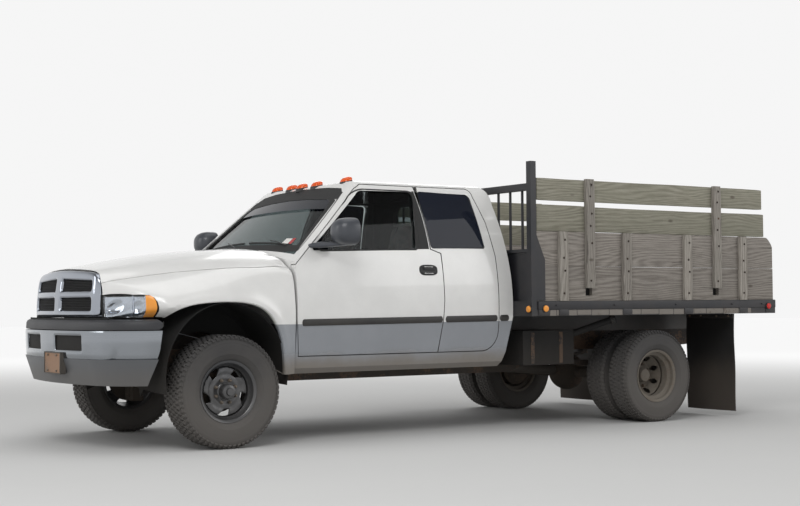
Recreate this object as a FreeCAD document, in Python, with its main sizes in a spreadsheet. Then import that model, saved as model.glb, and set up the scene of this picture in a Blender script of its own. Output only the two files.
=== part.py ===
"""Extended-cab dual-rear-wheel pickup truck with a steel flatbed and wooden stake sides.

Frame: X forward, Y to the truck's left, Z up, origin on the ground under the middle of the whole length.
Stations are lengths behind the front axle, so station(0) is the front axle and station(wheelbase) the rear one.
"""
import FreeCAD, Part

import math
import os

import Sketcher
from FreeCAD import Matrix, Placement, Rotation, Vector

SIZES = {
    # whole truck
    "front_reach": 985,
    "rear_reach": 5340,
    "wheelbase": 3930,
    "seam": 7,
    "seat_gap": 0.3,
    # tyres and wheels
    "front_tyre_od": 800,
    "front_tyre_width": 262,
    "rear_tyre_od": 770,
    "rear_tyre_width": 212,
    "rim_od": 440,
    "tyre_steps": 24,
    "front_track_half": 870,
    "twin_middle": 936,
    "twin_spacing": 280,
    "lug_circle": 165,
    "kingpin_half": 735,
    # frame rails
    "rail_middle": 440,
    "rail_width": 70,
    "rail_wall": 8,
    "rail_bottom": 430,
    "rail_depth": 190,
    "rail_kick": 170,
    # cab
    "cab_front": 546,
    "cab_back": 2530,
    "cab_half": 985,
    "cab_floor": 660,
    "floor_thick": 50,
    "sill_bottom": 505,
    "belt_height": 1405,
    "belt_half": 938,
    "rail_half": 765,
    "roof_edge": 1880,
    "roof_top": 1985,
    "cab_wall": 60,
    "glass_thick": 6,
    "glass_inset": 14,
    "screen_base": 541,
    "screen_bow": 4290,
    "screen_run": 544,
    "screen_rise": 478,
    # doors
    "door_bottom": 635,
    "door_split": 1855,
    "door_back": 2386,
    "handle_back": 134,
    "handle_proud": 8,
    "front_hinge": 522,
    "rear_hinge": 2410,
    "hinge_half": 986,
    # nose
    "nose_back": 540,
    "hood_skin": 30,
    "hood_end": 476,
    "hinge_back": 520,
    "hinge_height": 1365,
    "hinge_y": 600,
    "hinge_pin": 8,
    "hinge_arm": 30,
    "hinge_fit": 0.05,
    "fender_skin": 26,
    "arch_top": 1030,
    "grille_half": 600,
    "grille_front": 905,
    "grille_bottom": 925,
    "grille_top": 1251,
    "grille_rim": 52,
    "grille_side": 70,
    "grille_post": 57,
    "grille_middle": 1089.5,
    "grille_cross": 24,
    "grille_depth": 45,
    "mesh_pitch": 30,
    "mesh_bar": 5,
    "lamp_low": 928,
    "lamp_high": 1080,
    "lamp_split": 822,
    "lamp_depth": 70,
    # bumper
    "bumper_front": 965,
    "bumper_bottom": 640,
    "bumper_top": 838,
    "pad_top": 915,
    "valance_bottom": 458,
    # bed
    "bed_front": 2670,
    "bed_half": 1219,
    "deck_top": 1022,
    "deck_thick": 38,
    "rail_low": 902,
    "board_thick": 38,
    "stake_width": 89,
    "lower_board": 276,
    "rack_low": 1580,
    "rack_board_low": 203,
    "rack_board_high": 176,
    "rack_space": 44,
    "head_front": 2537,
    "head_tube": 55,
    "head_top": 1958,
    "head_sheet_top": 1411,
    "post_top": 2132,
}

doc = FreeCAD.newDocument("Truck")
sheet = doc.addObject("Spreadsheet::Sheet", "Dims")
for row, (name, value) in enumerate(SIZES.items(), start=1):
    sheet.set(f"A{row}", name)
    sheet.set(f"B{row}", str(value))
    sheet.setAlias(f"B{row}", name)
doc.recompute()

FINISHED = []


def size(name):
    """A size of the sheet, in millimetres."""
    return float(sheet.get(name))


def station(back):
    """X of a place that lies that far behind the front axle."""
    return (size("rear_reach") - size("front_reach")) / 2 - back


def text(formula):
    """A formula over the sheet's names, as an expression of the document."""
    words = sorted(SIZES, key=len, reverse=True)
    out = ""
    token = ""
    for sign in formula + " ":
        if sign.isalnum() or sign == "_":
            token += sign
            continue
        out += f"Dims.{token}" if token in words else token
        out += sign
        token = ""
    return out.strip()


ORIGIN_X = "(rear_reach - front_reach) / 2"


def at(back):
    """The formula of a station: X of a place that far behind the front axle."""
    return f"{ORIGIN_X} - ({back})"


def keep(obj, node):
    """Marks an object as one finished sub-part, named as its node."""
    obj.Label = node
    FINISHED.append(obj)
    return obj


def block(name, x, y, z):
    """A box between two formulas along each axis."""
    solid = doc.addObject("Part::Box", name)
    for length, place, (low, high) in (("Length", "x", x), ("Width", "y", y), ("Height", "z", z)):
        solid.setExpression(length, text(f"({high}) - ({low})"))
        solid.setExpression(f"Placement.Base.{place}", text(low))
    return solid


def rod(name, radius, length, base, direction):
    """A cylinder of a formula's radius and length from a base of three formulas, along X, Y or Z."""
    solid = doc.addObject("Part::Cylinder", name)
    solid.Placement.Rotation = Rotation(Vector(0, 0, 1), Vector(*direction))
    solid.setExpression("Radius", text(radius))
    solid.setExpression("Height", text(length))
    for place, formula in zip("xyz", base):
        solid.setExpression(f"Placement.Base.{place}", text(formula))
    return solid


def fuse(name, *tools):
    """A fusion of solids that share a body."""
    joined = doc.addObject("Part::MultiFuse", name)
    joined.Shapes = list(tools)
    return joined


def cut(name, base, tool):
    """A solid less a tool."""
    made = doc.addObject("Part::Cut", name)
    made.Base = base
    made.Tool = tool
    return made


def together(name, *members):
    """Separate solids that go as one node."""
    made = doc.addObject("Part::Compound", name)
    made.Links = list(members)
    return made


def across(name, source):
    """The same piece on the truck's other side."""
    made = doc.addObject("Part::Mirroring", name)
    made.Source = source
    made.Normal = Vector(0, 1, 0)
    made.Base = Vector(0, 0, 0)
    return made


def feature(name, shape):
    """A finished shape as a feature of the document."""
    made = doc.addObject("Part::Feature", name)
    made.Shape = shape
    return made


def side_view(y):
    """Places (station, height) points on a side plane at y."""
    return lambda p: Vector(station(p[0]), y, p[1])


def end_view(back):
    """Places (y, height) points on a cross plane at a station."""
    return lambda p: Vector(station(back), p[0], p[1])


def plan_view(z):
    """Places (station, y) points on a level plane."""
    return lambda p: Vector(station(p[0]), p[1], z)


def heading(vector):
    """The unit vector along a flat pair."""
    length = math.hypot(vector[0], vector[1])
    return (vector[0] / length, vector[1] / length)


def arc_middle(start, through, end):
    """The centre of the circle through three flat points."""
    ax, ay, bx, by = through[0] - start[0], through[1] - start[1], end[0] - start[0], end[1] - start[1]
    turn = 2 * (ax * by - ay * bx)
    one, two = ax * ax + ay * ay, bx * bx + by * by
    return (start[0] + (by * one - ay * two) / turn, start[1] + (ax * two - bx * one) / turn)


def arc_heading(start, through, end, here):
    """The direction of travel at a point of the arc from start to end."""
    middle = arc_middle(start, through, end)
    out = (here[0] - middle[0], here[1] - middle[1])
    cross = (through[0] - start[0]) * (end[1] - through[1]) - (through[1] - start[1]) * (end[0] - through[0])
    side = 1 if cross > 0 else -1
    return heading((-out[1] * side, out[0] * side))


def grown(start, steps, grow):
    """The same line of steps, moved outward by a distance on every side."""
    if not grow:
        return start, steps
    legs = []
    here = start
    for step in steps:
        through, end = step if isinstance(step[0], tuple) else (None, step)
        legs.append((here, through, end))
        here = end
    if math.hypot(here[0] - start[0], here[1] - start[1]) > 1e-6:
        legs.append((here, None, start))
    area = 0
    for first, through, last in legs:
        for one, two in ((first, through or last), (through or last, last)):
            area += one[0] * two[1] - two[0] * one[1]
    out = grow if area > 0 else -grow

    def ends(leg):
        first, through, last = leg
        if through is None:
            way = heading((last[0] - first[0], last[1] - first[1]))
            return way, way
        return arc_heading(first, through, last, first), arc_heading(first, through, last, last)

    corners = []
    for number, leg in enumerate(legs):
        before = ends(legs[number - 1])[1]
        after = ends(leg)[0]
        one, two = (before[1], -before[0]), (after[1], -after[0])
        share = out / (1 + one[0] * two[0] + one[1] * two[1])
        corners.append((leg[0][0] + (one[0] + two[0]) * share, leg[0][1] + (one[1] + two[1]) * share))
    moved = []
    for number, (first, through, last) in enumerate(legs):
        end = corners[(number + 1) % len(legs)]
        if through is None:
            moved.append(end)
            continue
        way = arc_heading(first, through, last, through)
        moved.append(((through[0] + way[1] * out, through[1] - way[0] * out), end))
    return corners[0], moved


def outline(place, start, *steps, grow=0):
    """A closed wire. A step is a point for a straight edge, or a pair (through, end) for an arc."""
    start, steps = grown(start, steps, grow)
    edges = []
    here = start
    for step in steps:
        if isinstance(step[0], tuple):
            through, end = step
            edges.append(Part.Arc(place(here), place(through), place(end)).toShape())
        else:
            end = step
            edges.append(Part.makeLine(place(here), place(end)))
        here = end
    if math.hypot(here[0] - start[0], here[1] - start[1]) > 1e-6:
        edges.append(Part.makeLine(place(here), place(start)))
    return Part.Wire(edges)


def prism(wire, way):
    """The solid that a closed wire sweeps along a vector."""
    return Part.Face(wire).extrude(way)


def box_shape(back, y, z):
    """A plain box shape between two stations, two Y and two Z."""
    low = Vector(station(max(back)), min(y), min(z))
    return Part.makeBox(abs(back[1] - back[0]), abs(y[1] - y[0]), abs(z[1] - z[0]), low)


# The cab: one outer form, drawn in for walls and glass

SIDE_REACH = 1300
CAB_LONG = 3400


def cab_section(inset=0):
    """The cab's cross-section, swept along the whole cab."""
    half, belt, rail = size("cab_half"), size("belt_half"), size("rail_half")
    low, waist, edge, top = size("sill_bottom"), size("belt_height"), size("roof_edge"), size("roof_top")
    right = [
        (half - 85, low),
        (half - 45, low + 40),
        (half, 860),
        ((half + 1, 1090), (belt, waist)),
        ((rail + 0.58 * (belt - rail), (waist + edge) / 2), (rail, edge)),
        ((rail - 34, edge + 52), (rail - 120, top - 28)),
        ((0, top), (120 - rail, top - 28)),
    ]
    left = [
        ((34 - rail, edge + 52), (-rail, edge)),
        ((-rail - 0.58 * (belt - rail), (waist + edge) / 2), (-belt, waist)),
        ((-half - 1, 1090), (-half, 860)),
        (45 - half, low + 40),
        (85 - half, low),
    ]
    wire = outline(end_view(CAB_LONG - 200), right[0], *right[1:], *left, grow=-inset)
    return prism(wire, Vector(CAB_LONG, 0, 0))


def cab_profile(inset=0):
    """The cab's side outline, swept across the truck."""
    front, back, low, top = size("cab_front"), size("cab_back"), size("sill_bottom"), size("roof_top") + 6
    wire = outline(
        side_view(-SIDE_REACH),
        (front, low),
        (back - 100, low),
        (back - 50, low + 115),
        (back, 900),
        ((back - 14, 1380), (back - 60, 1800)),
        ((back - 96, 1930), (back - 200, top - 8)),
        (back - 1000, top),
        ((1330, top - 16), (1080, 1925)),
        (front, 1925),
        grow=-inset,
    )
    return prism(wire, Vector(0, 2 * SIDE_REACH, 0))


def screen_front(inset=0):
    """Everything in front of the bowed windshield, set back by an inset."""
    bow, run, rise = size("screen_bow"), size("screen_run"), size("screen_rise")
    slope = math.hypot(run, rise)
    base = size("screen_base") + inset * slope / rise
    foot = 0.45
    lift = 2.0

    def back(y):
        return base - foot * run + y * y / (2 * bow)

    wire = outline(
        plan_view(size("belt_height") - foot * rise),
        (-900, -SIDE_REACH),
        (back(SIDE_REACH), -SIDE_REACH),
        ((back(0), 0), (back(SIDE_REACH), SIDE_REACH)),
        (-900, SIDE_REACH),
    )
    return prism(wire, Vector(-lift * run, 0, lift * rise))


def cab_volume(inset=0):
    """The cab's outer form drawn in by an inset."""
    return cab_section(inset).common(cab_profile(inset)).cut(screen_front(inset))


def front_door_outline(grow=0):
    """The front door's edge in side view, running past its free end, which the swing edge trims."""
    front, split, low, waist = size("cab_front"), size("door_split"), size("door_bottom"), size("belt_height")
    top = size("roof_edge") + 45
    return outline(
        side_view(0),
        (front + 30, low),
        (split + 60, low),
        (split + 60, top),
        (1240, top),
        (1172, top - 40),
        (front + 118, waist + 4),
        (front, waist - 112),
        (front + 4, 900),
        grow=grow,
    )


def rear_door_outline(grow=0):
    """The rear door's edge in side view, hinged at its back and running past its free end."""
    split, back, low, waist = size("door_split"), size("door_back"), size("door_bottom"), size("belt_height")
    top = size("roof_edge") + 45
    return outline(
        side_view(0),
        (split - 220, low),
        (back - 150, low),
        ((back - 45, low + 42), (back, low + 150)),
        (back, waist - 20),
        (back - 34, waist + 250),
        (back - 96, top - 60),
        ((back - 118, top - 12), (back - 170, top)),
        (split - 220, top),
        grow=grow,
    )


def swing_edge(hinge_back, far, upper, grow=0):
    """What lies past a door's free edge: swept about the hinge line, so that the edge slides past its mate."""
    split, low, waist = size("door_split"), size("door_bottom"), size("belt_height")
    top = size("roof_edge") + 45
    wire = outline(
        side_view(size("hinge_half")),
        (far, low - 80),
        (split - 45, low - 80),
        (split - 45, low),
        (split - 10, 900),
        (split, 1030),
        (split, waist - 10),
        (split - 92, waist + 22),
        (split - upper, top - 40),
        (split - upper, top + 60),
        (far, top + 60),
        grow=grow,
    )
    line = Vector(station(hinge_back), size("hinge_half"), 0)
    side = -1 if far > split else 1
    face = Part.Face(wire)
    face.rotate(line, Vector(0, 0, 1), 34 * side)
    return face.revolve(line, Vector(0, 0, 1), -62 * side)


def front_door_zone():
    """The front door's part of the left cab wall."""
    zone = side_zone(front_door_outline(), size("cab_wall"))
    return zone.cut(swing_edge(size("front_hinge"), size("door_split") + 700, 104))


def rear_door_zone():
    """The rear door's part of the left cab wall, clear of the front door's swing and of its own."""
    zone = side_zone(rear_door_outline(), size("cab_wall"))
    gap = size("seam")
    zone = zone.common(swing_edge(size("front_hinge"), size("door_split") + 700, 104, -gap))
    return zone.cut(swing_edge(size("rear_hinge"), size("door_split") - 500, 140, gap))


def front_window_outline(grow=0):
    """The front door's glass opening."""
    split, waist, edge = size("door_split"), size("belt_height"), size("roof_edge")
    return outline(
        side_view(0),
        (720, waist),
        (split - 222, waist + 14),
        (split - 146, edge - 14),
        ((split - 152, edge + 2), (split - 180, edge + 4)),
        (1250, edge - 2),
        ((1212, edge - 8), (1176, edge - 36)),
        (708, waist + 26),
        ((710, waist + 8), (720, waist)),
        grow=grow,
    )


def rear_window_outline(grow=0):
    """The rear door's glass opening."""
    split, back, waist, edge = size("door_split"), size("door_back"), size("belt_height"), size("roof_edge")
    return outline(
        side_view(0),
        (split - 70, waist + 32),
        (back - 112, waist + 36),
        ((back - 92, waist + 44), (back - 90, waist + 64)),
        (back - 124, edge - 60),
        ((back - 136, edge - 14), (back - 180, edge + 2)),
        (split - 102, edge + 4),
        grow=grow,
    )


def side_zone(wire, depth):
    """The part of the left cab wall inside an outline, as deep as the door."""
    region = Part.Face(wire).extrude(Vector(0, SIDE_REACH, 0))
    near = size("rail_half") - 10 - depth
    region = region.common(box_shape((0, CAB_LONG), (near, SIDE_REACH), (0, 2200)))
    return region.cut(cab_section(depth))


def mirrored(shape):
    """The shape on the truck's other side."""
    return shape.mirror(Vector(0, 0, 0), Vector(0, 1, 0))


def window_prism(wire):
    """A window opening through the left wall."""
    return Part.Face(wire).extrude(Vector(0, SIDE_REACH, 0))


def glass_shell():
    """The thin shell that all the cab's glass is cut from."""
    inset, thick = size("glass_inset"), size("glass_thick")
    return cab_volume(inset).cut(cab_volume(inset + thick))


def screen_prism(grow=0):
    """The windshield's opening, swept through the front wall."""
    run, rise = size("screen_run"), size("screen_rise")
    slope = math.hypot(run, rise)
    along = Vector(-run / slope, 0, rise / slope)
    out = Vector(rise / slope, 0, run / slope)
    foot = Vector(station(size("screen_base")), 0, size("belt_height")) + along * 22
    height = 622
    low_half, high_half = 862, 712

    def place(p):
        return foot + Vector(0, p[0], 0) + along * p[1] - out * 260

    wire = outline(
        place,
        (-low_half, 0),
        ((0, 18), (low_half, 0)),
        (high_half, height - 30),
        ((high_half - 12, height - 4), (high_half - 50, height)),
        ((0, height + 22), (50 - high_half, height)),
        ((12 - high_half, height - 4), (-high_half, height - 30)),
        grow=grow,
    )
    return prism(wire, out * 420)


def back_window_prism(grow=0):
    """The rear window's opening."""
    low, high, half = size("belt_height") + 20, size("roof_edge") - 25, 610
    wire = outline(
        end_view(size("cab_back") + 60),
        (-half, low + 40),
        ((12 - half, low + 12), (40 - half, low)),
        (half - 40, low),
        ((half - 12, low + 12), (half, low + 40)),
        (half - 50, high - 50),
        ((half - 66, high - 14), (half - 110, high)),
        (110 - half, high),
        ((66 - half, high - 14), (50 - half, high - 50)),
        grow=grow,
    )
    return prism(wire, Vector(300, 0, 0))


def hinge_place(side, y):
    """A point on the hood hinge's line, on one side of the truck."""
    return Vector(station(size("hinge_back")), side * size("hinge_y") + y, size("hinge_height"))


def cowl():
    """The panel between hood and windshield, slotted round the two hood hinges and holding their pins."""
    panel = nose_volume(30).cut(nose_volume(60))
    front = size("hood_end") + size("seam")
    panel = panel.common(box_shape((front, size("cab_front") + 6), (-870, 870), (1150, 1600)))
    half = size("hinge_arm") / 2
    for side in (-1, 1):
        middle = side * size("hinge_y")
        reach = half + 5
        slot = box_shape((front - 10, size("cab_front") - 1), (middle - reach, middle + reach), (1150, 1600))
        pin = Part.makeCylinder(size("hinge_pin"), 2 * reach + 12, hinge_place(side, -reach - 6), Vector(0, 1, 0))
        post = box_shape((size("hinge_back") - 12, size("cab_front")), (middle + reach, middle + reach + 12), (1290, 1374))
        other = box_shape((size("hinge_back") - 12, size("cab_front")), (middle - reach - 12, middle - reach), (1290, 1374))
        panel = panel.cut(slot).fuse(post).fuse(other).fuse(pin)
    return panel


def hinge_arms():
    """The hood's two hinge arms, each bored for its pin."""
    half, pin = size("hinge_arm") / 2, size("hinge_pin")
    arms = []
    for side in (-1, 1):
        middle, height = side * size("hinge_y"), size("hinge_height")
        eye = Part.makeCylinder(pin + 8, 2 * half, hinge_place(side, -half), Vector(0, 1, 0))
        bar = box_shape((size("hood_end") - 40, size("hinge_back")), (middle - half, middle + half), (height - 12, height + 12))
        bore = Part.makeCylinder(pin + size("hinge_fit"), 2 * half + 2, hinge_place(side, -half - 1), Vector(0, 1, 0))
        arms.append(eye.fuse(bar).cut(bore))
    return arms


def cab_shell():
    """The cab's fixed walls, floor, pillars and roof, with door and window openings cut."""
    wall, depth, gap = size("cab_wall"), size("cab_wall") + size("seam"), size("seam")
    floor, thick = size("cab_floor"), size("floor_thick")
    shell = cab_volume()
    inside = cab_volume(wall).common(box_shape((0, CAB_LONG), (-SIDE_REACH, SIDE_REACH), (floor + thick, 2200)))
    shell = shell.cut(inside)
    under = box_shape((0, CAB_LONG), (-820, 820), (0, floor))
    shell = shell.cut(under)
    for wire in (front_door_outline(gap), rear_door_outline(gap)):
        zone = side_zone(wire, depth)
        shell = shell.cut(zone).cut(mirrored(zone))
    shell = shell.cut(screen_prism()).cut(back_window_prism())
    shell = shell.fuse(cowl())
    front_post = (size("cab_front") + 14, size("cab_front") + 54)
    back_post = (size("door_back") - 54, size("door_back") + 60)
    anchor = (size("door_back") + 10, size("door_back") + 60)
    for low in (780, 1120):
        for place, inset in ((front_post, wall + size("seat_gap")), (back_post, wall + size("seat_gap")), (anchor, wall - 10)):
            strap = box_shape(place, (800, SIDE_REACH), (low, low + 70)).common(cab_section(inset))
            shell = shell.fuse(strap).fuse(mirrored(strap))
    return shell.removeSplitter()


def skin_patch(proud, back, z):
    """A patch that stands proud of the left door's skin between two stations and heights."""
    return cab_section(-proud).cut(cab_section()).common(box_shape(back, (600, SIDE_REACH), z))


def door_shape(zone, window):
    """One left door: the wall inside its zone, with its window cut."""
    return cab_volume().common(zone).cut(window_prism(window))


handle_at = size("door_split") - size("handle_back")
grip = skin_patch(size("handle_proud"), (handle_at - 62, handle_at + 62), (1240, 1294))
front_door = feature("FrontDoorLeft", door_shape(front_door_zone(), front_window_outline()).fuse(grip))
rear_door = feature("RearDoorLeft", door_shape(rear_door_zone(), rear_window_outline()))
keep(front_door, "front_door_left")
keep(rear_door, "rear_door_left")
keep(across("FrontDoorRight", front_door), "front_door_right")
keep(across("RearDoorRight", rear_door), "rear_door_right")

GLASS = glass_shell()
EDGE_FIT = 0.3
front_glass = feature("FrontGlassLeft", GLASS.common(window_prism(front_window_outline(-EDGE_FIT))))
rear_glass = feature("RearGlassLeft", GLASS.common(window_prism(rear_window_outline(-EDGE_FIT))))
keep(front_glass, "front_glass_left")
keep(rear_glass, "rear_glass_left")
keep(across("FrontGlassRight", front_glass), "front_glass_right")
keep(across("RearGlassRight", rear_glass), "rear_glass_right")
screen = feature("Windshield", GLASS.common(screen_prism(-EDGE_FIT)))
back_light = feature("BackWindow", GLASS.common(back_window_prism(-EDGE_FIT)))
keep(together("FixedGlass", screen, back_light), "fixed_glass")



def prism_pad(name, role, corners, low, high):
    """A body padded between two formulas from a polygon of formula pairs on an origin plane."""
    body = doc.addObject("PartDesign::Body", name)
    sketch = body.newObject("Sketcher::SketchObject", name + "Sketch")
    plane = [part for part in body.Origin.OriginFeatures if part.Role == role][0]
    sketch.AttachmentSupport = [(plane, "")]
    sketch.MapMode = "FlatFace"
    count = len(corners)
    for number in range(count):
        turn = 2 * math.pi * number / count
        nexter = 2 * math.pi * (number + 1) / count
        one = Vector(math.cos(turn), math.sin(turn), 0)
        two = Vector(math.cos(nexter), math.sin(nexter), 0)
        sketch.addGeometry(Part.LineSegment(one, two), False)
    for number in range(count):
        sketch.addConstraint(Sketcher.Constraint("Coincident", number, 2, (number + 1) % count, 1))
    for number, (across_formula, up_formula) in enumerate(corners):
        for kind, formula in (("DistanceX", across_formula), ("DistanceY", up_formula)):
            where = sketch.addConstraint(Sketcher.Constraint(kind, -1, 1, number, 1, 1.0))
            sketch.setExpression(f"Constraints[{where}]", text(formula))
    pad = body.newObject("PartDesign::Pad", name + "Pad")
    pad.Profile = sketch
    pad.setExpression("Length", text(f"({high}) - ({low})"))
    axis = {"XY_Plane": "z", "XZ_Plane": "y", "YZ_Plane": "x"}[role]
    if role == "XZ_Plane":
        pad.Reversed = True
    body.setExpression(f"Placement.Base.{axis}", text(low))
    return body


# The nose: hood and fenders come from one lofted form

NOSE_SECTIONS = (
    # back, side half, side height, shoulder, shoulder height, seam half, seam height, flank half, flank height, crown
    (560, 985, 900, 964, 1150, 902, 1281, 560, 1408, 1452),
    (63, 990, 915, 966, 1110, 810, 1273, 500, 1378, 1418),
    (-466, 986, 928, 940, 1060, 680, 1222, 490, 1308, 1349),
    (-860, 960, 928, 880, 1010, 604, 1165, 490, 1243, 1272),
    (-980, 950, 928, 860, 985, 585, 1136, 475, 1220, 1250),
)
SEAM_LINE = ((560, 884), (400, 884), (63, 810), (-123, 770), (-466, 680), (-806, 606), (-1000, 560))


def nose_ring(row, drop=0):
    """One closed cross-section of the nose, drawn in by a drop."""
    low = size("sill_bottom") - 200
    back, side, side_z, shoulder, shoulder_z, seam, seam_z, flank, flank_z, crown = row
    lean = 0.5 * (side + shoulder) + 6
    right = [
        (side, side_z),
        ((lean, 0.5 * (side_z + shoulder_z)), (shoulder, shoulder_z)),
        ((0.5 * (shoulder + seam) + 10, 0.5 * (shoulder_z + seam_z) + 16), (seam, seam_z)),
        ((0.5 * (seam + flank), 0.5 * (seam_z + flank_z) + 10), (flank, flank_z)),
    ]
    left = [
        ((0, crown), (-flank, flank_z)),
        ((-0.5 * (seam + flank), 0.5 * (seam_z + flank_z) + 10), (-seam, seam_z)),
        ((-0.5 * (shoulder + seam) - 10, 0.5 * (shoulder_z + seam_z) + 16), (-shoulder, shoulder_z)),
        ((-lean, 0.5 * (side_z + shoulder_z)), (-side, side_z)),
        (40 - side, low),
    ]
    return outline(end_view(back), (side - 40, low), *right, *left, grow=-drop)


def nose_volume(drop=0):
    """The whole nose, lofted through its sections."""
    return Part.makeLoft([nose_ring(row, drop) for row in NOSE_SECTIONS], True, False)


def nose_front(inset=0):
    """The region behind the nose's rounded front, in plan, drawn back by an inset."""
    front = size("grille_front")
    wire = outline(
        plan_view(0),
        (size("cab_front") + 20, -SIDE_REACH),
        (-380, -SIDE_REACH),
        (-400, -1000),
        ((-668, -802), (70 - front, -600)),
        ((-front, 0), (70 - front, 600)),
        ((-668, 802), (-400, 1000)),
        (-380, SIDE_REACH),
        (size("cab_front") + 20, SIDE_REACH),
        grow=-inset,
    )
    return prism(wire, Vector(0, 0, 2000))


def seam_zone(shift):
    """The region between the two hood seams in plan, wider or narrower by a shift."""
    right = [(back, half + shift) for back, half in SEAM_LINE]
    left = [(back, -half - shift) for back, half in reversed(SEAM_LINE)]
    wire = outline(plan_view(-10), right[0], *right[1:], *left)
    return prism(wire, Vector(0, 0, 2000))


def arch_outline(grow=0):
    """The front wheel's opening in the fender."""
    top = size("arch_top")
    return outline(
        side_view(300),
        (-446, 300),
        (-446, 915),
        ((-405, 975), (-315, 995)),
        ((-140, top - 6), (-35, top)),
        ((160, top), (307, 962)),
        ((405, 850), (436, 720)),
        (460, 300),
        grow=grow,
    )


def lamp_region(front, back):
    """A slab of the nose's front between two depths, where the lamps go."""
    slab = nose_front(front).cut(nose_front(back))
    low, high = size("lamp_low"), size("lamp_high")
    return slab.common(box_shape((-1000, -440), (size("grille_half") + size("seam"), 960), (low, high)))


NOSE = nose_volume().common(nose_front())
NOSE_INNER = nose_volume(size("fender_skin"))
NOSE_DEEP = nose_volume(size("hood_skin"))
keep(feature("CabShell", cab_shell()), "cab_shell")


def fender():
    """The left fender: outer skin, flared arch, inner wheelhouse and the lamps' backing."""
    skin, gap, top = size("fender_skin"), size("seam"), size("arch_top")
    front_face = nose_front(skin)
    outer = NOSE.common(box_shape((-1000, size("nose_back")), (0, SIDE_REACH), (size("sill_bottom"), 2000)))
    shell = outer.cut(NOSE_INNER.common(front_face))
    shell = shell.cut(seam_zone(gap / 2))
    apron = box_shape((-1000, -446), (0, SIDE_REACH), (0, size("lamp_low")))
    shell = shell.cut(apron)
    backing = lamp_region(size("lamp_depth"), size("lamp_depth") + skin)
    carrier = nose_front(skin * 0).cut(nose_front(size("lamp_depth") + skin))
    roof = box_shape((-1000, -430), (size("grille_half") + gap, 960), (size("lamp_high"), size("lamp_high") + skin))
    ceiling = carrier.common(roof).common(NOSE)
    shell = shell.fuse(backing.common(NOSE)).fuse(ceiling)
    wall_low, wall_high = 502, 502 + skin
    house = box_shape((-470, 505), (wall_low, wall_high), (620, top + 40))
    shelf = box_shape((-470, 505), (wall_low, 950), (top + 40, top + 40 + skin)).common(NOSE)
    front_wall = box_shape((-496, -470), (wall_low, 940), (size("lamp_low"), top + 40 + skin)).common(NOSE)
    rear_wall = box_shape((505, 531), (wall_low, 950), (620, top + 40 + skin)).common(NOSE)
    tab = box_shape((520, size("cab_front")), (800, 850), (700, 900))
    shell = shell.fuse(house).fuse(shelf).fuse(front_wall).fuse(rear_wall).fuse(tab)
    opening = Part.Face(arch_outline()).extrude(Vector(0, SIDE_REACH, 0))
    opening = opening.cut(box_shape((-600, 600), (0, wall_high), (0, 2000)))
    flare_zone = Part.Face(arch_outline(34)).extrude(Vector(0, SIDE_REACH, 0))
    flare = nose_volume(-9).common(flare_zone).cut(nose_volume(4))
    flare = flare.common(box_shape((-444, 500), (880, SIDE_REACH), (size("sill_bottom"), 2000)))
    shell = shell.fuse(flare).cut(opening)
    pocket = lamp_region(-20, size("lamp_depth"))
    return shell.cut(pocket).removeSplitter()


def grille_cells():
    """The four openings of the cross-bar grille, as plan and height bounds."""
    low, high, rim = size("grille_bottom"), size("grille_top"), size("grille_rim")
    middle, cross = size("grille_middle"), size("grille_cross")
    cells = []
    for side in (-1, 1):
        near, far = side * size("grille_post"), side * (size("grille_half") - size("grille_side"))
        cells.append((near, far, low + rim, middle - cross))
        cells.append((near, far, middle + cross, high - rim))
    return cells


def grille_slab(front, back):
    """A slab of the nose's front as wide and high as the grille."""
    slab = nose_front(front).cut(nose_front(back))
    half, low = size("grille_half"), size("grille_bottom")
    return slab.common(box_shape((-1000, -600), (-half, half), (low, 1400)))


def cell_prism(cell, front, back, draw=0):
    """One opening of the grille with rounded corners, between two depths of the nose's front."""
    near, far, low, high = cell
    left, right = min(near, far) + draw, max(near, far) - draw
    low, high, turn = low + draw, high - draw, 14
    wire = outline(
        end_view(-600),
        (left + turn, low),
        (right - turn, low),
        ((right - turn * 0.3, low + turn * 0.3), (right, low + turn)),
        (right, high - turn),
        ((right - turn * 0.3, high - turn * 0.3), (right - turn, high)),
        (left + turn, high),
        ((left + turn * 0.3, high - turn * 0.3), (left, high - turn)),
        (left, low + turn),
        ((left + turn * 0.3, low + turn * 0.3), (left + turn, low)),
    )
    return prism(wire, Vector(400, 0, 0)).common(nose_front(front).cut(nose_front(back)))


def grille():
    """The chrome surround and cross bars, deep-set round each opening."""
    depth = size("grille_depth")
    body = grille_slab(0, depth).common(nose_volume(3))
    for cell in grille_cells():
        body = body.cut(cell_prism(cell, -30, depth + 30, 0))
        step = cell_prism(cell, -30, 14, -9)
        body = body.cut(step)
    return body


def grille_mesh():
    """The dark honeycomb insert: slats and uprights in each opening, seated on the surround's back."""
    depth, slat = size("grille_depth"), size("mesh_bar")
    net = None
    for cell in grille_cells():
        near, far, low, high = cell
        left, right = min(near, far), max(near, far)
        rows = max(2, int((high - low) / size("mesh_pitch")))
        columns = max(3, int((right - left) / (size("mesh_pitch") * 1.6)))
        pieces = []
        for number in range(1, rows):
            z = low + (high - low) * number / rows
            pieces.append(box_shape((-1000, -700), (left - 12, right + 12), (z - slat / 2, z + slat / 2)))
        for number in range(1, columns):
            y = left + (right - left) * number / columns
            pieces.append(box_shape((-1000, -700), (y - slat / 2, y + slat / 2), (low - 12, high + 12)))
        frame = box_shape((-1000, -700), (left - 12, right + 12), (low - 12, high + 12))
        frame = frame.cut(box_shape((-1010, -690), (left + 2, right - 2), (low + 2, high - 2)))
        whole = frame.multiFuse(pieces)
        whole = whole.common(nose_front(depth).cut(nose_front(depth + 12)))
        whole = whole.common(nose_volume(size("hood_skin") + size("seat_gap")))
        net = whole if net is None else net.fuse(whole)
    return net.removeSplitter()


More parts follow.
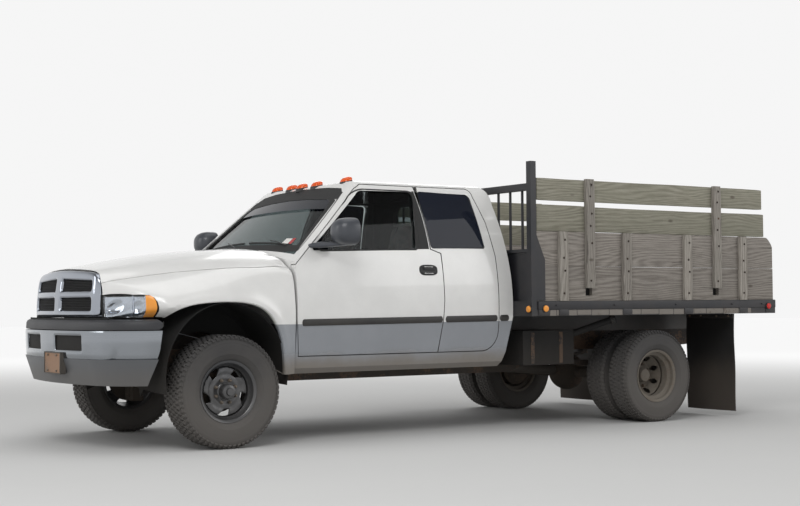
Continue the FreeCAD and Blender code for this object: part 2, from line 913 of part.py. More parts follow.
def hood():
    """The hood: a crowned shell with a turned-down edge, open in front behind the grille."""
    gap, depth = size("seam"), size("grille_depth")
    plan = seam_zone(-gap / 2).common(nose_front(depth))
    plan = plan.common(box_shape((-1000, size("hood_end")), (-SIDE_REACH, SIDE_REACH), (size("lamp_high"), 2000)))
    shell = NOSE.common(plan).cut(NOSE_DEEP)
    brow_low = size("grille_top") - size("grille_rim") + 14
    brow = nose_front(depth).cut(nose_front(depth + 30)).common(nose_volume(3))
    brow = brow.common(box_shape((-1000, -600), (-560, 560), (brow_low, 1400)))
    return shell.fuse(brow).multiFuse(hinge_arms()).removeSplitter()


left_fender = feature("FenderLeft", fender())
keep(left_fender, "fender_left")
keep(across("FenderRight", left_fender), "fender_right")
keep(feature("Hood", hood()), "hood")
keep(feature("Grille", grille()), "grille")
keep(feature("GrilleMesh", grille_mesh()), "grille_mesh")

head_lamp = lamp_region(3, size("lamp_depth")).common(NOSE)
CORNER = box_shape((-1000, -400), (size("lamp_split"), 1000), (0, 2000))
left_head = feature("HeadlampLeft", head_lamp.cut(CORNER))
left_corner = feature("CornerLampLeft", head_lamp.common(CORNER))
lamp_pair = [left_head, left_corner]
lamp_pair += [across("HeadlampRight", left_head), across("CornerLampRight", left_corner)]
keep(together("Headlamps", *lamp_pair), "headlamps")


# The bumper: a wrapped face bar with two air slots, a rub pad on top and a lip below

def bumper_plan(z, inset=0):
    """The bumper's rounded plan at a height, open towards the back, drawn in by an inset."""
    front = size("bumper_front")
    wire = outline(
        plan_view(z),
        (-300, -990 + inset),
        (-560, -978 + inset),
        ((-805 + inset * 0.8, -830 + inset * 0.6), (60 - front + inset, -600)),
        ((inset - front, 0), (60 - front + inset, 600)),
        ((-805 + inset * 0.8, 830 - inset * 0.6), (-560, 978 - inset)),
        (-300, 990 - inset),
    )
    return wire


def bumper_ring(low, high, outer, inner, low_outer=None):
    """A wrapped band of the bumper between two heights; its foot may be drawn in further."""
    foot = outer if low_outer is None else low_outer
    solid = Part.makeLoft([bumper_plan(low, foot), bumper_plan(high, outer)], True, True)
    core = Part.makeLoft([bumper_plan(low - 1, foot + inner), bumper_plan(high + 1, outer + inner)], True, True)
    ring = solid.cut(core)
    end = outline(side_view(-SIDE_REACH), (-470, 860), (-572, 515), (-600, 400), (-1200, 400), (-1200, 860))
    high_end = prism(end, Vector(0, 2 * SIDE_REACH, 0))
    return ring.common(high_end) if high < 850 else ring.common(box_shape((-1200, -452), (-1300, 1300), (0, 1000)))


def bumper_bar():
    """The chrome face bar with two slots and its brackets to the frame."""
    low, high, wall = size("bumper_bottom"), size("bumper_top"), 24
    bar = bumper_ring(low, high, 0, wall)
    for side in (-1, 1):
        slot = (side * 144, side * 537)
        bar = bar.cut(box_shape((-1100, -700), slot, (695, 807)))
        step = box_shape((-1100, -700), (side * 128, side * 553), (682, 820))
        bar = bar.cut(step.cut(Part.makeLoft([bumper_plan(600, 9), bumper_plan(900, 9)], True, True)))
        rail = size("rail_middle")
        half = size("rail_width") / 2
        beside = (side * (rail - half), side * (rail + half))
        arm = box_shape((-845, -800), beside, (490, low + 60))
        reach = box_shape((-945, -845), beside, (low + 4, low + 60))
        inside = Part.makeLoft([bumper_plan(400, wall / 2), bumper_plan(900, wall / 2)], True, True)
        bar = bar.fuse(arm.fuse(reach).common(inside))
    return bar.removeSplitter()


low_form = [bumper_plan(size("valance_bottom"), 60), bumper_plan(size("bumper_bottom"), 0)]
high_form = [bumper_plan(size("bumper_bottom"), 0), bumper_plan(size("bumper_top"), 0)]
BUMPER_FORM = Part.makeLoft(low_form, True, True).fuse(Part.makeLoft(high_form, True, True))

keep(feature("FrontBumper", bumper_bar()), "front_bumper")
pad_ring = bumper_ring(size("bumper_top"), size("pad_top"), 2, 70)
keep(feature("BumperPad", pad_ring), "bumper_pad")
valance_ring = bumper_ring(size("valance_bottom"), size("bumper_bottom"), 0, 24, 60)
keep(feature("FrontValance", valance_ring), "front_valance")
front_face = size("front_reach") - 4
bracket = feature("PlateBracket", box_shape((-front_face, -900), (-40, 290), (545, 690)).cut(BUMPER_FORM))
plate = block("Plate", (at("4 - front_reach"), at("0 - front_reach")), ("-28", "277"), ("525", "677"))
keep(together("PlateHolder", bracket, plate), "front_plate")


# The frame

FRAME_TOP = ((-800, 590), (-420, 690), (380, 690), (560, 620), (2950, 620), (3380, 760), (5285, 760))
FRAME_LOW = ((5285, 640), (4700, 600), (3330, 600), (2900, 430), (620, 430), (420, 560), (-420, 560), (-800, 480))


def rail_wire(y, grow=0):
    """The frame rail's side outline on a plane at y."""
    points = list(FRAME_TOP) + list(FRAME_LOW)
    return outline(side_view(y), points[0], *points[1:], grow=grow)


def frame_rail():
    """The left frame rail: a channel, open towards the middle of the truck."""
    middle, width, wall = size("rail_middle"), size("rail_width"), size("rail_wall")
    inner = middle - width / 2
    solid = prism(rail_wire(inner), Vector(0, width, 0))
    hollow = prism(rail_wire(inner - 5, -wall), Vector(0, width - wall + 5, 0))
    return solid.cut(hollow)


left_rail = feature("FrameRailLeft", frame_rail())
keep(left_rail, "frame_rail_left")
keep(across("FrameRailRight", left_rail), "frame_rail_right")

CROSS_TABLE = (
    # back, low, high, long
    (-700, 525, 585, 100),
    (700, 445, 500, 90),
    (1380, 445, 500, 70),
    (2400, 560, 612, 70),
    (3450, 640, 752, 70),
    (4420, 610, 752, 70),
    (5200, 650, 752, 60),
)
WEB = "rail_middle + rail_width / 2 - rail_wall"
crosses = []
for number, (back, low, high, long) in enumerate(CROSS_TABLE):
    span = (at(f"{back + long / 2}"), at(f"{back - long / 2}"))
    crosses.append(block(f"Cross{number}", span, ("-" + "(" + WEB + ")", WEB), (str(low), str(high))))

MOUNT_TABLE = (700, 1500, 2400)
mounts = []
for number, back in enumerate(MOUNT_TABLE):
    for side in (-1, 1):
        base = (at(str(back)), f"{side} * rail_middle", "620")
        mounts.append(rod(f"CabMount{number}{'LR'[side < 0]}", "45", "cab_floor - 620", base, (0, 0, 1)))
keep(together("Crossmembers", *crosses, *mounts), "crossmembers")


# The bed

sills = []
rub_rails = []
for side, tag in ((1, "Left"), (-1, "Right")):
    low_y = f"{side} * rail_middle - rail_width / 2"
    high_y = f"{side} * rail_middle + rail_width / 2"
    corners = [
        (at("5285"), "rail_low"),
        (at("head_front + head_tube"), "rail_low"),
        (at("head_front + head_tube"), "rail_low - 140"),
        (at("3380"), "760"),
        (at("5285"), "760"),
    ]
    pieces = [prism_pad(f"BedSill{tag}", "XZ_Plane", corners, low_y, high_y)]
    for number, back in enumerate((2700, 2880)):
        spot = (at(str(back)), f"{side} * rail_middle", "620")
        pieces.append(rod(f"BedMount{number}{tag}", "30", "rail_low - 130 - 620", spot, (0, 0, 1)))
    sills.append(fuse(f"Sill{tag}", *pieces))
    spread = ("bed_half - 38", "bed_half") if side > 0 else ("-bed_half", "38 - bed_half")
    span = (at("rear_reach"), at("head_front + head_tube"))
    ledge = ("bed_half - 57.3", "bed_half - 19") if side > 0 else ("19 - bed_half", "57.3 - bed_half")
    web = block(f"RubWeb{tag}", span, spread, ("rail_low", "deck_top"))
    flange = block(f"RubLedge{tag}", span, ledge, ("deck_top - deck_thick", "deck_top"))
    rub_rails.append(fuse(f"RubRail{tag}", web, flange))
crossbars = []
CROSS_BEDS = (2632, 2980, 3330, 3680, 4030, 4380, 4850, 5080, 5290)
for number, back in enumerate(CROSS_BEDS):
    span = (at(f"{back + 25}"), at(f"{back - 25}"))
    level = ("rail_low", "deck_top - deck_thick")
    crossbars.append(block(f"BedCross{number}", span, ("38 - bed_half", "bed_half - 38"), level))
keep(together("BedSills", *sills), "bed_sills")
keep(together("BedCrossbars", *crossbars), "bed_crossbars")
keep(together("RubRails", *rub_rails), "rub_rails")

deck_span = (at("rear_reach"), at("head_front + head_tube"))
deck = block("Deck", deck_span, ("57.3 - bed_half", "bed_half - 57.3"), ("deck_top - deck_thick", "deck_top"))
keep(deck, "deck")

head_pieces = []
HEAD = (at("head_front + head_tube"), at("head_front"))
for side, tag in ((1, "Left"), (-1, "Right")):
    spread = (f"{side} * 1190 - head_tube / 2", f"{side} * 1190 + head_tube / 2")
    head_pieces.append(block(f"HeadPost{tag}", HEAD, spread, ("rail_low", "post_top")))
    plate_span = (at("head_front + head_tube + 95"), at("head_front + head_tube - 1"))
    spread = ("1200", "1206") if side > 0 else ("-1206", "-1200")
    corners = [
        (at("head_front + head_tube - 1"), "deck_top + 4"),
        (at("head_front + head_tube - 1"), "head_sheet_top + 160"),
        (at("head_front + head_tube + 95"), "head_sheet_top - 60"),
        (at("head_front + head_tube + 95"), "deck_top + 4"),
    ]
    head_pieces.append(prism_pad(f"Gusset{tag}", "XZ_Plane", corners, *spread))
INNER = ("-1190 + head_tube / 2 - 1", "1190 - head_tube / 2 + 1")
head_pieces.append(block("HeadTop", HEAD, INNER, ("head_top - head_tube", "head_top")))
head_pieces.append(block("HeadMiddle", HEAD, INNER, ("head_sheet_top", "head_sheet_top + 24")))
head_pieces.append(block("HeadFoot", HEAD, INNER, ("rail_low", "deck_top")))
sheet_span = (at("head_front + head_tube / 2 + 3"), at("head_front + head_tube / 2 - 3"))
head_pieces.append(block("HeadSheet", sheet_span, INNER, ("deck_top - 1", "head_sheet_top + 1")))
BARS = 15
for number in range(BARS):
    base = (at("head_front + head_tube / 2"), f"{(number - (BARS - 1) / 2) * 154}", "head_sheet_top + 20")
    length = "head_top - head_tube - head_sheet_top - 10"
    head_pieces.append(rod(f"HeadBar{number}", "11", length, base, (0, 0, 1)))
keep(fuse("Headboard", *head_pieces), "headboard")


def board(name, y_pair, low, high, front, back, clip=0):
    """One long side board, with its rear top corner cut off where there is a clip."""
    if not clip:
        return block(name, (at(back), at(front)), y_pair, (low, high))
    corners = [
        (at(back), low),
        (at(front), low),
        (at(front), high),
        (at(f"{back} - {clip}"), high),
        (at(back), f"{high} - {clip}"),
    ]
    return prism_pad(name, "XZ_Plane", corners, *y_pair)


BOARD_Y = ("bed_half - 19 - board_thick", "bed_half - 19")
STAKE_Y = ("bed_half - 19", "bed_half - 19 + board_thick")
UPPER = "deck_top + 2 * lower_board + 5"
low_boards = [
    board("LowerBoardOne", BOARD_Y, "deck_top", "deck_top + lower_board", "head_front + head_tube + 3", "5335"),
    board("LowerBoardTwo", BOARD_Y, "deck_top + lower_board + 5", UPPER, "head_front + head_tube + 3", "5335", 84),
]
SHORT_STAKES = (2863, 3549, 4253, 4929)
for number, back in enumerate(SHORT_STAKES):
    span = (at(f"{back} + stake_width / 2"), at(f"{back} - stake_width / 2"))
    low_boards.append(block(f"ShortStake{number}", span, STAKE_Y, ("deck_top", UPPER)))
left_lower = fuse("LowerSideLeft", *low_boards)
rack = [
    board("RackBoardLow", BOARD_Y, "rack_low", "rack_low + rack_board_low", "head_front + head_tube + 18", "5225"),
    board("RackBoardHigh", BOARD_Y, "rack_low + rack_board_low + rack_space", "rack_low + rack_board_low + rack_space + rack_board_high", "head_front + head_tube + 22", "5204"),
]
TALL_STAKES = (3150, 4610)
for number, back in enumerate(TALL_STAKES):
    span = (at(f"{back} + stake_width / 2"), at(f"{back} - stake_width / 2"))
    high = "rack_low + rack_board_low + rack_space + rack_board_high + 8"
    rack.append(block(f"TallStake{number}", span, STAKE_Y, ("1125", high)))
left_side = together("StakeSideLeft", left_lower, fuse("RackLeft", *rack))
keep(left_side, "stake_side_left")
keep(across("StakeSideRight", left_side), "stake_side_right")

flap = block("FlapLeft", (at("4854"), at("4846")), ("610", "1180"), ("46", "rail_low"))
keep(together("MudFlaps", flap, across("FlapRight", flap)), "mud_flaps")

tank = block("Tank", (at("3240"), at("2700")), ("500", "900"), ("500", "780"))
strap_list = [tank]
for number, back in enumerate((2800, 3100)):
    strap_list.append(block(f"TankHanger{number}", (at(f"{back + 20}"), at(f"{back - 20}")), ("rail_middle + rail_width / 2", "520"), ("560", "600")))
neck_from = Vector(station(3225), 860, 740)
neck_way = Vector(-321, 190, 128)
neck = feature("Neck", Part.makeCylinder(28, neck_way.Length - 20, neck_from, neck_way))
cap_from = neck_from + neck_way * (1 - 20 / neck_way.Length)
cap = feature("Cap", Part.makeCylinder(38, 36, cap_from, neck_way))
keep(together("FuelTank", fuse("TankBody", *strap_list, neck), cap), "fuel_tank")


# Axles, springs and wheels

def ring_of(profile, middle):
    """A wheel-like solid: a closed outline of (width, radius) pairs turned about the axle's line."""
    wire = outline(lambda p: Vector(0, p[0], p[1]), profile[0], *profile[1:])
    solid = Part.Face(wire).revolve(Vector(0, 0, 0), Vector(0, 1, 0), 360)
    solid.translate(middle)
    return solid


def facet_ring(profile, steps):
    """A closed outline of (width, radius) pairs turned about the Y axis in flat facets."""
    rings = []
    for number in range(steps):
        turn = 2 * math.pi * number / steps
        rings.append([Vector(radius * math.sin(turn), y, -radius * math.cos(turn)) for y, radius in profile])
    faces = []
    for number in range(steps):
        one, two = rings[number], rings[(number + 1) % steps]
        for spot in range(len(profile)):
            after = (spot + 1) % len(profile)
            corners = [one[spot], one[after], two[after], two[spot], one[spot]]
            faces.append(Part.Face(Part.makePolygon(corners)))
    solid = Part.Solid(Part.Shell(faces))
    if solid.Volume < 0:
        solid.reverse()
    return solid


def tyre(middle, od, width):
    """A tyre with rounded shoulders and open beads."""
    outer, half, steps = od / 2, width / 2, int(size("tyre_steps"))
    # The facets' middles lie nearer the axle than their corners, and must clear the rim
    bead = (size("rim_od") / 2 - 14) / math.cos(math.pi / steps)
    waist = bead + 0.52 * (outer - bead)
    side = (
        # share of the half width, radius
        (0.6, bead),
        (0.7, bead),
        (0.7, bead + 16),
        (0.93, bead + 46),
        (1.0, waist),
        (0.985, outer - 38),
        (0.86, outer - 8),
        (0.45, outer),
    )
    inside = ((-0.84, waist), (-0.66, outer - 26), (0.66, outer - 26), (0.84, waist))
    profile = [(share * half, radius) for share, radius in side]
    profile += [(-share * half, radius) for share, radius in reversed(side)]
    profile += [(share * half, radius) for share, radius in inside]
    solid = facet_ring(profile, steps)
    solid.translate(middle)
    return solid


def rim(middle, width, face, dish, edge):
    """A steel wheel: a flanged barrel with a dished disc."""
    outer, bead, half = size("rim_od") / 2, size("rim_od") / 2 - 14, width / 2
    fit = size("seat_gap")
    lip = half * 0.7 + fit
    barrel = [
        (lip, outer),
        (lip + 9, outer),
        (lip + 9, bead - 12),
        (half * 0.3, bead - 40),
        (-half * 0.3, bead - 40),
        (-lip - 9, bead - 12),
        (-lip - 9, outer),
        (-lip, outer),
        (-lip, bead - fit),
        (-half * 0.58, bead - fit),
        (-half * 0.3, bead - 28),
        (half * 0.3, bead - 28),
        (half * 0.58, bead - fit),
        (lip, bead - fit),
    ]
    disc = [
        (face, 0),
        (face, 110),
        (face + dish * 0.5, 150),
        (face + dish, edge),
        (face + dish - 14, edge),
        (face + dish * 0.5 - 14, 146),
        (face - 14, 106),
        (face - 14, 0),
    ]
    whole = ring_of(barrel, middle).fuse(ring_of(disc, middle))
    return whole


def wheel_holes(middle, count, circle, radius, turn=0):
    """The hand holes of a wheel's disc, as cylinders along the axle's line."""
    tools = []
    for number in range(count):
        angle = math.radians(turn + 360 * number / count)
        base = middle + Vector(circle * math.sin(angle), -200, circle * math.cos(angle))
        tools.append(Part.makeCylinder(radius, 400, base, Vector(0, 1, 0)))
    return tools


def lugs(middle, face, way):
    """Eight lug nuts on the disc's face."""
    nuts = []
    for number in range(8):
        angle = math.radians(22.5 + 45 * number)
        spot = Vector(size("lug_circle") / 2 * math.sin(angle), face, size("lug_circle") / 2 * math.cos(angle))
        nuts.append(Part.makeCylinder(12, 28, middle + spot - Vector(0, 4 * way, 0), Vector(0, way, 0)))
    return nuts


FRONT_MIDDLE = Vector(station(0), size("front_track_half"), size("front_tyre_od") / 2)
front_disc = rim(FRONT_MIDDLE, size("front_tyre_width"), 46, -14, size("rim_od") / 2 - 50)
front_disc = front_disc.cut(Part.makeCompound(wheel_holes(FRONT_MIDDLE, 5, 148, 27)))
front_disc = front_disc.fuse(Part.makeCylinder(62, 92, FRONT_MIDDLE + Vector(0, 40, 0), Vector(0, 1, 0)))
front_disc = front_disc.multiFuse(lugs(FRONT_MIDDLE, 46, 1))
front_wheel = feature("FrontWheelLeft", front_disc)
front_tyre = feature("FrontTyreLeft", tyre(FRONT_MIDDLE, size("front_tyre_od"), size("front_tyre_width")))
keep(front_wheel, "front_wheel_left")
keep(front_tyre, "front_tyre_left")
keep(across("FrontWheelRight", front_wheel), "front_wheel_right")
keep(across("FrontTyreRight", front_tyre), "front_tyre_right")

TWIN = Vector(station(size("wheelbase")), size("twin_middle"), size("rear_tyre_od") / 2)
OUTER_MIDDLE = TWIN + Vector(0, size("twin_spacing") / 2, 0)
INNER_MIDDLE = TWIN - Vector(0, size("twin_spacing") / 2, 0)
rear_tyres = []
for tag, middle in (("Outer", OUTER_MIDDLE), ("Inner", INNER_MIDDLE)):
    rear_tyres.append(feature(f"RearTyre{tag}", tyre(middle, size("rear_tyre_od"), size("rear_tyre_width"))))
face_at = -size("twin_spacing") / 2 + 9
rear_edge = size("rim_od") / 2 - 40
outer_rim = rim(OUTER_MIDDLE, size("rear_tyre_width"), face_at, 96, rear_edge)
inner_rim = rim(INNER_MIDDLE, size("rear_tyre_width"), size("twin_spacing") + face_at - 14, -96, rear_edge)
holes = Part.makeCompound(wheel_holes(OUTER_MIDDLE, 8, 146, 19) + wheel_holes(INNER_MIDDLE, 8, 146, 19))
hub = Part.makeCylinder(56, 215, TWIN + Vector(0, -60, 0), Vector(0, 1, 0))
twin = outer_rim.fuse(inner_rim).cut(holes).fuse(hub).multiFuse(lugs(TWIN, 9, 1))
rear_wheel = feature("RearWheelLeft", twin)
rear_pair = together("RearTyresLeft", *rear_tyres)
keep(rear_wheel, "rear_wheel_left")
keep(rear_pair, "rear_tyres_left")
keep(across("RearWheelRight", rear_wheel), "rear_wheel_right")
keep(across("RearTyresRight", rear_pair), "rear_tyres_right")

FRONT_Z = "front_tyre_od / 2"
REAR_Z = "rear_tyre_od / 2"
column = rod("KnuckleColumn", "52", "230", (at("0"), "kingpin_half", FRONT_Z + " - 115"), (0, 0, 1))
spindle = rod("KnuckleSpindle", "34", "front_track_half + 31.7 - kingpin_half - 20", (at("0"), "kingpin_half + 20", FRONT_Z), (0, 1, 0))
brake = rod("KnuckleBrake", "150", "24", (at("0"), "kingpin_half + 62", FRONT_Z), (0, 1, 0))
knuckle = fuse("KnuckleLeft", column, spindle, brake)
keep(knuckle, "knuckle_left")
keep(across("KnuckleRight", knuckle), "knuckle_right")

axle_tube = rod("FrontTube", "42", "2 * kingpin_half - 2 * 52.6", (at("0"), "52.6 - kingpin_half", FRONT_Z), (0, 1, 0))
front_diff = doc.addObject("Part::Sphere", "FrontDiff")
front_diff.Radius = 140
front_diff.setExpression("Placement.Base.x", text(at("0")))
front_diff.Placement.Base.y = 250
front_diff.setExpression("Placement.Base.z", text(FRONT_Z))
axle_pieces = [axle_tube, front_diff]
for side, tag in ((1, "Left"), (-1, "Right")):
    for place, low in (("Top", FRONT_Z + " + 115.3"), ("Low", FRONT_Z + " - 115.3 - 30")):
        yoke = ("kingpin_half - 130", "kingpin_half + 40") if side > 0 else ("-kingpin_half - 40", "130 - kingpin_half")
        level = (low, low + " + 30")
        axle_pieces.append(block(f"Yoke{tag}{place}", (at("45"), at("-45")), yoke, level))
    back_y = ("kingpin_half - 130", "kingpin_half - 80") if side > 0 else ("80 - kingpin_half", "130 - kingpin_half")
    level = (FRONT_Z + " - 145", FRONT_Z + " + 145")
    axle_pieces.append(block(f"YokeBack{tag}", (at("45"), at("-45")), back_y, level))
    pad_y = ("rail_middle - 45", "rail_middle + 45") if side > 0 else ("-rail_middle - 45", "45 - rail_middle")
    axle_pieces.append(block(f"SpringSeat{tag}", (at("70"), at("-70")), pad_y, (FRONT_Z, FRONT_Z + " + 60")))
keep(fuse("FrontAxle", *axle_pieces), "front_axle")


def spring(back, seat, reach, rise, half_width, y, top):
    """A leaf pack over its axle seat, with a hanger in front and a shackle behind, up to the rail."""
    thick = 58
    leaf = outline(
        side_view(y - half_width),
        (back - reach, seat + rise),
        ((back - reach / 2, seat + rise * 0.25), (back - 70, seat)),
        (back + 70, seat),
        ((back + reach / 2, seat + rise * 0.25), (back + reach, seat + rise)),
        (back + reach, seat + rise + 24),
        ((back + reach / 2, seat + rise * 0.25 + thick * 0.75), (back + 70, seat + thick)),
        (back - 70, seat + thick),
        ((back - reach / 2, seat + rise * 0.25 + thick * 0.75), (back - reach, seat + rise + 24)),
    )
    whole = prism(leaf, Vector(0, 2 * half_width, 0))
    side = (y - half_width, y + half_width)
    for end in (back - reach, back + reach):
        whole = whole.fuse(box_shape((end - 30, end + 30), side, (seat + rise, top)))
    return whole.removeSplitter()


inner_face = size("rail_middle") - size("rail_width") / 2
outer_face = size("rail_middle") + size("rail_width") / 2
solid_rail = prism(rail_wire(inner_face), Vector(0, size("rail_width"), 0))
half_leaf = size("rail_width") / 2
front_seat_z = size("front_tyre_od") / 2 + 60
front_pack = spring(0, front_seat_z, 440, 10, half_leaf, size("rail_middle"), 575).cut(solid_rail)
front_spring = feature("FrontSpringLeft", front_pack)
keep(together("FrontSprings", front_spring, across("FrontSpringRight", front_spring)), "front_springs")
rear_seat_z = size("rear_tyre_od") / 2 + 65
rear_pack = spring(size("wheelbase"), rear_seat_z, 640, 70, half_leaf, outer_face + half_leaf, 700)
rear_spring = feature("RearSpringLeft", rear_pack)
keep(together("RearSprings", rear_spring, across("RearSpringRight", rear_spring)), "rear_springs")

rear_reach_y = "twin_middle - 60.3"
rear_at = at("wheelbase")
rear_pieces = [rod("RearTube", "50", f"2 * ({rear_reach_y})", (rear_at, f"-({rear_reach_y})", REAR_Z), (0, 1, 0))]
rear_diff = doc.addObject("Part::Sphere", "RearDiff")
rear_diff.Radius = 165
rear_diff.setExpression("Placement.Base.x", text(rear_at))
rear_diff.setExpression("Placement.Base.z", text(REAR_Z))
rear_pieces.append(rear_diff)
for side, tag in ((1, "Left"), (-1, "Right")):
    drum_base = "twin_middle - 196" if side > 0 else "86 - twin_middle"
    rear_pieces.append(rod(f"Drum{tag}", "150", "110", (rear_at, drum_base, REAR_Z), (0, 1, 0)))
    seat_y = ("rail_middle + 25", "rail_middle + 115") if side > 0 else ("-rail_middle - 115", "-rail_middle - 25")
    span = (at("wheelbase + 70"), at("wheelbase - 70"))
    rear_pieces.append(block(f"RearSeat{tag}", span, seat_y, (REAR_Z, REAR_Z + " + 65")))
keep(fuse("RearAxle", *rear_pieces), "rear_axle")

# The drive line, cooling and exhaust

engine = block("EngineCase", (at("350"), at("-430")), ("-300", "300"), ("580", "1080"))
feet = block("EngineFeet", (at("60"), at("-60")), ("-rail_middle", "rail_middle"), ("690", "720"))
keep(fuse("Engine", engine, feet), "engine")
gearbox = block("GearboxCase", (at("1450"), at("350")), ("-160", "160"), ("500", "650"))
shaft = doc.addObject("Part::Feature", "Shaft")
shaft_from = Vector(station(1440), 0, 570)
shaft_to = Vector(station(size("wheelbase") - 150), 0, 400)
diff_room = Part.makeSphere(165.3, Vector(station(size("wheelbase")), 0, size("rear_tyre_od") / 2))
shaft.Shape = Part.makeCylinder(42, (shaft_to - shaft_from).Length, shaft_from, shaft_to - shaft_from).cut(diff_room)
keep(fuse("DriveLine", gearbox, shaft), "drive_line")
core = block("CoolerCore", (at("-630"), at("-690")), ("-400", "400"), ("585", "1110"))
tie = block("CoolerTie", (at("-690"), at("-740")), ("-grille_half - seam", "grille_half + seam"), ("940", "1000"))
keep(fuse("Radiator", core, tie), "radiator")
pipe = rod("Pipe", "30", "2850", (at("3250"), "-300", "530"), (1, 0, 0))
muffler = rod("MufflerCan", "85", "700", (at("2250"), "-300", "530"), (1, 0, 0))
keep(fuse("Exhaust", pipe, muffler), "exhaust")

# Inside the cab

dash = prism_pad(
    "Dashboard",
    "XZ_Plane",
    [
        (at("cab_front + cab_wall"), "1010"),
        (at("cab_front + cab_wall"), "1290"),
        (at("cab_front + cab_wall + 120"), "1345"),
        (at("cab_front + cab_wall + 330"), "1335"),
        (at("cab_front + cab_wall + 380"), "1200"),
        (at("cab_front + cab_wall + 300"), "1010"),
    ],
    "-850",
    "850",
)
keep(dash, "dashboard")
front_seat = prism_pad(
    "FrontSeat",
    "XZ_Plane",
    [
        (at("1200"), "cab_floor + floor_thick"),
        (at("1160"), "cab_floor + floor_thick + 210"),
        (at("1650"), "cab_floor + floor_thick + 180"),
        (at("1760"), "1500"),
        (at("1860"), "1500"),
        (at("1810"), "cab_floor + floor_thick + 180"),
        (at("1780"), "cab_floor + floor_thick"),
    ],
    "-650",
    "650",
)
rear_seat = prism_pad(
    "RearSeat",
    "XZ_Plane",
    [
        (at("2060"), "cab_floor + floor_thick"),
        (at("2040"), "cab_floor + floor_thick + 200"),
        (at("2320"), "cab_floor + floor_thick + 180"),
        (at("2360"), "1400"),
        (at("2440"), "1400"),
        (at("2440"), "860"),
        (at("2400"), "cab_floor + floor_thick"),
    ],
    "-650",
    "650",
)
keep(together("Seats", front_seat, rear_seat), "seats")

doc.recompute()
WHEEL_CENTRE = Vector(station(1090), 400, 1275)
AWAY = Vector(-130, 0, 78)
AWAY.normalize()
ring = facet_ring([(-14, 184), (-6, 176), (6, 176), (14, 184), (14, 196), (6, 204), (-6, 204), (-14, 196)], 28)
ring.Placement = FreeCAD.Placement(WHEEL_CENTRE, FreeCAD.Rotation(Vector(0, 1, 0), AWAY))
DASH_FACE = station(size("cab_front") + size("cab_wall") + 355)
run_back = (WHEEL_CENTRE.x - DASH_FACE) / AWAY.x
column_from = WHEEL_CENTRE - AWAY * run_back
stalk = Part.makeCylinder(26, run_back, column_from, AWAY)
boss = Part.makeCylinder(60, 30, WHEEL_CENTRE - AWAY * 15, AWAY)
spoke_one = Part.makeCylinder(12, 380, WHEEL_CENTRE - Vector(0, 190, 0), Vector(0, 1, 0))
down = AWAY.cross(Vector(0, 1, 0))
spoke_two = Part.makeCylinder(12, 190, WHEEL_CENTRE, down)
wheel_shape = ring.multiFuse([stalk, boss, spoke_one, spoke_two])
steering = feature("SteeringWheel", wheel_shape.cut(dash.Shape))
keep(steering, "steering_wheel")

# Small outside pieces

arm_shape = box_shape((640, 700), (900, 1060), (1425, 1468)).cut(cab_section())
head_shape = Part.makeBox(110, 215, 212, Vector(station(905), 1040, 1431))
head_shape = head_shape.makeFillet(26, head_shape.Edges)
reach_arm = box_shape((640, 860), (1045, 1085), (1425, 1468))
mirror = feature("MirrorLeft", head_shape.fuse(reach_arm).fuse(arm_shape).removeSplitter())
keep(mirror, "mirror_left")
keep(across("MirrorRight", mirror), "mirror_right")


ROOF_LAMPS = ((1232, 550, 1985), (1173, 200, 1999), (1150, 0, 2003), (1173, -200, 1999), (1232, -550, 1985))
roof_body = cab_volume()
lamp_list = []
for number, (back, y, top) in enumerate(ROOF_LAMPS):
    shell_lamp = Part.makeBox(90, 150, 90, Vector(station(back + 45), y - 75, top - 90))
    shell_lamp = shell_lamp.makeFillet(18, shell_lamp.Edges)
    lamp_list.append(feature(f"RoofLamp{number}", shell_lamp.cut(roof_body)))
keep(together("RoofLamps", *lamp_list), "roof_lamps")

BED_LAMPS = (
    # name, back, back, y, y, low, high
    ("Marker", "head_front - 24", "head_front", "1166", "1214", "930", "990"),
    ("Side", "2640", "2700", "bed_half", "bed_half + 12", "935", "985"),
    ("Rear", "5212", "5272", "bed_half", "bed_half + 12", "940", "990"),
    ("Tail", "5315", "5335", "960", "1140", "910", "975"),
)
bed_lamp_list = []
for tag, near, far, low_y, high_y, low, high in BED_LAMPS:
    left_lamp = block(f"BedLamp{tag}", (at(far), at(near)), (low_y, high_y), (low, high))
    bed_lamp_list += [left_lamp, across(f"BedLamp{tag}Right", left_lamp)]
keep(together("BedLamps", *bed_lamp_list), "bed_lamps")

doc.recompute()
failed = [obj.Name for obj in doc.Objects if {"Invalid", "Error"} & set(obj.State)]
for obj in FINISHED:
    if obj.Shape.isNull() or not obj.Shape.isValid():
        failed.append(obj.Label)
if failed:
    raise RuntimeError("failed: " + ", ".join(failed))
os.makedirs("parts", exist_ok=True)
for obj in FINISHED:
    obj.Shape.exportStep(f"parts/{obj.Label}.step")
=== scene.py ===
"""Looks of a flatbed pickup truck, built around its packed construction model."""

import logging
import math
from dataclasses import dataclass
from enum import Enum
from typing import Callable, Iterable, Sequence

import bmesh
import bpy
from mathutils import Matrix, Vector
from mathutils.bvhtree import BVHTree
from mathutils.geometry import delaunay_2d_cdt
from mathutils.kdtree import KDTree


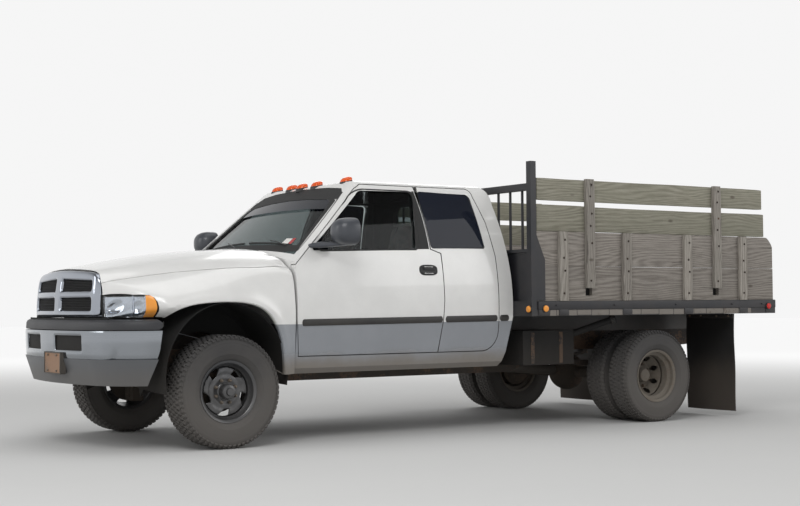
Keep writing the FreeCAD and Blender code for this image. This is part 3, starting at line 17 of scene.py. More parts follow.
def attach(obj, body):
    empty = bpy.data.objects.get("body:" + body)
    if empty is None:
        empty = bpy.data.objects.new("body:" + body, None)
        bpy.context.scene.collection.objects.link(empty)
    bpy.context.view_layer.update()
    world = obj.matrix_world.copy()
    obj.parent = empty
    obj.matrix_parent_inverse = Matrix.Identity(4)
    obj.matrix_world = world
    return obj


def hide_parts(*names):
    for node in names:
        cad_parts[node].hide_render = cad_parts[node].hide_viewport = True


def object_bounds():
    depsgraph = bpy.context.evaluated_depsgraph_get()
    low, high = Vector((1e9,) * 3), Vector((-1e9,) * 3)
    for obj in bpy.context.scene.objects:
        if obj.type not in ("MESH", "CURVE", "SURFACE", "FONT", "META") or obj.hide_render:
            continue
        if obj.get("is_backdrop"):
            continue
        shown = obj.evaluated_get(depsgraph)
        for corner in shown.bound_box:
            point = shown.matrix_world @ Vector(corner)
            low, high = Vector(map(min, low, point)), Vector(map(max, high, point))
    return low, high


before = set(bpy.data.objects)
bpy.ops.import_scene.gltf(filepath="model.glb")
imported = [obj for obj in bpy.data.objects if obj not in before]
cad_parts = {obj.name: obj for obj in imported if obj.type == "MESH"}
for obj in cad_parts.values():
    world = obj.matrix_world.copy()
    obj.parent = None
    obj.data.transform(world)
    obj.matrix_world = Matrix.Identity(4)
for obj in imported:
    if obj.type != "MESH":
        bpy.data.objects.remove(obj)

LOG = logging.getLogger("truck")
Rgb = tuple[float, float, float]
Point = tuple[float, float, float]
Pair = tuple[float, float]
Shape = tuple[list, list]
Tree = bpy.types.NodeTree
Socket = bpy.types.NodeSocket
Piece = bpy.types.Object
FRONT_AXLE = 2.1775


class Side(Enum):
    """The truck's left and right, with the sign that y has there."""

    LEFT = 1
    RIGHT = -1

    @property
    def word(self) -> str:
        """The side's name as node names end with it."""
        return self.name.lower()


class Lie(Enum):
    """How the grain of a board runs."""

    ALONG = ((0.9, 22.0, 22.0), (0.75, 1.5, 3.4))
    UPRIGHT = ((22.0, 22.0, 0.9), (3.4, 1.5, 0.75))


def station(back: float) -> float:
    """Turns a distance behind the front axle into the frame's x.

    Args:
        back: metres behind the front axle.

    Returns:
        The x of that place.
    """
    return FRONT_AXLE - back


# Node trees


def put(tree: Tree, kind: str, inputs: dict | None = None, **settings: object) -> bpy.types.Node:
    """Adds a node, sets it up and links or fills its inputs.

    Args:
        tree: the tree that gets the node.
        kind: the node's type name.
        inputs: a value or a socket for each input's name or number.
        **settings: the node's own properties.

    Returns:
        The new node.
    """
    node = tree.nodes.new(kind)
    for key, value in settings.items():
        setattr(node, key, value)
    for key, value in (inputs or {}).items():
        if isinstance(value, Socket):
            tree.links.new(value, node.inputs[key])
        else:
            node.inputs[key].default_value = value
    return node


def calc(tree: Tree, way: str, one: object, two: object = 0.0, clamp: bool = False) -> Socket:
    """Adds a Math node.

    Args:
        tree: the tree that gets the node.
        way: the operation's name.
        one: first value or socket.
        two: second value or socket.
        clamp: whether the result is kept between 0 and 1.

    Returns:
        The result's socket.
    """
    kind = "ShaderNodeMath"
    return put(tree, kind, {0: one, 1: two}, operation=way, use_clamp=clamp).outputs[0]


def span(
    tree: Tree,
    value: object,
    low: object,
    high: object,
    start: float = 0.0,
    end: float = 1.0,
) -> Socket:
    """Adds a smooth Map Range node.

    Args:
        tree: the tree that gets the node.
        value: what is mapped.
        low: the value that gives start.
        high: the value that gives end.
        start: result at low.
        end: result at high.

    Returns:
        The result's socket.
    """
    inputs = {0: value, 1: low, 2: high, 3: start, 4: end}
    return put(tree, "ShaderNodeMapRange", inputs, interpolation_type="SMOOTHSTEP").outputs[0]


def blend(tree: Tree, share: object, one: object, two: object, way: str = "MIX") -> Socket:
    """Adds a colour Mix node.

    Args:
        tree: the tree that gets the node.
        share: how much of the second colour shows.
        one: first colour.
        two: second colour.
        way: the blend's name.

    Returns:
        The mixed colour's socket.
    """
    inputs = {0: share, 6: rgba(one), 7: rgba(two)}
    return put(tree, "ShaderNodeMix", inputs, data_type="RGBA", blend_type=way).outputs[2]


def rgba(color: object) -> object:
    """Gives a colour its fourth channel, and leaves a socket alone."""
    return (*color, 1.0) if isinstance(color, tuple) and len(color) == 3 else color


def noise(tree: Tree, place: object, scale: object, detail: float = 4.0, rough: float = 0.55) -> Socket:
    """Adds a Noise Texture.

    Args:
        tree: the tree that gets the node.
        place: the socket with the coordinates.
        scale: size of the pattern.
        detail: number of octaves.
        rough: share of the fine octaves.

    Returns:
        The socket with values about one half.
    """
    inputs = {"Vector": place, "Scale": scale, "Detail": detail, "Roughness": rough}
    return put(tree, "ShaderNodeTexNoise", inputs).outputs[0]


def spot(tree: Tree) -> Socket:
    """Gives the socket with the piece's own coordinates."""
    return put(tree, "ShaderNodeTexCoord").outputs["Object"]


def vector(tree: Tree, way: str, one: object, two: object) -> Socket:
    """Adds a Vector Math node, whose second value is a number when the way is SCALE."""
    inputs = {0: one, "Scale" if way == "SCALE" else 1: two}
    return put(tree, "ShaderNodeVectorMath", inputs, operation=way).outputs[0]


def stretched(tree: Tree, place: object, factors: object) -> Socket:
    """Scales coordinates differently along each axis."""
    return vector(tree, "MULTIPLY", place, factors)


def emptied(holder: bpy.types.ID) -> Tree:
    """Turns nodes on for a material or a world, and gives its tree without nodes."""
    holder.use_nodes = True
    holder.node_tree.nodes.clear()
    return holder.node_tree


def grey(tree: Tree, tone: object) -> Socket:
    """Makes a grey of one value."""
    return put(tree, "ShaderNodeCombineColor", {0: tone, 1: tone, 2: tone}).outputs[0]


def parts_of(tree: Tree, place: object) -> bpy.types.bpy_prop_collection:
    """Splits coordinates into x, y and z sockets."""
    return put(tree, "ShaderNodeSeparateXYZ", {0: place}).outputs


# Shared effects


@dataclass(frozen=True)
class Effect:
    """A node group that is built once and then used wherever it is needed."""

    name: str
    takes: tuple[tuple[str, str, object], ...]
    gives: tuple[tuple[str, str], ...]
    fill: Callable[[Tree, dict], dict]
    kind: str = "ShaderNodeTree"

    def tree(self) -> Tree:
        """Finds the group, or builds it with its named sockets.

        Returns:
            The group's tree.
        """
        known = bpy.data.node_groups.get(self.name)
        if known:
            return known
        tree = bpy.data.node_groups.new(self.name, self.kind)
        for name, kind, value in self.takes:
            socket = tree.interface.new_socket(name, in_out="INPUT", socket_type=kind)
            if value is not None:
                socket.default_value = value
        for name, kind in self.gives:
            tree.interface.new_socket(name, in_out="OUTPUT", socket_type=kind)
        start = put(tree, "NodeGroupInput")
        results = self.fill(tree, {socket.name: socket for socket in start.outputs if socket.name})
        put(tree, "NodeGroupOutput", results)
        return tree

    def place(self, tree: Tree, **values: object) -> bpy.types.bpy_prop_collection:
        """Puts the group in a material.

        Args:
            tree: the material's tree.
            **values: a value or socket for each input, with underscores for spaces.

        Returns:
            The group's outputs.
        """
        node = tree.nodes.new("ShaderNodeGroup")
        node.node_tree = self.tree()
        for key, value in values.items():
            socket = node.inputs[key.replace("_", " ")]
            if isinstance(value, Socket):
                tree.links.new(value, socket)
            else:
                socket.default_value = rgba(value) if socket.type == "RGBA" else value
        return node.outputs


FLOAT, COLOR, VECTOR = "NodeSocketFloat", "NodeSocketColor", "NodeSocketVector"


def fill_dust(tree: Tree, at: dict) -> dict:
    """Fills the road dust group: thick low down, patchy above, speckled where mud flew."""
    place = spot(tree)
    height = parts_of(tree, place)[2]
    fade = span(tree, height, at["Thick Below"], at["Gone Above"], 1.0, 0.0)
    cloud = noise(tree, place, 2.6, 7.0, 0.62)
    fleck = noise(tree, place, 70.0, 3.0, 0.7)
    both = calc(tree, "ADD", calc(tree, "MULTIPLY", fade, 0.8), calc(tree, "MULTIPLY", cloud, 0.55))
    patch = span(tree, both, 0.42, 1.05)
    mud = calc(tree, "MULTIPLY", span(tree, fleck, 0.58, 0.68), calc(tree, "MULTIPLY", fade, 0.7))
    film = calc(tree, "MULTIPLY", calc(tree, "MAXIMUM", patch, mud), at["Amount"], clamp=True)
    tint = blend(tree, calc(tree, "MULTIPLY", cloud, 0.55), at["Dust"], (0.12, 0.095, 0.07))
    color = blend(tree, film, at["Color"], tint)
    matt = calc(tree, "ADD", at["Roughness"], calc(tree, "MULTIPLY", film, 0.45), clamp=True)
    crust = calc(tree, "MULTIPLY", calc(tree, "ADD", mud, calc(tree, "MULTIPLY", fleck, 0.3)), at["Amount"])
    return {"Color": color, "Roughness": matt, "Crust": crust, "Film": film}


DUST = Effect(
    "Road Dust",
    (
        ("Color", COLOR, (0.5, 0.5, 0.5, 1)),
        ("Roughness", FLOAT, 0.5),
        ("Dust", COLOR, (0.33, 0.28, 0.22, 1)),
        ("Thick Below", FLOAT, 0.3),
        ("Gone Above", FLOAT, 1.0),
        ("Amount", FLOAT, 0.5),
    ),
    (("Color", COLOR), ("Roughness", FLOAT), ("Crust", FLOAT), ("Film", FLOAT)),
    fill_dust,
)


def fill_wear(tree: Tree, at: dict) -> dict:
    """Fills the wear group: chips and scuffs that bare what lies under a coat."""
    place = stretched(tree, spot(tree), at["Stretch"])
    broad = noise(tree, place, 4.0, 6.0, 0.66)
    fine = noise(tree, place, 46.0, 5.0, 0.7)
    both = calc(tree, "ADD", calc(tree, "MULTIPLY", broad, 0.6), calc(tree, "MULTIPLY", fine, 0.4))
    edge = calc(tree, "SUBTRACT", 0.72, calc(tree, "MULTIPLY", at["Amount"], 0.34))
    mask = span(tree, both, edge, calc(tree, "ADD", edge, 0.035))
    shade = blend(tree, span(tree, broad, 0.35, 0.7), at["Color"], blend(tree, 0.5, at["Color"], at["Bare"]))
    soft = blend(tree, at["Amount"], at["Color"], shade)
    return {
        "Color": blend(tree, mask, soft, at["Bare"]), "Mask": mask, "Dent": calc(tree, "MULTIPLY", mask, -0.4)
    }


WEAR = Effect(
    "Coat Wear",
    (
        ("Color", COLOR, (0.1, 0.1, 0.1, 1)),
        ("Bare", COLOR, (0.25, 0.16, 0.1, 1)),
        ("Stretch", VECTOR, (1, 1, 1)),
        ("Amount", FLOAT, 0.2),
    ),
    (("Color", COLOR), ("Mask", FLOAT), ("Dent", FLOAT)),
    fill_wear,
)


def fill_grain(tree: Tree, at: dict) -> dict:
    """Fills the wood grain group: arched rings, fibres, checks and knots, shifted for each board."""
    whole = vector(tree, "ADD", spot(tree), at["Shift"])
    place = stretched(tree, whole, at["Stretch"])
    drift = noise(tree, stretched(tree, whole, at["Drift"]), 1.0, 2.0, 0.45)
    x, y, z = parts_of(tree, place)
    across = calc(tree, "ADD", x, calc(tree, "ADD", y, z))
    fine = noise(tree, place, 2.2, 3.0, 0.5)
    rough = calc(tree, "ADD", calc(tree, "MULTIPLY", across, 11.0), calc(tree, "MULTIPLY", fine, 2.6))
    turns = calc(tree, "ADD", calc(tree, "MULTIPLY", drift, 80.0), rough)
    rings = calc(tree, "ADD", calc(tree, "MULTIPLY", calc(tree, "SINE", turns), 0.5), 0.5)
    fibre = noise(tree, place, 7.5, 8.0, 0.74)
    cracks = span(tree, noise(tree, stretched(tree, place, (0.6, 1.0, 1.0)), 2.4, 5.0, 0.6), 0.655, 0.69)
    inputs = {"Vector": stretched(tree, whole, (2.1, 3.0, 4.6)), "Scale": 1.1}
    knot = put(tree, "ShaderNodeTexVoronoi", inputs).outputs["Distance"]
    knots = span(tree, knot, 0.03, 0.1, 1.0, 0.0)
    tone = calc(tree, "ADD", calc(tree, "MULTIPLY", rings, 0.17), calc(tree, "MULTIPLY", fibre, 0.9))
    color = blend(tree, span(tree, tone, 0.26, 0.76), at["Dark"], at["Light"])
    stain = span(tree, noise(tree, whole, 1.7, 5.0, 0.6), 0.42, 0.7)
    color = blend(tree, calc(tree, "MULTIPLY", stain, 0.35), color, at["Stain"])
    color = blend(tree, calc(tree, "MULTIPLY", knots, 0.7), color, (0.08, 0.06, 0.045))
    color = blend(tree, calc(tree, "MULTIPLY", cracks, 0.75), color, (0.045, 0.038, 0.032))
    height = calc(tree, "SUBTRACT", tone, calc(tree, "MULTIPLY", cracks, 1.2))
    return {"Color": color, "Height": height, "Checks": cracks}


GRAIN = Effect(
    "Wood Grain",
    (
        ("Light", COLOR, (0.5, 0.46, 0.4, 1)),
        ("Dark", COLOR, (0.2, 0.17, 0.14, 1)),
        ("Stain", COLOR, (0.25, 0.25, 0.2, 1)),
        ("Stretch", VECTOR, (1.6, 22, 22)),
        ("Drift", VECTOR, (0.8, 2.6, 2.6)),
        ("Shift", VECTOR, (0, 0, 0)),
    ),
    (("Color", COLOR), ("Height", FLOAT), ("Checks", FLOAT)),
    fill_grain,
)


def fill_grit(tree: Tree, at: dict) -> dict:
    """Fills the grit group: the fine texture of moulded, cast or rolled surfaces, and its tone."""
    place = spot(tree)
    fine = noise(tree, place, at["Scale"], 3.0, 0.6)
    slow = noise(tree, place, 3.1, 5.0, 0.6)
    dark = blend(tree, 1.0, at["Color"], (0.93, 0.93, 0.93), "MULTIPLY")
    color = blend(tree, span(tree, slow, 0.32, 0.72), dark, at["Color"])
    sway = calc(tree, "MULTIPLY", calc(tree, "SUBTRACT", slow, 0.5), 0.22)
    shine = calc(tree, "ADD", at["Roughness"], sway, clamp=True)
    return {"Color": color, "Roughness": shine, "Height": fine}


GRIT = Effect(
    "Surface Grit",
    (("Color", COLOR, (0.5, 0.5, 0.5, 1)), ("Roughness", FLOAT, 0.5), ("Scale", FLOAT, 180.0)),
    (("Color", COLOR), ("Roughness", FLOAT), ("Height", FLOAT)),
    fill_grit,
)


# Finishes


@dataclass(frozen=True)
class Finish:
    """A hard surface: its coat, the wear of it and the dust on it."""

    name: str
    color: Rgb
    roughness: float = 0.5
    metallic: float = 0.0
    coat: float = 0.0
    grit: float = 180.0
    bump: float = 0.15
    wear: float = 0.0
    bare: Rgb = (0.22, 0.13, 0.08)
    stretch: Point = (1.0, 1.0, 1.0)
    dust: float = 0.35
    dust_color: Rgb = (0.33, 0.285, 0.23)
    thick: float = 0.35
    gone: float = 1.15

    def coat_color(self, tree: Tree) -> object:
        """Gives the clean colour of the surface.

        Args:
            tree: the material's tree.

        Returns:
            A colour or a socket.
        """
        return self.color

    def relief(self, tree: Tree) -> object:
        """Gives a coarser relief under the grit, or nothing."""
        return None

    def extras(self, tree: Tree, shader: bpy.types.Node) -> None:
        """Sets what only this kind of finish has on its shader."""

    def material(self) -> bpy.types.Material:
        """Finds the finish's material, or builds it.

        Returns:
            The material.
        """
        known = bpy.data.materials.get(self.name)
        if known:
            return known
        made = bpy.data.materials.new(self.name)
        tree = emptied(made)
        grit = GRIT.place(tree, Color=self.coat_color(tree), Roughness=self.roughness, Scale=self.grit)
        color, dent = grit["Color"], 0.0
        if self.wear:
            worn = WEAR.place(tree, Color=color, Bare=self.bare, Stretch=self.stretch, Amount=self.wear)
            color, dent = worn["Color"], worn["Dent"]
        dust = DUST.place(
            tree,
            Color=color,
            Roughness=grit["Roughness"],
            Dust=self.dust_color,
            Thick_Below=self.thick,
            Gone_Above=self.gone,
            Amount=self.dust,
        )
        height = calc(tree, "ADD", calc(tree, "ADD", grit["Height"], dent), dust["Crust"])
        form = self.relief(tree)
        if form is not None:
            height = calc(tree, "ADD", height, form)
        bump = put(tree, "ShaderNodeBump", {"Strength": self.bump, "Distance": 0.002, "Height": height})
        shader = put(
            tree, "ShaderNodeBsdfPrincipled", {"Base Color": dust["Color"], "Roughness": dust["Roughness"]}
        )
        shader.inputs["Metallic"].default_value = self.metallic
        if self.metallic > 0.5:
            clean = calc(tree, "SUBTRACT", 1.0, calc(tree, "MULTIPLY", dust["Film"], 0.85), clamp=True)
            tree.links.new(calc(tree, "MULTIPLY", clean, self.metallic), shader.inputs["Metallic"])
        shader.inputs["Coat Weight"].default_value = self.coat
        shader.inputs["Coat Roughness"].default_value = 0.08
        tree.links.new(bump.outputs[0], shader.inputs["Normal"])
        self.extras(tree, shader)
        put(tree, "ShaderNodeOutputMaterial", {"Surface": shader.outputs[0]})
        made.diffuse_color = (*self.color, 1.0)
        return made


@dataclass(frozen=True)
class BodyPaint(Finish):
    """White above, silver below a line along the side, with trim colours on faces that look into the cab."""

    lower: Rgb = (0.27, 0.285, 0.31)
    line: float = 0.866
    trim: Rgb = (0.115, 0.11, 0.108)
    middle: Point = (0.72, 0.0, 1.22)

    def coat_color(self, tree: Tree) -> object:
        """Splits the paint by height, and gives the inner faces the cab's trim colour."""
        axes = put(tree, "ShaderNodeTexCoord").outputs
        place = axes["Object"]
        x, _, z = parts_of(tree, place)
        nose = span(tree, x, FRONT_AXLE + 0.28, FRONT_AXLE + 0.3, 0.0, 1.0)
        low = calc(tree, "LESS_THAN", z, self.line)
        paint = blend(
            tree, calc(tree, "MULTIPLY", low, calc(tree, "SUBTRACT", 1.0, nose)), self.color, self.lower
        )
        away = vector(tree, "SUBTRACT", place, self.middle)
        inputs = {0: away, 1: axes["Normal"]}
        facing = put(tree, "ShaderNodeVectorMath", inputs, operation="DOT_PRODUCT").outputs["Value"]
        behind = calc(tree, "LESS_THAN", x, FRONT_AXLE - 0.45)
        inner = calc(tree, "MULTIPLY", calc(tree, "LESS_THAN", facing, 0.02), behind)
        return blend(tree, inner, paint, self.trim)

    def extras(self, tree: Tree, shader: bpy.types.Node) -> None:
        """Gives the paint its clear coat's polish."""
        shader.inputs["Coat Roughness"].default_value = 0.04


@dataclass(frozen=True)
class Timber(Finish):
    """Weathered wood with its grain along a board, different from board to board."""

    dark: Rgb = (0.17, 0.145, 0.12)
    stain: Rgb = (0.2, 0.2, 0.16)
    lie: Lie = Lie.ALONG
    cell: Point = (50.0, 2.0, 50.0)
    joints: tuple[float, ...] = ()

    def board(self, tree: Tree) -> tuple[Socket, Socket]:
        """Numbers the boards by where they lie.

        Args:
            tree: the material's tree.

        Returns:
            A random shift and a random value for each board.
        """
        x, y, z = parts_of(tree, spot(tree))
        cells = [
            calc(tree, "FLOOR", calc(tree, "DIVIDE", value, size))
            for value, size in zip((x, y, z), self.cell)
        ]
        for joint in self.joints:
            cells[2] = calc(tree, "ADD", cells[2], calc(tree, "GREATER_THAN", z, joint))
        number = put(tree, "ShaderNodeCombineXYZ", dict(enumerate(cells))).outputs[0]
        found = put(tree, "ShaderNodeTexWhiteNoise", {"Vector": number}).outputs
        return vector(tree, "SCALE", found["Color"], 9.0), found["Value"]

    def grain(self, tree: Tree) -> bpy.types.bpy_prop_collection:
        """Places the grain group for this wood."""
        shift, _ = self.board(tree)
        stretch, drift = self.lie.value
        tones = {"Light": self.color, "Dark": self.dark, "Stain": self.stain}
        return GRAIN.place(tree, **tones, Stretch=stretch, Drift=drift, Shift=shift)

    def coat_color(self, tree: Tree) -> object:
        """Colours the grain, a little lighter or darker on each board."""
        _, value = self.board(tree)
        color = self.grain(tree)["Color"]
        tone = span(tree, value, 0.0, 1.0, 0.82, 1.08)
        return blend(tree, 1.0, color, grey(tree, tone), "MULTIPLY")

    def relief(self, tree: Tree) -> object:
        """Raises the hard rings and opens the checks."""
        return calc(tree, "MULTIPLY", self.grain(tree)["Height"], 2.2)


@dataclass(frozen=True)
class Fabric(Finish):
    """Woven cloth with two yarns."""

    second: Rgb = (0.3, 0.24, 0.23)
    threads: float = 420.0

    def coat_color(self, tree: Tree) -> object:
        """Mixes the yarns' colours in broad soft patches."""
        place = spot(tree)
        return blend(tree, span(tree, noise(tree, place, 26.0, 4.0), 0.4, 0.62), self.color, self.second)

    def relief(self, tree: Tree) -> object:
        """Crosses two bands of yarn."""
        place = spot(tree)
        one = put(
            tree, "ShaderNodeTexWave", {"Vector": place, "Scale": self.threads}, bands_direction="Y"
        ).outputs[1]
        two = put(
            tree, "ShaderNodeTexWave", {"Vector": place, "Scale": self.threads}, bands_direction="Z"
        ).outputs[1]
        return calc(tree, "ADD", one, two)

    def extras(self, tree: Tree, shader: bpy.types.Node) -> None:
        """Gives the cloth its sheen."""
        shader.inputs["Sheen Weight"].default_value = 0.35


@dataclass(frozen=True)
class Glass(Finish):
    """Clear or tinted glass with a light film of dust."""

    clear: float = 1.0
    film: float = 0.05
    bend: float = 1.45

    def material(self) -> bpy.types.Material:
        """Finds the glass's material, or builds it.

        Returns:
            The material.
        """
        known = bpy.data.materials.get(self.name)
        if known:
            return known
        made = bpy.data.materials.new(self.name)
        tree = emptied(made)
        place = spot(tree)
        smear = noise(tree, place, 5.0, 6.0, 0.65)
        film = span(tree, smear, 0.42, 0.8, self.film * 0.3, self.film)
        shine = calc(tree, "ADD", self.roughness, film)
        color = blend(tree, film, self.color, (0.5, 0.47, 0.42))
        shader = put(
            tree, "ShaderNodeBsdfPrincipled", {"Base Color": color, "Roughness": shine, "IOR": self.bend}
        )
        shader.inputs["Transmission Weight"].default_value = self.clear
        shader.inputs["Alpha"].default_value = 1.0
        put(tree, "ShaderNodeOutputMaterial", {"Surface": shader.outputs[0]})
        made.diffuse_color = (*self.color, 0.4)
        return made


# Meshes


def keep(name: str, mesh: bpy.types.Mesh, finish: Finish, angle: float = 35.0) -> Piece:
    """Makes an object at the origin from a mesh, smooth but for its sharp edges.

    Args:
        name: the piece's name.
        mesh: its mesh, in the frame's metres.
        finish: what its surface is.
        angle: edges that turn by more degrees stay sharp.

    Returns:
        The piece.
    """
    work = bmesh.new()
    work.from_mesh(mesh)
    bmesh.ops.remove_doubles(work, verts=work.verts, dist=0.00002)
    bmesh.ops.recalc_face_normals(work, faces=work.faces)
    for face in work.faces:
        face.smooth = True
    for edge in work.edges:
        edge.smooth = len(edge.link_faces) != 2 or edge.calc_face_angle(0.0) < math.radians(angle)
    work.to_mesh(mesh)
    work.free()
    mesh.materials.clear()
    mesh.materials.append(finish.material())
    return linked(name, mesh)


def linked(name: str, data: bpy.types.ID | None) -> Piece:
    """Makes an object of a mesh, a lamp or a camera, and puts it in the scene."""
    made = bpy.data.objects.new(name, data)
    bpy.context.collection.objects.link(made)
    return made


def built(
    name: str,
    points: Sequence[Sequence[float]],
    faces: Sequence[Sequence[int]],
    finish: Finish,
    angle: float = 35.0,
) -> Piece:
    """Makes a piece from points and faces."""
    mesh = bpy.data.meshes.new(name)
    mesh.from_pydata([tuple(point) for point in points], [], [tuple(face) for face in faces])
    return keep(name, mesh, finish, angle)


def ride(piece: Piece, body: str, slot: str, *nodes: str) -> Piece:
    """Hangs a piece on its body and hides the nodes that it stands for.

    Args:
        piece: the finished piece.
        body: the CAD body that it moves with.
        slot: the record's material slot; not used.
        *nodes: CAD nodes that it replaces.

    Returns:
        The same piece.
    """
    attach(piece, body)
    if nodes:
        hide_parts(*nodes)
    LOG.info("piece %s on %s, %d faces", piece.name, body, len(piece.data.polygons))
    return piece


def rings_to_faces(count: int, size: int, shut: bool, loop: bool) -> list[tuple[int, ...]]:
    """Joins rings of points by quads.

    Args:
        count: number of rings.
        size: points in a ring.
        shut: whether the last ring joins the first.
        loop: whether each ring is closed.

    Returns:
        The faces' corners.
    """
    faces = []
    for one in range(count if shut else count - 1):
        two = (one + 1) % count
        for spot_at in range(size if loop else size - 1):
            after = (spot_at + 1) % size
            faces.append((one * size + spot_at, one * size + after, two * size + after, two * size + spot_at))
    return faces


def lathe(profile: Sequence[Pair], centre: Point, steps: int, shut: bool = True) -> Shape:
    """Turns (y, radius) pairs about a line along y.

    Args:
        profile: the outline, y measured from the centre.
        centre: a point on the line.
        steps: facets round the turn.
        shut: whether the outline closes on itself.

    Returns:
        Points and faces.
    """
    points = []
    for number in range(steps):
        turn = 2 * math.pi * number / steps
        for y, radius in profile:
            points.append(
                (centre[0] + radius * math.sin(turn), centre[1] + y, centre[2] - radius * math.cos(turn))
            )
    return points, rings_to_faces(steps, len(profile), True, shut)


def loft(rings: Sequence[Sequence[Sequence[float]]], capped: bool = True) -> Shape:
    """Joins closed rings of points along their order.

    Args:
        rings: rings with the same number of points.
        capped: whether the first and last ring get a face.

    Returns:
        Points and faces.
    """
    size = len(rings[0])
    points = [tuple(point) for ring in rings for point in ring]
    faces = rings_to_faces(len(rings), size, False, True)
    if capped:
        faces.append(tuple(reversed(range(size))))
        faces.append(tuple(range(len(points) - size, len(points))))
    return points, faces


def circle(radius: float, height: float, steps: int) -> list[Point]:
    """Gives a level ring of points about the z axis."""
    turns = [math.tau * number / steps for number in range(steps)]
    return [(radius * math.cos(turn), radius * math.sin(turn), height) for turn in turns]


def oval(steps: int, across: float, over: float) -> list[Pair]:
    """Gives a squarish unit oval, the squarer in each direction the lower its power.

    Args:
        steps: number of points.
        across: power of the first coordinate.
        over: power of the second.

    Returns:
        The points in order.
    """
    result = []
    for number in range(steps):
        cos, sin = math.cos(math.tau * number / steps), math.sin(math.tau * number / steps)
        result.append((math.copysign(abs(cos) ** across, cos), math.copysign(abs(sin) ** over, sin)))
    return result


def read_off(table: Sequence[Pair], value: float, soft: bool = False) -> float:
    """Reads a value between the rows of a table, and holds its ends.

    Args:
        table: rows of key and result, keys rising.
        value: the key.
        soft: whether it eases in and out between rows.

    Returns:
        The result.
    """
    for (low, one), (high, two) in zip(table, table[1:]):
        if value <= high:
            share = max(0.0, (value - low) / (high - low))
            return one + (two - one) * (3 * share ** 2 - 2 * share ** 3 if soft else share)
    return table[-1][1]


def slab(outline: Sequence[Point], push: Point) -> Shape:
    """Thickens a flat outline by a vector."""
    shift = Vector(push)
    return loft([outline, [tuple(Vector(point) + shift) for point in outline]])


def brick(low: Point, high: Point, radius: float = 0.0, steps: int = 2) -> Shape:
    """A box with rounded edges between two corners.

    Args:
        low: lowest corner.
        high: highest corner.
        radius: the edges' radius.
        steps: segments of each rounded edge.

    Returns:
        Points and faces.
    """
    work = bmesh.new()
    bmesh.ops.create_cube(work, size=1.0)
    for vert in work.verts:
        vert.co = Vector([lo + (hi - lo) * (value + 0.5) for lo, hi, value in zip(low, high, vert.co)])
    if radius:
        bmesh.ops.bevel(work, geom=work.edges[:], offset=radius, segments=steps, profile=0.5, affect="EDGES")
    return unpack(work)


def unpack(work: bmesh.types.BMesh) -> Shape:
    """Reads points and faces out of a work mesh, and frees it."""
    work.verts.index_update()
    points = [tuple(vert.co) for vert in work.verts]
    faces = [tuple(vert.index for vert in face.verts) for face in work.faces]
    work.free()
    return points, faces


def merged(*shapes: Shape) -> Shape:
    """Puts several shapes' points and faces in one list each."""
    points: list = []
    faces: list = []
    for some_points, some_faces in shapes:
        start = len(points)
        points += some_points
        faces += [tuple(start + number for number in face) for face in some_faces]
    return points, faces


def mirrored(shape: Shape, side: Side) -> Shape:
    """Gives a left shape for a side: as it is, or mirrored to the right."""
    points, faces = shape
    return [(x, y * side.value, z) for x, y, z in points], faces


def rounded(corners: Sequence[Pair], radius: float, steps: int = 5) -> list[Pair]:
    """Rounds the corners of a flat outline.

    Args:
        corners: its corners in order.
        radius: the rounding.
        steps: points on each round.

    Returns:
        The rounded outline.
    """
    result = []
    for number, corner in enumerate(corners):
        here = Vector(corner)
        before = Vector(corners[number - 1]) - here
        after = Vector(corners[(number + 1) % len(corners)]) - here
        reach = min(radius, before.length * 0.45, after.length * 0.45)
        start, end = here + before.normalized() * reach, here + after.normalized() * reach
        for step in range(steps + 1):
            share = step / steps
            spot_at = start.lerp(here, share).lerp(here.lerp(end, share), share)
            result.append((spot_at.x, spot_at.y))
    return result


# Geometry Nodes


GEOMETRY, INTEGER = "NodeSocketGeometry", "NodeSocketInt"
OBJECT, MATERIAL = "NodeSocketObject", "NodeSocketMaterial"


def finished(tree: Tree, shape: object, finish: object) -> dict:
    """Makes a group's instances real and gives them their finish, as its result."""
    real = put(tree, "GeometryNodeRealizeInstances", {0: shape}).outputs[0]
    return {
        "Geometry": put(tree, "GeometryNodeSetMaterial", {"Geometry": real, "Material": finish}).outputs[0]
    }


def fill_repeat(tree: Tree, at: dict) -> dict:
    """Fills the group that puts one small shape on every point of a carrier."""
    info = put(tree, "GeometryNodeObjectInfo", {"Object": at["Piece"]}, transform_space="ORIGINAL").outputs
    facing, along, grow = (
        put(tree, "GeometryNodeInputNamedAttribute", {"Name": label}, data_type="FLOAT_VECTOR").outputs[0]
        for label in ("facing", "along", "grow")
    )
    axes = {"Primary Axis": facing, "Secondary Axis": along}
    turn = put(tree, "FunctionNodeAxesToRotation", axes, primary_axis="Z", secondary_axis="X").outputs[0]
    spin = put(tree, "FunctionNodeRandomValue", {"Seed": at["Seed"]}, data_type="FLOAT").outputs[1]
    amount = calc(tree, "MULTIPLY", calc(tree, "SUBTRACT", spin, 0.5), at["Turn Jitter"])
    twist = {"Rotation": turn, "Rotate By": put(tree, "ShaderNodeCombineXYZ", {2: amount}).outputs[0]}
    turned = put(tree, "FunctionNodeRotateRotation", twist, rotation_space="LOCAL").outputs[0]
    scale = vector(tree, "SCALE", grow, at["Size"])
    dots = put(tree, "GeometryNodeMeshToPoints", {"Mesh": at["Geometry"]}).outputs[0]
    inputs = {"Points": dots, "Instance": info["Geometry"], "Rotation": turned, "Scale": scale}
    return finished(tree, put(tree, "GeometryNodeInstanceOnPoints", inputs).outputs[0], at["Finish"])


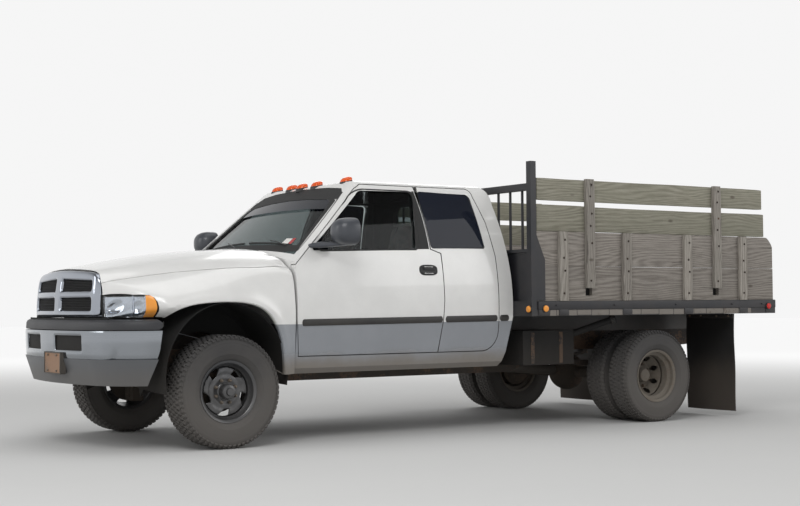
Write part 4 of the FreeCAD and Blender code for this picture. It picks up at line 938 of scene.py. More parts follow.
def fill_sweep(tree: Tree, at: dict) -> dict:
    """Fills the group that runs a strip with an even-sided section along a path."""
    line = put(tree, "GeometryNodeMeshToCurve", {"Mesh": at["Geometry"]}).outputs[0]
    level = put(tree, "GeometryNodeSetCurveNormal", {"Curve": line}, mode="Z_UP").outputs[0]
    tilted = put(tree, "GeometryNodeSetCurveTilt", {"Curve": level, "Tilt": at["Tilt"]}).outputs[0]
    shape = put(
        tree, "GeometryNodeCurvePrimitiveCircle", {"Resolution": at["Corners"], "Radius": 0.5}
    ).outputs[0]
    size = put(tree, "ShaderNodeCombineXYZ", {0: at["Width"], 1: at["Height"], 2: 1.0}).outputs[0]
    sized = put(tree, "GeometryNodeTransform", {"Geometry": shape, "Scale": size}).outputs[0]
    inputs = {"Curve": tilted, "Profile Curve": sized, "Fill Caps": True}
    return finished(tree, put(tree, "GeometryNodeCurveToMesh", inputs).outputs[0], at["Finish"])


def fill_array(tree: Tree, at: dict) -> dict:
    """Fills the group that repeats a piece in rows and columns, each one shifted a little."""
    count = calc(tree, "MULTIPLY", at["Columns"], at["Rows"])
    dots = put(tree, "GeometryNodePoints", {"Count": count}).outputs[0]
    index = put(tree, "GeometryNodeInputIndex").outputs[0]
    row = calc(tree, "FLOOR", calc(tree, "DIVIDE", index, at["Columns"]))
    column = calc(tree, "SUBTRACT", index, calc(tree, "MULTIPLY", row, at["Columns"]))
    place = None
    for label, times in (
        ("Column Step", column), ("Row Step", row), ("Row Shift", calc(tree, "MODULO", row, 2.0))
    ):
        step = vector(tree, "SCALE", at[label], times)
        place = step if place is None else vector(tree, "ADD", place, step)
    inputs = {0: (-1, -1, -1), 1: (1, 1, 1), "Seed": at["Seed"]}
    stray = put(tree, "FunctionNodeRandomValue", inputs, data_type="FLOAT_VECTOR").outputs[0]
    place = vector(tree, "ADD", place, vector(tree, "MULTIPLY", stray, at["Jitter"]))
    placed = put(tree, "GeometryNodeSetPosition", {"Geometry": dots, "Position": place}).outputs[0]
    inputs = {"Points": placed, "Instance": at["Geometry"]}
    return finished(tree, put(tree, "GeometryNodeInstanceOnPoints", inputs).outputs[0], at["Finish"])


REPEAT = Effect(
    "Repeat On Points",
    (
        ("Geometry", GEOMETRY, None),
        ("Piece", OBJECT, None),
        ("Size", FLOAT, 1.0),
        ("Turn Jitter", FLOAT, 0.0),
        ("Seed", INTEGER, 7),
        ("Finish", MATERIAL, None),
    ),
    (("Geometry", GEOMETRY),),
    fill_repeat,
    "GeometryNodeTree",
)
SWEEP = Effect(
    "Strip Along Path",
    (
        ("Geometry", GEOMETRY, None),
        ("Width", FLOAT, 0.01),
        ("Height", FLOAT, 0.01),
        ("Corners", INTEGER, 8),
        ("Tilt", FLOAT, 0.0),
        ("Finish", MATERIAL, None),
    ),
    (("Geometry", GEOMETRY),),
    fill_sweep,
    "GeometryNodeTree",
)
ARRAY = Effect(
    "Rows And Columns",
    (
        ("Geometry", GEOMETRY, None),
        ("Columns", INTEGER, 2),
        ("Rows", INTEGER, 1),
        ("Column Step", VECTOR, None),
        ("Row Step", VECTOR, None),
        ("Row Shift", VECTOR, None),
        ("Jitter", VECTOR, None),
        ("Seed", INTEGER, 3),
        ("Finish", MATERIAL, None),
    ),
    (("Geometry", GEOMETRY),),
    fill_array,
    "GeometryNodeTree",
)


def evaluated(
    name: str,
    carrier: Piece,
    effect: Effect,
    finish: Finish,
    values: dict,
    angle: float = 35.0,
) -> Piece:
    """Runs a tree on a carrier and keeps the result as a plain piece.

    Args:
        name: the piece's name.
        carrier: the object that the tree works on, which is removed.
        effect: the Geometry Nodes group.
        finish: the surface, given to the tree's Finish input.
        values: the other inputs by name.
        angle: edges that turn by more degrees stay sharp.

    Returns:
        The piece.
    """
    modifier = carrier.modifiers.new("Nodes", "NODES")
    modifier.node_group = effect.tree()
    values = {**values, "Finish": finish.material()}
    for item in modifier.node_group.interface.items_tree:
        if item.item_type == "SOCKET" and item.in_out == "INPUT" and item.name in values:
            modifier[item.identifier] = values[item.name]
    graph = bpy.context.evaluated_depsgraph_get()
    graph.update()
    mesh = bpy.data.meshes.new_from_object(carrier.evaluated_get(graph))
    mesh.name = name
    carrier.modifiers.remove(modifier)
    bpy.data.objects.remove(carrier)
    return keep(name, mesh, finish, angle)


def repeated(
    name: str,
    shape: Shape,
    places: Sequence[tuple],
    finish: Finish,
    jitter: float = 0.0,
    angle: float = 35.0,
) -> Piece:
    """Puts a small shape, which stands on z = 0 and faces +z, at many places.

    Args:
        name: the piece's name.
        shape: points and faces of the small shape.
        places: (point, facing, along) or (point, facing, along, scale) of each copy.
        finish: its surface.
        jitter: how far each copy may turn about its facing, in radians.
        angle: edges that turn by more degrees stay sharp.

    Returns:
        The piece.
    """
    model = built(f"{name}_model", shape[0], shape[1], finish)
    mesh = bpy.data.meshes.new(name)
    mesh.from_pydata([tuple(place[0]) for place in places], [], [])
    for label, number, fallback in (
        ("facing", 1, (0, 0, 1)), ("along", 2, (1, 0, 0)), ("grow", 3, (1, 1, 1))
    ):
        data = mesh.attributes.new(label, "FLOAT_VECTOR", "POINT")
        rows = [tuple(place[number]) if len(place) > number else fallback for place in places]
        data.data.foreach_set("vector", [value for row in rows for value in row])
    carrier = linked(name, mesh)
    values = {"Piece": model, "Size": 1.0, "Turn Jitter": jitter, "Seed": 11}
    piece = evaluated(name, carrier, REPEAT, finish, values, angle)
    bpy.data.objects.remove(model)
    return piece


def strip(
    name: str,
    path: Sequence[Sequence[float]],
    width: float,
    height: float,
    finish: Finish,
    corners: int = 8,
    tilt: float = 0.0,
    shut: bool = False,
) -> Piece:
    """Runs a strip along a path.

    Args:
        name: the piece's name.
        path: the path's points.
        width: across the strip.
        height: through the strip.
        finish: its surface.
        corners: corners of its section.
        tilt: turn of the section about the path.
        shut: whether the path is closed.

    Returns:
        The piece.
    """
    mesh = bpy.data.meshes.new(name)
    edges = [(number, number + 1) for number in range(len(path) - 1)]
    if shut:
        edges.append((len(path) - 1, 0))
    mesh.from_pydata([tuple(point) for point in path], edges, [])
    carrier = linked(name, mesh)
    values = {"Width": width, "Height": height, "Corners": corners, "Tilt": tilt}
    return evaluated(name, carrier, SWEEP, finish, values)


def gridded(name: str, shape: Shape, finish: Finish, values: dict, angle: float = 35.0) -> Piece:
    """Repeats a shape in rows and columns from where it stands."""
    carrier = built(name, shape[0], shape[1], finish)
    return evaluated(name, carrier, ARRAY, finish, values, angle)


def joined(name: str, pieces: Sequence[Piece]) -> Piece:
    """Makes one object of several that share a body, keeping their finishes."""
    with bpy.context.temp_override(active_object=pieces[0], selected_editable_objects=list(pieces)):
        bpy.ops.object.join()
    pieces[0].name = name
    return pieces[0]


class Skin:
    """The outer surface of some CAD nodes, on which pieces are seated."""

    def __init__(self, *nodes: str) -> None:
        """Reads the nodes' faces.

        Args:
            *nodes: the CAD nodes' names.
        """
        points: list[Vector] = []
        faces: list[tuple[int, ...]] = []
        for node in nodes:
            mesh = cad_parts[node].data
            start = len(points)
            points += [vert.co.copy() for vert in mesh.vertices]
            faces += [tuple(start + number for number in face.vertices) for face in mesh.polygons]
        self.tree = BVHTree.FromPolygons(points, faces)

    def meet(self, origin: Point, way: Point) -> Vector | None:
        """Gives the first point that a ray meets, or nothing."""
        return self.tree.ray_cast(Vector(origin), Vector(way))[0]

    def side(self, x: float, z: float, proud: float = 0.0) -> Point:
        """Gives the left side's surface at a place, moved outwards.

        Args:
            x: the place along the truck.
            z: its height.
            proud: how far out of the surface the point lies.

        Returns:
            The point.
        """
        found = self.meet((x, 2.0, z), (0, -1, 0))
        return (x, (found.y if found else 0.98) + proud, z)


# The truck's own finishes

WHITE = (0.76, 0.757, 0.742)
PAINT = BodyPaint(
    "white_body_paint", WHITE, roughness=0.22, coat=0.6, grit=300.0, bump=0.008, dust=0.85,
    dust_color=(0.2, 0.175, 0.145), gone=0.75, thick=0.5,
)
BLACK_STEEL = Finish(
    "black_bed_steel", (0.009, 0.01, 0.014), roughness=0.42, coat=0.05, grit=150.0, bump=0.1, wear=0.18,
    bare=(0.09, 0.06, 0.045), dust=0.16, thick=0.6, gone=1.2,
)
FRAME_STEEL = Finish(
    "rusty_frame_steel", (0.022, 0.019, 0.018), roughness=0.75, grit=90.0, bump=0.4, wear=0.62,
    bare=(0.09, 0.055, 0.035), dust=0.3, dust_color=(0.13, 0.11, 0.09), thick=0.3, gone=0.9,
)
CAST = Finish(
    "cast_axle_metal", (0.03, 0.026, 0.023), roughness=0.8, grit=70.0, bump=0.6, wear=0.6,
    bare=(0.1, 0.065, 0.045), dust=0.4, dust_color=(0.15, 0.125, 0.1), thick=0.3, gone=0.8,
)
ALLOY = Finish(
    "cast_alloy", (0.14, 0.135, 0.13), roughness=0.55, metallic=0.4, grit=90.0, bump=0.4, dust=0.5,
    dust_color=(0.15, 0.125, 0.1), thick=0.4, gone=1.1,
)
CHROME = Finish(
    "bright_chrome", (0.37, 0.395, 0.44), roughness=0.07, metallic=1.0, grit=40.0, bump=0.01, dust=0.12,
    thick=0.42, gone=0.9,
)
BUMPER_CHROME = Finish(
    "bumper_chrome", (0.3, 0.32, 0.345), roughness=0.1, metallic=1.0, grit=30.0, bump=0.02, wear=0.06,
    bare=(0.3, 0.29, 0.28), dust=0.3, dust_color=(0.2, 0.18, 0.15), thick=0.45, gone=0.8,
)
PAD = Finish(
    "bumper_pad_plastic", (0.026, 0.027, 0.031), grit=220.0, bump=0.12, wear=0.16, bare=(0.1, 0.1, 0.11),
    stretch=(1.0, 0.6, 6.0), dust=0.1, thick=0.5, gone=1.1,
)
TRIM = Finish(
    "black_trim_plastic", (0.016, 0.016, 0.017), grit=260.0, bump=0.08, wear=0.1, bare=(0.1, 0.1, 0.1),
    dust=0.22, thick=0.5, gone=1.2,
)
VALANCE = Finish(
    "valance_plastic", (0.115, 0.12, 0.128), roughness=0.45, coat=0.1, grit=200.0, bump=0.08, wear=0.15,
    bare=(0.1, 0.1, 0.1), dust=0.35, dust_color=(0.16, 0.145, 0.125), thick=0.45, gone=0.7,
)
MIRROR_SHELL = Finish(
    "mirror_plastic", (0.05, 0.055, 0.066), roughness=0.38, coat=0.1, grit=240.0, bump=0.08, dust=0.15,
    thick=0.5, gone=1.5,
)
MIRROR_FACE = Finish(
    "mirror_silver", (0.85, 0.86, 0.87), roughness=0.04, metallic=1.0, grit=30.0, bump=0.004, dust=0.1,
    thick=0.5, gone=1.5,
)
RUBBER = Finish(
    "seal_rubber", (0.014, 0.014, 0.014), roughness=0.65, grit=200.0, bump=0.1, dust=0.2, thick=0.5,
    gone=1.4,
)
FLAP = Finish(
    "mud_flap_rubber", (0.014, 0.0135, 0.014), roughness=0.62, grit=90.0, bump=0.3, wear=0.25,
    bare=(0.06, 0.05, 0.04), dust=0.42, dust_color=(0.13, 0.105, 0.085), thick=0.2, gone=0.75,
)
TYRE = Finish(
    "tyre_rubber", (0.04, 0.039, 0.04), roughness=0.74, grit=160.0, bump=0.25, wear=0.3,
    bare=(0.06, 0.057, 0.053), dust=0.5, dust_color=(0.2, 0.19, 0.18), thick=0.0, gone=1.2,
)
RIM = Finish(
    "front_rim_steel", (0.085, 0.09, 0.1), roughness=0.3, metallic=0.7, coat=0.2, grit=140.0, bump=0.06,
    wear=0.25, bare=(0.04, 0.036, 0.033), dust=0.22, dust_color=(0.2, 0.18, 0.15), thick=0.2, gone=1.1,
)
DEEP_RIM = Finish(
    "rear_rim_steel", (0.17, 0.16, 0.145), roughness=0.62, metallic=0.25, grit=90.0, bump=0.25, wear=0.5,
    bare=(0.1, 0.065, 0.045), dust=0.75, dust_color=(0.25, 0.225, 0.19), thick=0.3, gone=1.3,
)
BOLT = Finish(
    "bolt_steel", (0.16, 0.14, 0.12), roughness=0.55, metallic=0.8, grit=120.0, bump=0.2, wear=0.5,
    dust=0.35, thick=0.4, gone=1.3,
)
# Painted shade: near-black sheets set in gaps, holes and recesses, where there is only shade. In the wheel
# housings it is a black liner that also paints the shade inside the arch.
PAINTED_SHADE = Finish(
    "dark_inside", (0.006, 0.006, 0.006), roughness=0.85, grit=120.0, bump=0.2, dust=0.14,
    dust_color=(0.09, 0.075, 0.06), thick=0.4, gone=1.1,
)
OLD_WOOD = Timber(
    "grey_board_wood", (0.36, 0.33, 0.295), roughness=0.86, bump=0.5, grit=120.0, dust=0.08, thick=0.9,
    gone=1.3, dark=(0.15, 0.13, 0.112), stain=(0.2, 0.185, 0.168), joints=(1.3,),
)
TOP_WOOD = Timber(
    "rack_board_wood", (0.36, 0.345, 0.28), roughness=0.86, bump=0.5, grit=120.0, dust=0.0,
    dark=(0.17, 0.16, 0.115), stain=(0.25, 0.25, 0.19), joints=(1.8,),
)
STAKE_WOOD = Timber(
    "stake_wood", (0.4, 0.37, 0.33), roughness=0.86, bump=0.5, grit=120.0, dust=0.06,
    dark=(0.16, 0.14, 0.12), stain=(0.24, 0.23, 0.2), lie=Lie.UPRIGHT, cell=(0.3, 2.0, 50.0),
)
DECK_WOOD = Timber(
    "deck_wood", (0.27, 0.245, 0.21), roughness=0.9, bump=0.55, grit=110.0, dust=0.3, thick=1.0, gone=1.3,
    dark=(0.1, 0.088, 0.075), stain=(0.11, 0.1, 0.09), cell=(50.0, 0.188, 50.0),
)
# Dusty black tank, darkened further to paint the shade that lies under the truck.
TANK_SHADE = Finish(
    "fuel_tank_coat", (0.006, 0.006, 0.0065), roughness=0.8, grit=90.0, bump=0.3, wear=0.2,
    bare=(0.03, 0.02, 0.015), dust=0.2, dust_color=(0.06, 0.05, 0.04), thick=0.4, gone=1.0,
)
PLATE = Finish(
    "blank_plate_paint", (0.3, 0.13, 0.045), metallic=0.1, coat=0.1, grit=120.0, bump=0.1, wear=0.5,
    bare=(0.09, 0.05, 0.03), dust=0.35, thick=0.5, gone=0.9,
)
SEAT_CLOTH = Fabric(
    "seat_cover_cloth", (0.4, 0.3, 0.29), roughness=0.9, bump=0.25, grit=300.0, dust=0.0,
    second=(0.27, 0.235, 0.24),
)
SEAT_VINYL = Finish("seat_base_vinyl", (0.13, 0.12, 0.125), roughness=0.6, grit=300.0, bump=0.1, dust=0.1)
DASH = Finish("dash_plastic", (0.07, 0.068, 0.068), roughness=0.7, grit=300.0, dust=0.12, thick=1.0, gone=1.6)
WINDOW = Glass("window_glass", (0.3, 0.34, 0.34), roughness=0.0, film=0.02, bend=1.22)
TINTED = Glass("tinted_glass", (0.01, 0.014, 0.028), roughness=0.02, clear=0.35, film=0.02, bend=1.3)
SHADE = Glass("shade_band_glass", (0.05, 0.06, 0.09), roughness=0.02, clear=0.85, film=0.02)
CLEAR = Glass("lamp_glass", (0.93, 0.94, 0.94), roughness=0.03, film=0.06)
AMBER = Glass("amber_lens", (0.95, 0.32, 0.02), roughness=0.08, clear=0.5, film=0.02)
ORANGE = Glass("roof_lamp_lens", (0.95, 0.13, 0.015), roughness=0.1, clear=0.25, film=0.02)
RED = Glass("red_lens", (0.75, 0.025, 0.02), roughness=0.1, clear=0.3, film=0.02)
LAMP_SILVER = Finish(
    "lamp_reflector_silver", (0.55, 0.59, 0.66), roughness=0.12, metallic=1.0, grit=60.0, bump=0.01,
    dust=0.0,
)
STICKER_RED = Finish("blank_sticker_red", (0.45, 0.05, 0.05), grit=90.0, bump=0.02, dust=0.05)
POCKET = Finish(
    "dusty_spacer_plate", (0.2, 0.19, 0.18), roughness=0.75, grit=110.0, bump=0.3, wear=0.5,
    bare=(0.09, 0.075, 0.065), dust=0.3, thick=0.9, gone=1.1,
)
BOLT_HOLE = Finish(
    "rusted_bolt", (0.03, 0.024, 0.02), roughness=0.7, metallic=0.3, grit=90.0, bump=0.3, wear=0.4,
    dust=0.0,
)
STICKER = Finish("blank_sticker", (0.75, 0.73, 0.7), grit=90.0, bump=0.02, dust=0.05)

DRESS: tuple[tuple[Finish, tuple[str, ...]], ...] = (
    (
        PAINT,
        (
            "cab_shell", "front_door_left", "front_door_right", "rear_door_left", "rear_door_right",
            "fender_left", "fender_right", "hood",
        ),
    ),
    (CHROME, ("grille",)),
    (BUMPER_CHROME, ("front_bumper",)),
    (PAD, ("bumper_pad",)),
    (VALANCE, ("front_valance",)),
    (
        FRAME_STEEL,
        ("frame_rail_left", "frame_rail_right", "crossmembers", "front_springs", "rear_springs", "exhaust"),
    ),
    (CAST, ("front_axle", "rear_axle", "knuckle_left", "knuckle_right", "engine")),
    (ALLOY, ("drive_line", "radiator")),
    (BLACK_STEEL, ("bed_sills", "bed_crossbars", "rub_rails", "headboard")),
    # the tank's near-black finish is partly painted shade under the truck
    (TANK_SHADE, ("fuel_tank",)),
    (OLD_WOOD, ("stake_side_left", "stake_side_right")),
    (DECK_WOOD, ("deck",)),
    (FLAP, ("mud_flaps",)),
    (WINDOW, ("front_glass_left", "front_glass_right", "fixed_glass")),
    (TINTED, ("rear_glass_left", "rear_glass_right")),
    (MIRROR_SHELL, ("mirror_left", "mirror_right")),
    (DASH, ("dashboard",)),
    (TRIM, ("steering_wheel", "grille_mesh")),
    (AMBER, ("bed_lamps",)),
    (ORANGE, ("roof_lamps",)),
    (CLEAR, ("headlamps",)),
    (PLATE, ("front_plate",)),
    (SEAT_VINYL, ("seats",)),
    (TYRE, ("front_tyre_left", "front_tyre_right", "rear_tyres_left", "rear_tyres_right")),
    (RIM, ("front_wheel_left", "front_wheel_right")),
    (DEEP_RIM, ("rear_wheel_left", "rear_wheel_right")),
)


def dress_nodes() -> None:
    """Gives each CAD node its finish."""
    for finish, nodes in DRESS:
        for node in nodes:
            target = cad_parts[node]
            if not target.material_slots:
                target.data.materials.append(finish.material())
            for place in target.material_slots:
                place.material = finish.material()
    LOG.info("dressed %d nodes", sum(len(nodes) for _, nodes in DRESS))


# Wheels


def lug_shape(wide: float, long: float, high: float, skew: float) -> Shape:
    """A tread block with zigzag ends that narrows upwards.

    Args:
        wide: size along x.
        long: size along y.
        high: its height.
        skew: how far its ends zigzag.

    Returns:
        Points and faces.
    """
    half, end = wide / 2, long / 2
    base = [
        (-half, -end, 0), (0, -end + skew, 0), (half, -end, 0), (half, end, 0), (0, end - skew, 0),
        (-half, end, 0),
    ]
    return loft([base, [(x * 0.86, y * 0.86, high) for x, y, _ in base]])


@dataclass
class Tyre:
    """One tyre: a carcass turned from its profile, and tread blocks placed round it."""

    name: str
    centre: Point
    radius: float
    width: float
    rows: tuple[float, ...] = (-0.68, -0.35, 0.0, 0.35, 0.68)
    count: int = 66
    bead: float = 0.2075
    tread: float = 0.009
    steps: int = 96

    def profile(self) -> list[Pair]:
        """Gives the carcass's closed outline.

        Returns:
            Pairs of width and radius.
        """
        half, top, bead = self.width / 2, self.radius - self.tread, self.bead
        wall = [
            (0.66, bead), (0.71, bead + 0.001), (0.72, bead + 0.012), (0.77, bead + 0.016),
            (0.9, bead + 0.034),
        ]
        wall += [(0.965, bead + 0.056), (0.975, bead + 0.058), (0.978, bead + 0.062), (1.0, bead + 0.094)]
        wall += [
            (0.996, top - 0.062), (0.985, top - 0.05), (0.992, top - 0.048), (0.985, top - 0.034),
            (0.93, top - 0.013),
        ]
        wall += [(0.84, top - 0.003), (0.5, top), (0.1, top + 0.001)]
        inner = [(-0.5, top - 0.014), (-0.86, top - 0.04), (-0.93, bead + 0.08), (-0.6, bead + 0.01)]
        side = [(share * half, radius) for share, radius in wall]
        whole = side + [(-y, radius) for y, radius in reversed(side)]
        lining = [(share * half, radius) for share, radius in inner]
        return whole + lining + [(-y, radius) for y, radius in reversed(lining)]

    def blocks(self) -> list[tuple]:
        """Places the tread blocks and the shoulder blocks.

        Returns:
            Point, facing, direction across and scale of each.
        """
        places = []
        half, foot = self.width / 2, self.radius - self.tread - 0.001
        for number, share in enumerate(self.rows):
            for step in range(self.count):
                turn = 2 * math.pi * (step + 0.5 * (number % 2)) / self.count
                out = Vector((math.sin(turn), 0, -math.cos(turn)))
                seat = Vector(self.centre) + out * foot + Vector((0, share * half, 0))
                places.append((seat, out, (0, 1, 0), (1, 1, 1)))
        for sign in (-1, 1):
            for step in range(self.count):
                turn = 2 * math.pi * (step + 0.25) / self.count
                out = Vector((math.sin(turn), 0, -math.cos(turn)))
                lean = (out * 0.8 + Vector((0, sign * 0.6, 0))).normalized()
                across = Vector((0, 0.8 * sign, 0)) - out * 0.6
                seat = Vector(self.centre) + out * (foot - 0.0125) + Vector((0, sign * half * 0.915, 0))
                places.append((seat, lean, across, (0.75, 0.85, 0.95)))
        return places

    def build(self) -> Piece:
        """Makes the tyre as one piece.

        Returns:
            The piece.
        """
        points, faces = lathe(self.profile(), self.centre, self.steps)
        carcass = built(f"{self.name}_carcass", points, faces, TYRE, 25.0)
        pitch = 2 * math.pi * self.radius / self.count
        shape = lug_shape(self.width / 2 * 0.31, pitch * 0.74, self.tread + 0.0008, pitch * 0.12)
        return joined(self.name, [carcass, repeated(f"{self.name}_tread", shape, self.blocks(), TYRE)])


def nuts(centre: Point, ring: float, face: float, size: float, way: int) -> list[tuple]:
    """Places eight wheel nuts.

    Args:
        centre: the wheel's middle.
        ring: radius of the bolt circle.
        face: y of the face they stand on, from the centre.
        size: scale of each nut.
        way: 1 when they face +y.

    Returns:
        Place, facing, direction and scale of each.
    """
    rows = []
    for number in range(8):
        turn = math.radians(22.5 + 45 * number)
        seat = Vector(centre) + Vector((ring * math.sin(turn), face, ring * math.cos(turn)))
        rows.append((seat, (0, way, 0), (math.cos(turn), 0, -math.sin(turn)), (size, size, size)))
    return rows


def nut_shape() -> Shape:
    """A capped hexagon nut, 22 mm across its flats."""
    levels = ((0.0125, 0), (0.0125, 0.016), (0.0095, 0.019), (0.008, 0.027), (0.004, 0.03))
    return loft([circle(radius, height, 6) for radius, height in levels])


@dataclass
class FrontWheel:
    """The styled front wheel: a flanged barrel, and a disc with five swept windows."""

    side: Side
    track: float = 0.870
    radius: float = 0.400
    width: float = 0.262
    rim: float = 0.22
    windows: int = 5

    def disc_height(self, radius: float) -> float:
        """Gives how far out the disc's face lies at a radius."""
        table = (
            (0.0, 0.04), (0.07, 0.04), (0.095, 0.046), (0.12, 0.044), (0.142, 0.05), (0.166, 0.046),
            (0.182, 0.02), (0.2, -0.01),
        )
        return read_off(table, radius, True)

    def window(self, number: int) -> list[Pair]:
        """Gives the outline of one of the swept windows.

        Args:
            number: which window.

        Returns:
            Its corners, rounded.
        """
        corners = []
        for radius, shares in ((0.125, (0.36, 0.64)), (0.173, (0.7, 0.5, 0.3))):
            for share in shares:
                turn = (number + share - 3.0 * (radius - 0.15)) * math.tau / self.windows
                corners.append((radius * math.sin(turn), radius * math.cos(turn)))
        return rounded(corners, 0.009, 4)

    def disc(self, centre: Point) -> Shape:
        """Makes the disc with its windows open and their edges turned in.

        Args:
            centre: the wheel's middle.

        Returns:
            Points and faces, with the disc's thickness.
        """
        outline = [(u, v) for v, u, _ in circle(0.19, 0.0, 96)]
        windows = [self.window(number) for number in range(self.windows)]
        rims = outline_tree(windows)

        def place(u: float, v: float) -> Point:
            """Sets a flat point of the disc on its dished face."""
            radius, turn = math.hypot(u, v), math.atan2(u, v)
            ripple = max(0.0, math.cos(turn * self.windows + 0.4))
            dent = 0.004 * ripple * max(0.0, 1 - ((radius - 0.13) / 0.035) ** 2)
            edge = 0.005 * max(0.0, 1 - rims.find((u, v, 0))[2] / 0.007) ** 2
            return (centre[0] + u, centre[1] + self.disc_height(radius) - dent - edge, centre[2] + v)

        return panel(outline, windows, 0.0065, place, 0.012, (0.0025, 0.0055), (0, -1, 0))

    def build(self) -> None:
        """Builds the left wheel's shapes on this side, with its tyre."""
        word, way = self.side.word, self.side.value
        centre = (FRONT_AXLE, self.track, self.radius)
        lip, half = self.rim, self.width / 2 * 0.7
        barrel = [
            (half + 0.009, lip - 0.003), (half + 0.0105, lip), (half + 0.004, lip), (half + 0.002, 0.205),
            (half - 0.03, 0.2045), (0.05, 0.186), (0.0, 0.182),
        ]
        barrel += [
            (-half + 0.02, 0.2045), (-half - 0.002, 0.205), (-half - 0.009, lip),
            (-half - 0.011, lip - 0.004), (-half - 0.004, 0.2), (-half + 0.03, 0.198),
        ]
        barrel += [
            (-0.01, 0.176), (0.05, 0.178), (half - 0.02, 0.196), (half + 0.0, 0.2), (half + 0.005, 0.205)
        ]
        cap = [
            (0.03, 0.064), (0.045, 0.064), (0.047, 0.062), (0.05, 0.055), (0.105, 0.052), (0.112, 0.047),
            (0.118, 0.03), (0.132, 0.026), (0.132, 0.0001), (0.03, 0.0001),
        ]
        shape = merged(lathe(barrel, centre, 96), self.disc(centre), lathe(cap, centre, 48))
        wheel = built(f"front_rim_{word}", *mirrored(shape, self.side), RIM, 32.0)
        middle = (centre[0], centre[1] * way, centre[2])
        bolts = repeated(f"front_nuts_{word}", nut_shape(), nuts(middle, 0.0825, 0.042 * way, 1.0, way), BOLT)
        ride(
            joined(f"front_wheel_dress_{word}", [wheel, bolts]),
            f"front_wheel_{word}",
            "wheel_steel",
            f"front_wheel_{word}",
        )
        tyre = Tyre(f"front_tyre_dress_{word}", middle, self.radius, self.width)
        ride(tyre.build(), f"front_wheel_{word}", "tyre", f"front_tyre_{word}")


@dataclass
class TwinWheel:
    """The rear pair on one side: two deep steel wheels face to face, and their tyres."""

    side: Side
    middle: float = 0.936
    spacing: float = 0.280
    radius: float = 0.385
    width: float = 0.212
    axle: float = 3.930
    holes: int = 8

    def disc(self, centre: Point, way: int) -> Shape:
        """Makes a dished disc with round hand holes on a polar grid.

        Args:
            centre: the rim's middle.
            way: 1 for a disc set inwards of an outer rim.

        Returns:
            Points and faces.
        """
        steps = 160
        radii = [
            0.0001, 0.05, 0.085, 0.11, 0.118, 0.124, 0.13, 0.136, 0.142, 0.148, 0.154, 0.16, 0.166, 0.172,
            0.176,
        ]
        depth = {0.0001: 0.0, 0.05: 0.0, 0.085: 0.0, 0.11: 0.0, 0.118: 0.004}
        points, faces = [], []
        for level in (0.0, -0.01):
            for radius in radii:
                lift = depth.get(radius, 0.006 + (radius - 0.124) * 1.45)
                y = (-self.spacing / 2 + 0.009 + lift + level) * way
                points += [
                    (centre[0] + u, centre[1] + y, centre[2] + v) for v, u, _ in circle(radius, 0.0, steps)
                ]
        layer = len(radii) * steps
        edges = set()
        for ring in range(len(radii) - 1):
            radius = (radii[ring] + radii[ring + 1]) / 2
            for step in range(steps):
                turn = math.tau * (step + 0.5) / steps
                off = (turn * self.holes / math.tau) % 1.0 - 0.5
                across = off / self.holes * math.tau * radius
                if math.hypot(across, radius - 0.146) < 0.0215:
                    continue
                after = (step + 1) % steps
                near, far = ring * steps, (ring + 1) * steps
                quad = (near + step, near + after, far + after, far + step)
                faces.append(quad)
                faces.append(tuple(reversed([layer + number for number in quad])))
                edges.update(zip(quad, quad[1:] + quad[:1]))
        for one, two in edges:
            if (two, one) not in edges:
                faces.append((two, one, layer + one, layer + two))
        return points, faces

    def build(self) -> None:
        """Builds the pair on this side with its tyres."""
        word, way = self.side.word, self.side.value
        half, lip = self.width / 2 * 0.7, 0.22
        barrel = [
            (half + 0.009, lip - 0.003), (half + 0.0105, lip), (half + 0.004, lip), (half + 0.002, 0.205),
            (half - 0.025, 0.2045), (0.03, 0.18), (-0.03, 0.18),
        ]
        barrel += [
            (-half + 0.025, 0.2045), (-half - 0.002, 0.205), (-half - 0.009, lip),
            (-half - 0.0105, lip - 0.004), (-half - 0.004, 0.2), (-half + 0.03, 0.199),
        ]
        barrel += [
            (-0.03, 0.174), (0.03, 0.174), (half - 0.03, 0.199), (half + 0.0, 0.2), (half + 0.005, 0.206)
        ]
        shapes, tyres = [], []
        for tag, sign in (("outer", 1), ("inner", -1)):
            centre = (station(self.axle), self.middle + sign * self.spacing / 2, self.radius)
            shapes += [lathe(barrel, centre, 96), self.disc(centre, sign)]
            middle = (centre[0], centre[1] * way, centre[2])
            rows = (-0.66, -0.24, 0.24, 0.66)
            name = f"rear_tyre_{tag}_{word}"
            tyres.append(Tyre(name, middle, self.radius, self.width, rows, 70, tread=0.0075).build())
        centre = (station(self.axle), self.middle, self.radius)
        hub = [
            (-0.06, 0.083), (0.02, 0.083), (0.026, 0.078), (0.03, 0.062), (0.075, 0.058), (0.086, 0.05),
            (0.09, 0.0001), (-0.06, 0.0001),
        ]
        shapes.append(lathe(hub, centre, 48))
        wheel = built(f"rear_rim_{word}", *mirrored(merged(*shapes), self.side), DEEP_RIM, 32.0)
        middle = (centre[0], centre[1] * way, centre[2])
        bolts = repeated(f"rear_nuts_{word}", nut_shape(), nuts(middle, 0.0985, 0.008 * way, 1.0, way), BOLT)
        ride(
            joined(f"rear_wheel_dress_{word}", [wheel, bolts]),
            f"rear_wheels_{word}",
            "wheel_steel",
            f"rear_wheel_{word}",
        )
        ride(joined(f"rear_tyres_dress_{word}", tyres), f"rear_wheels_{word}", "tyre", f"rear_tyres_{word}")


# The cab's outside


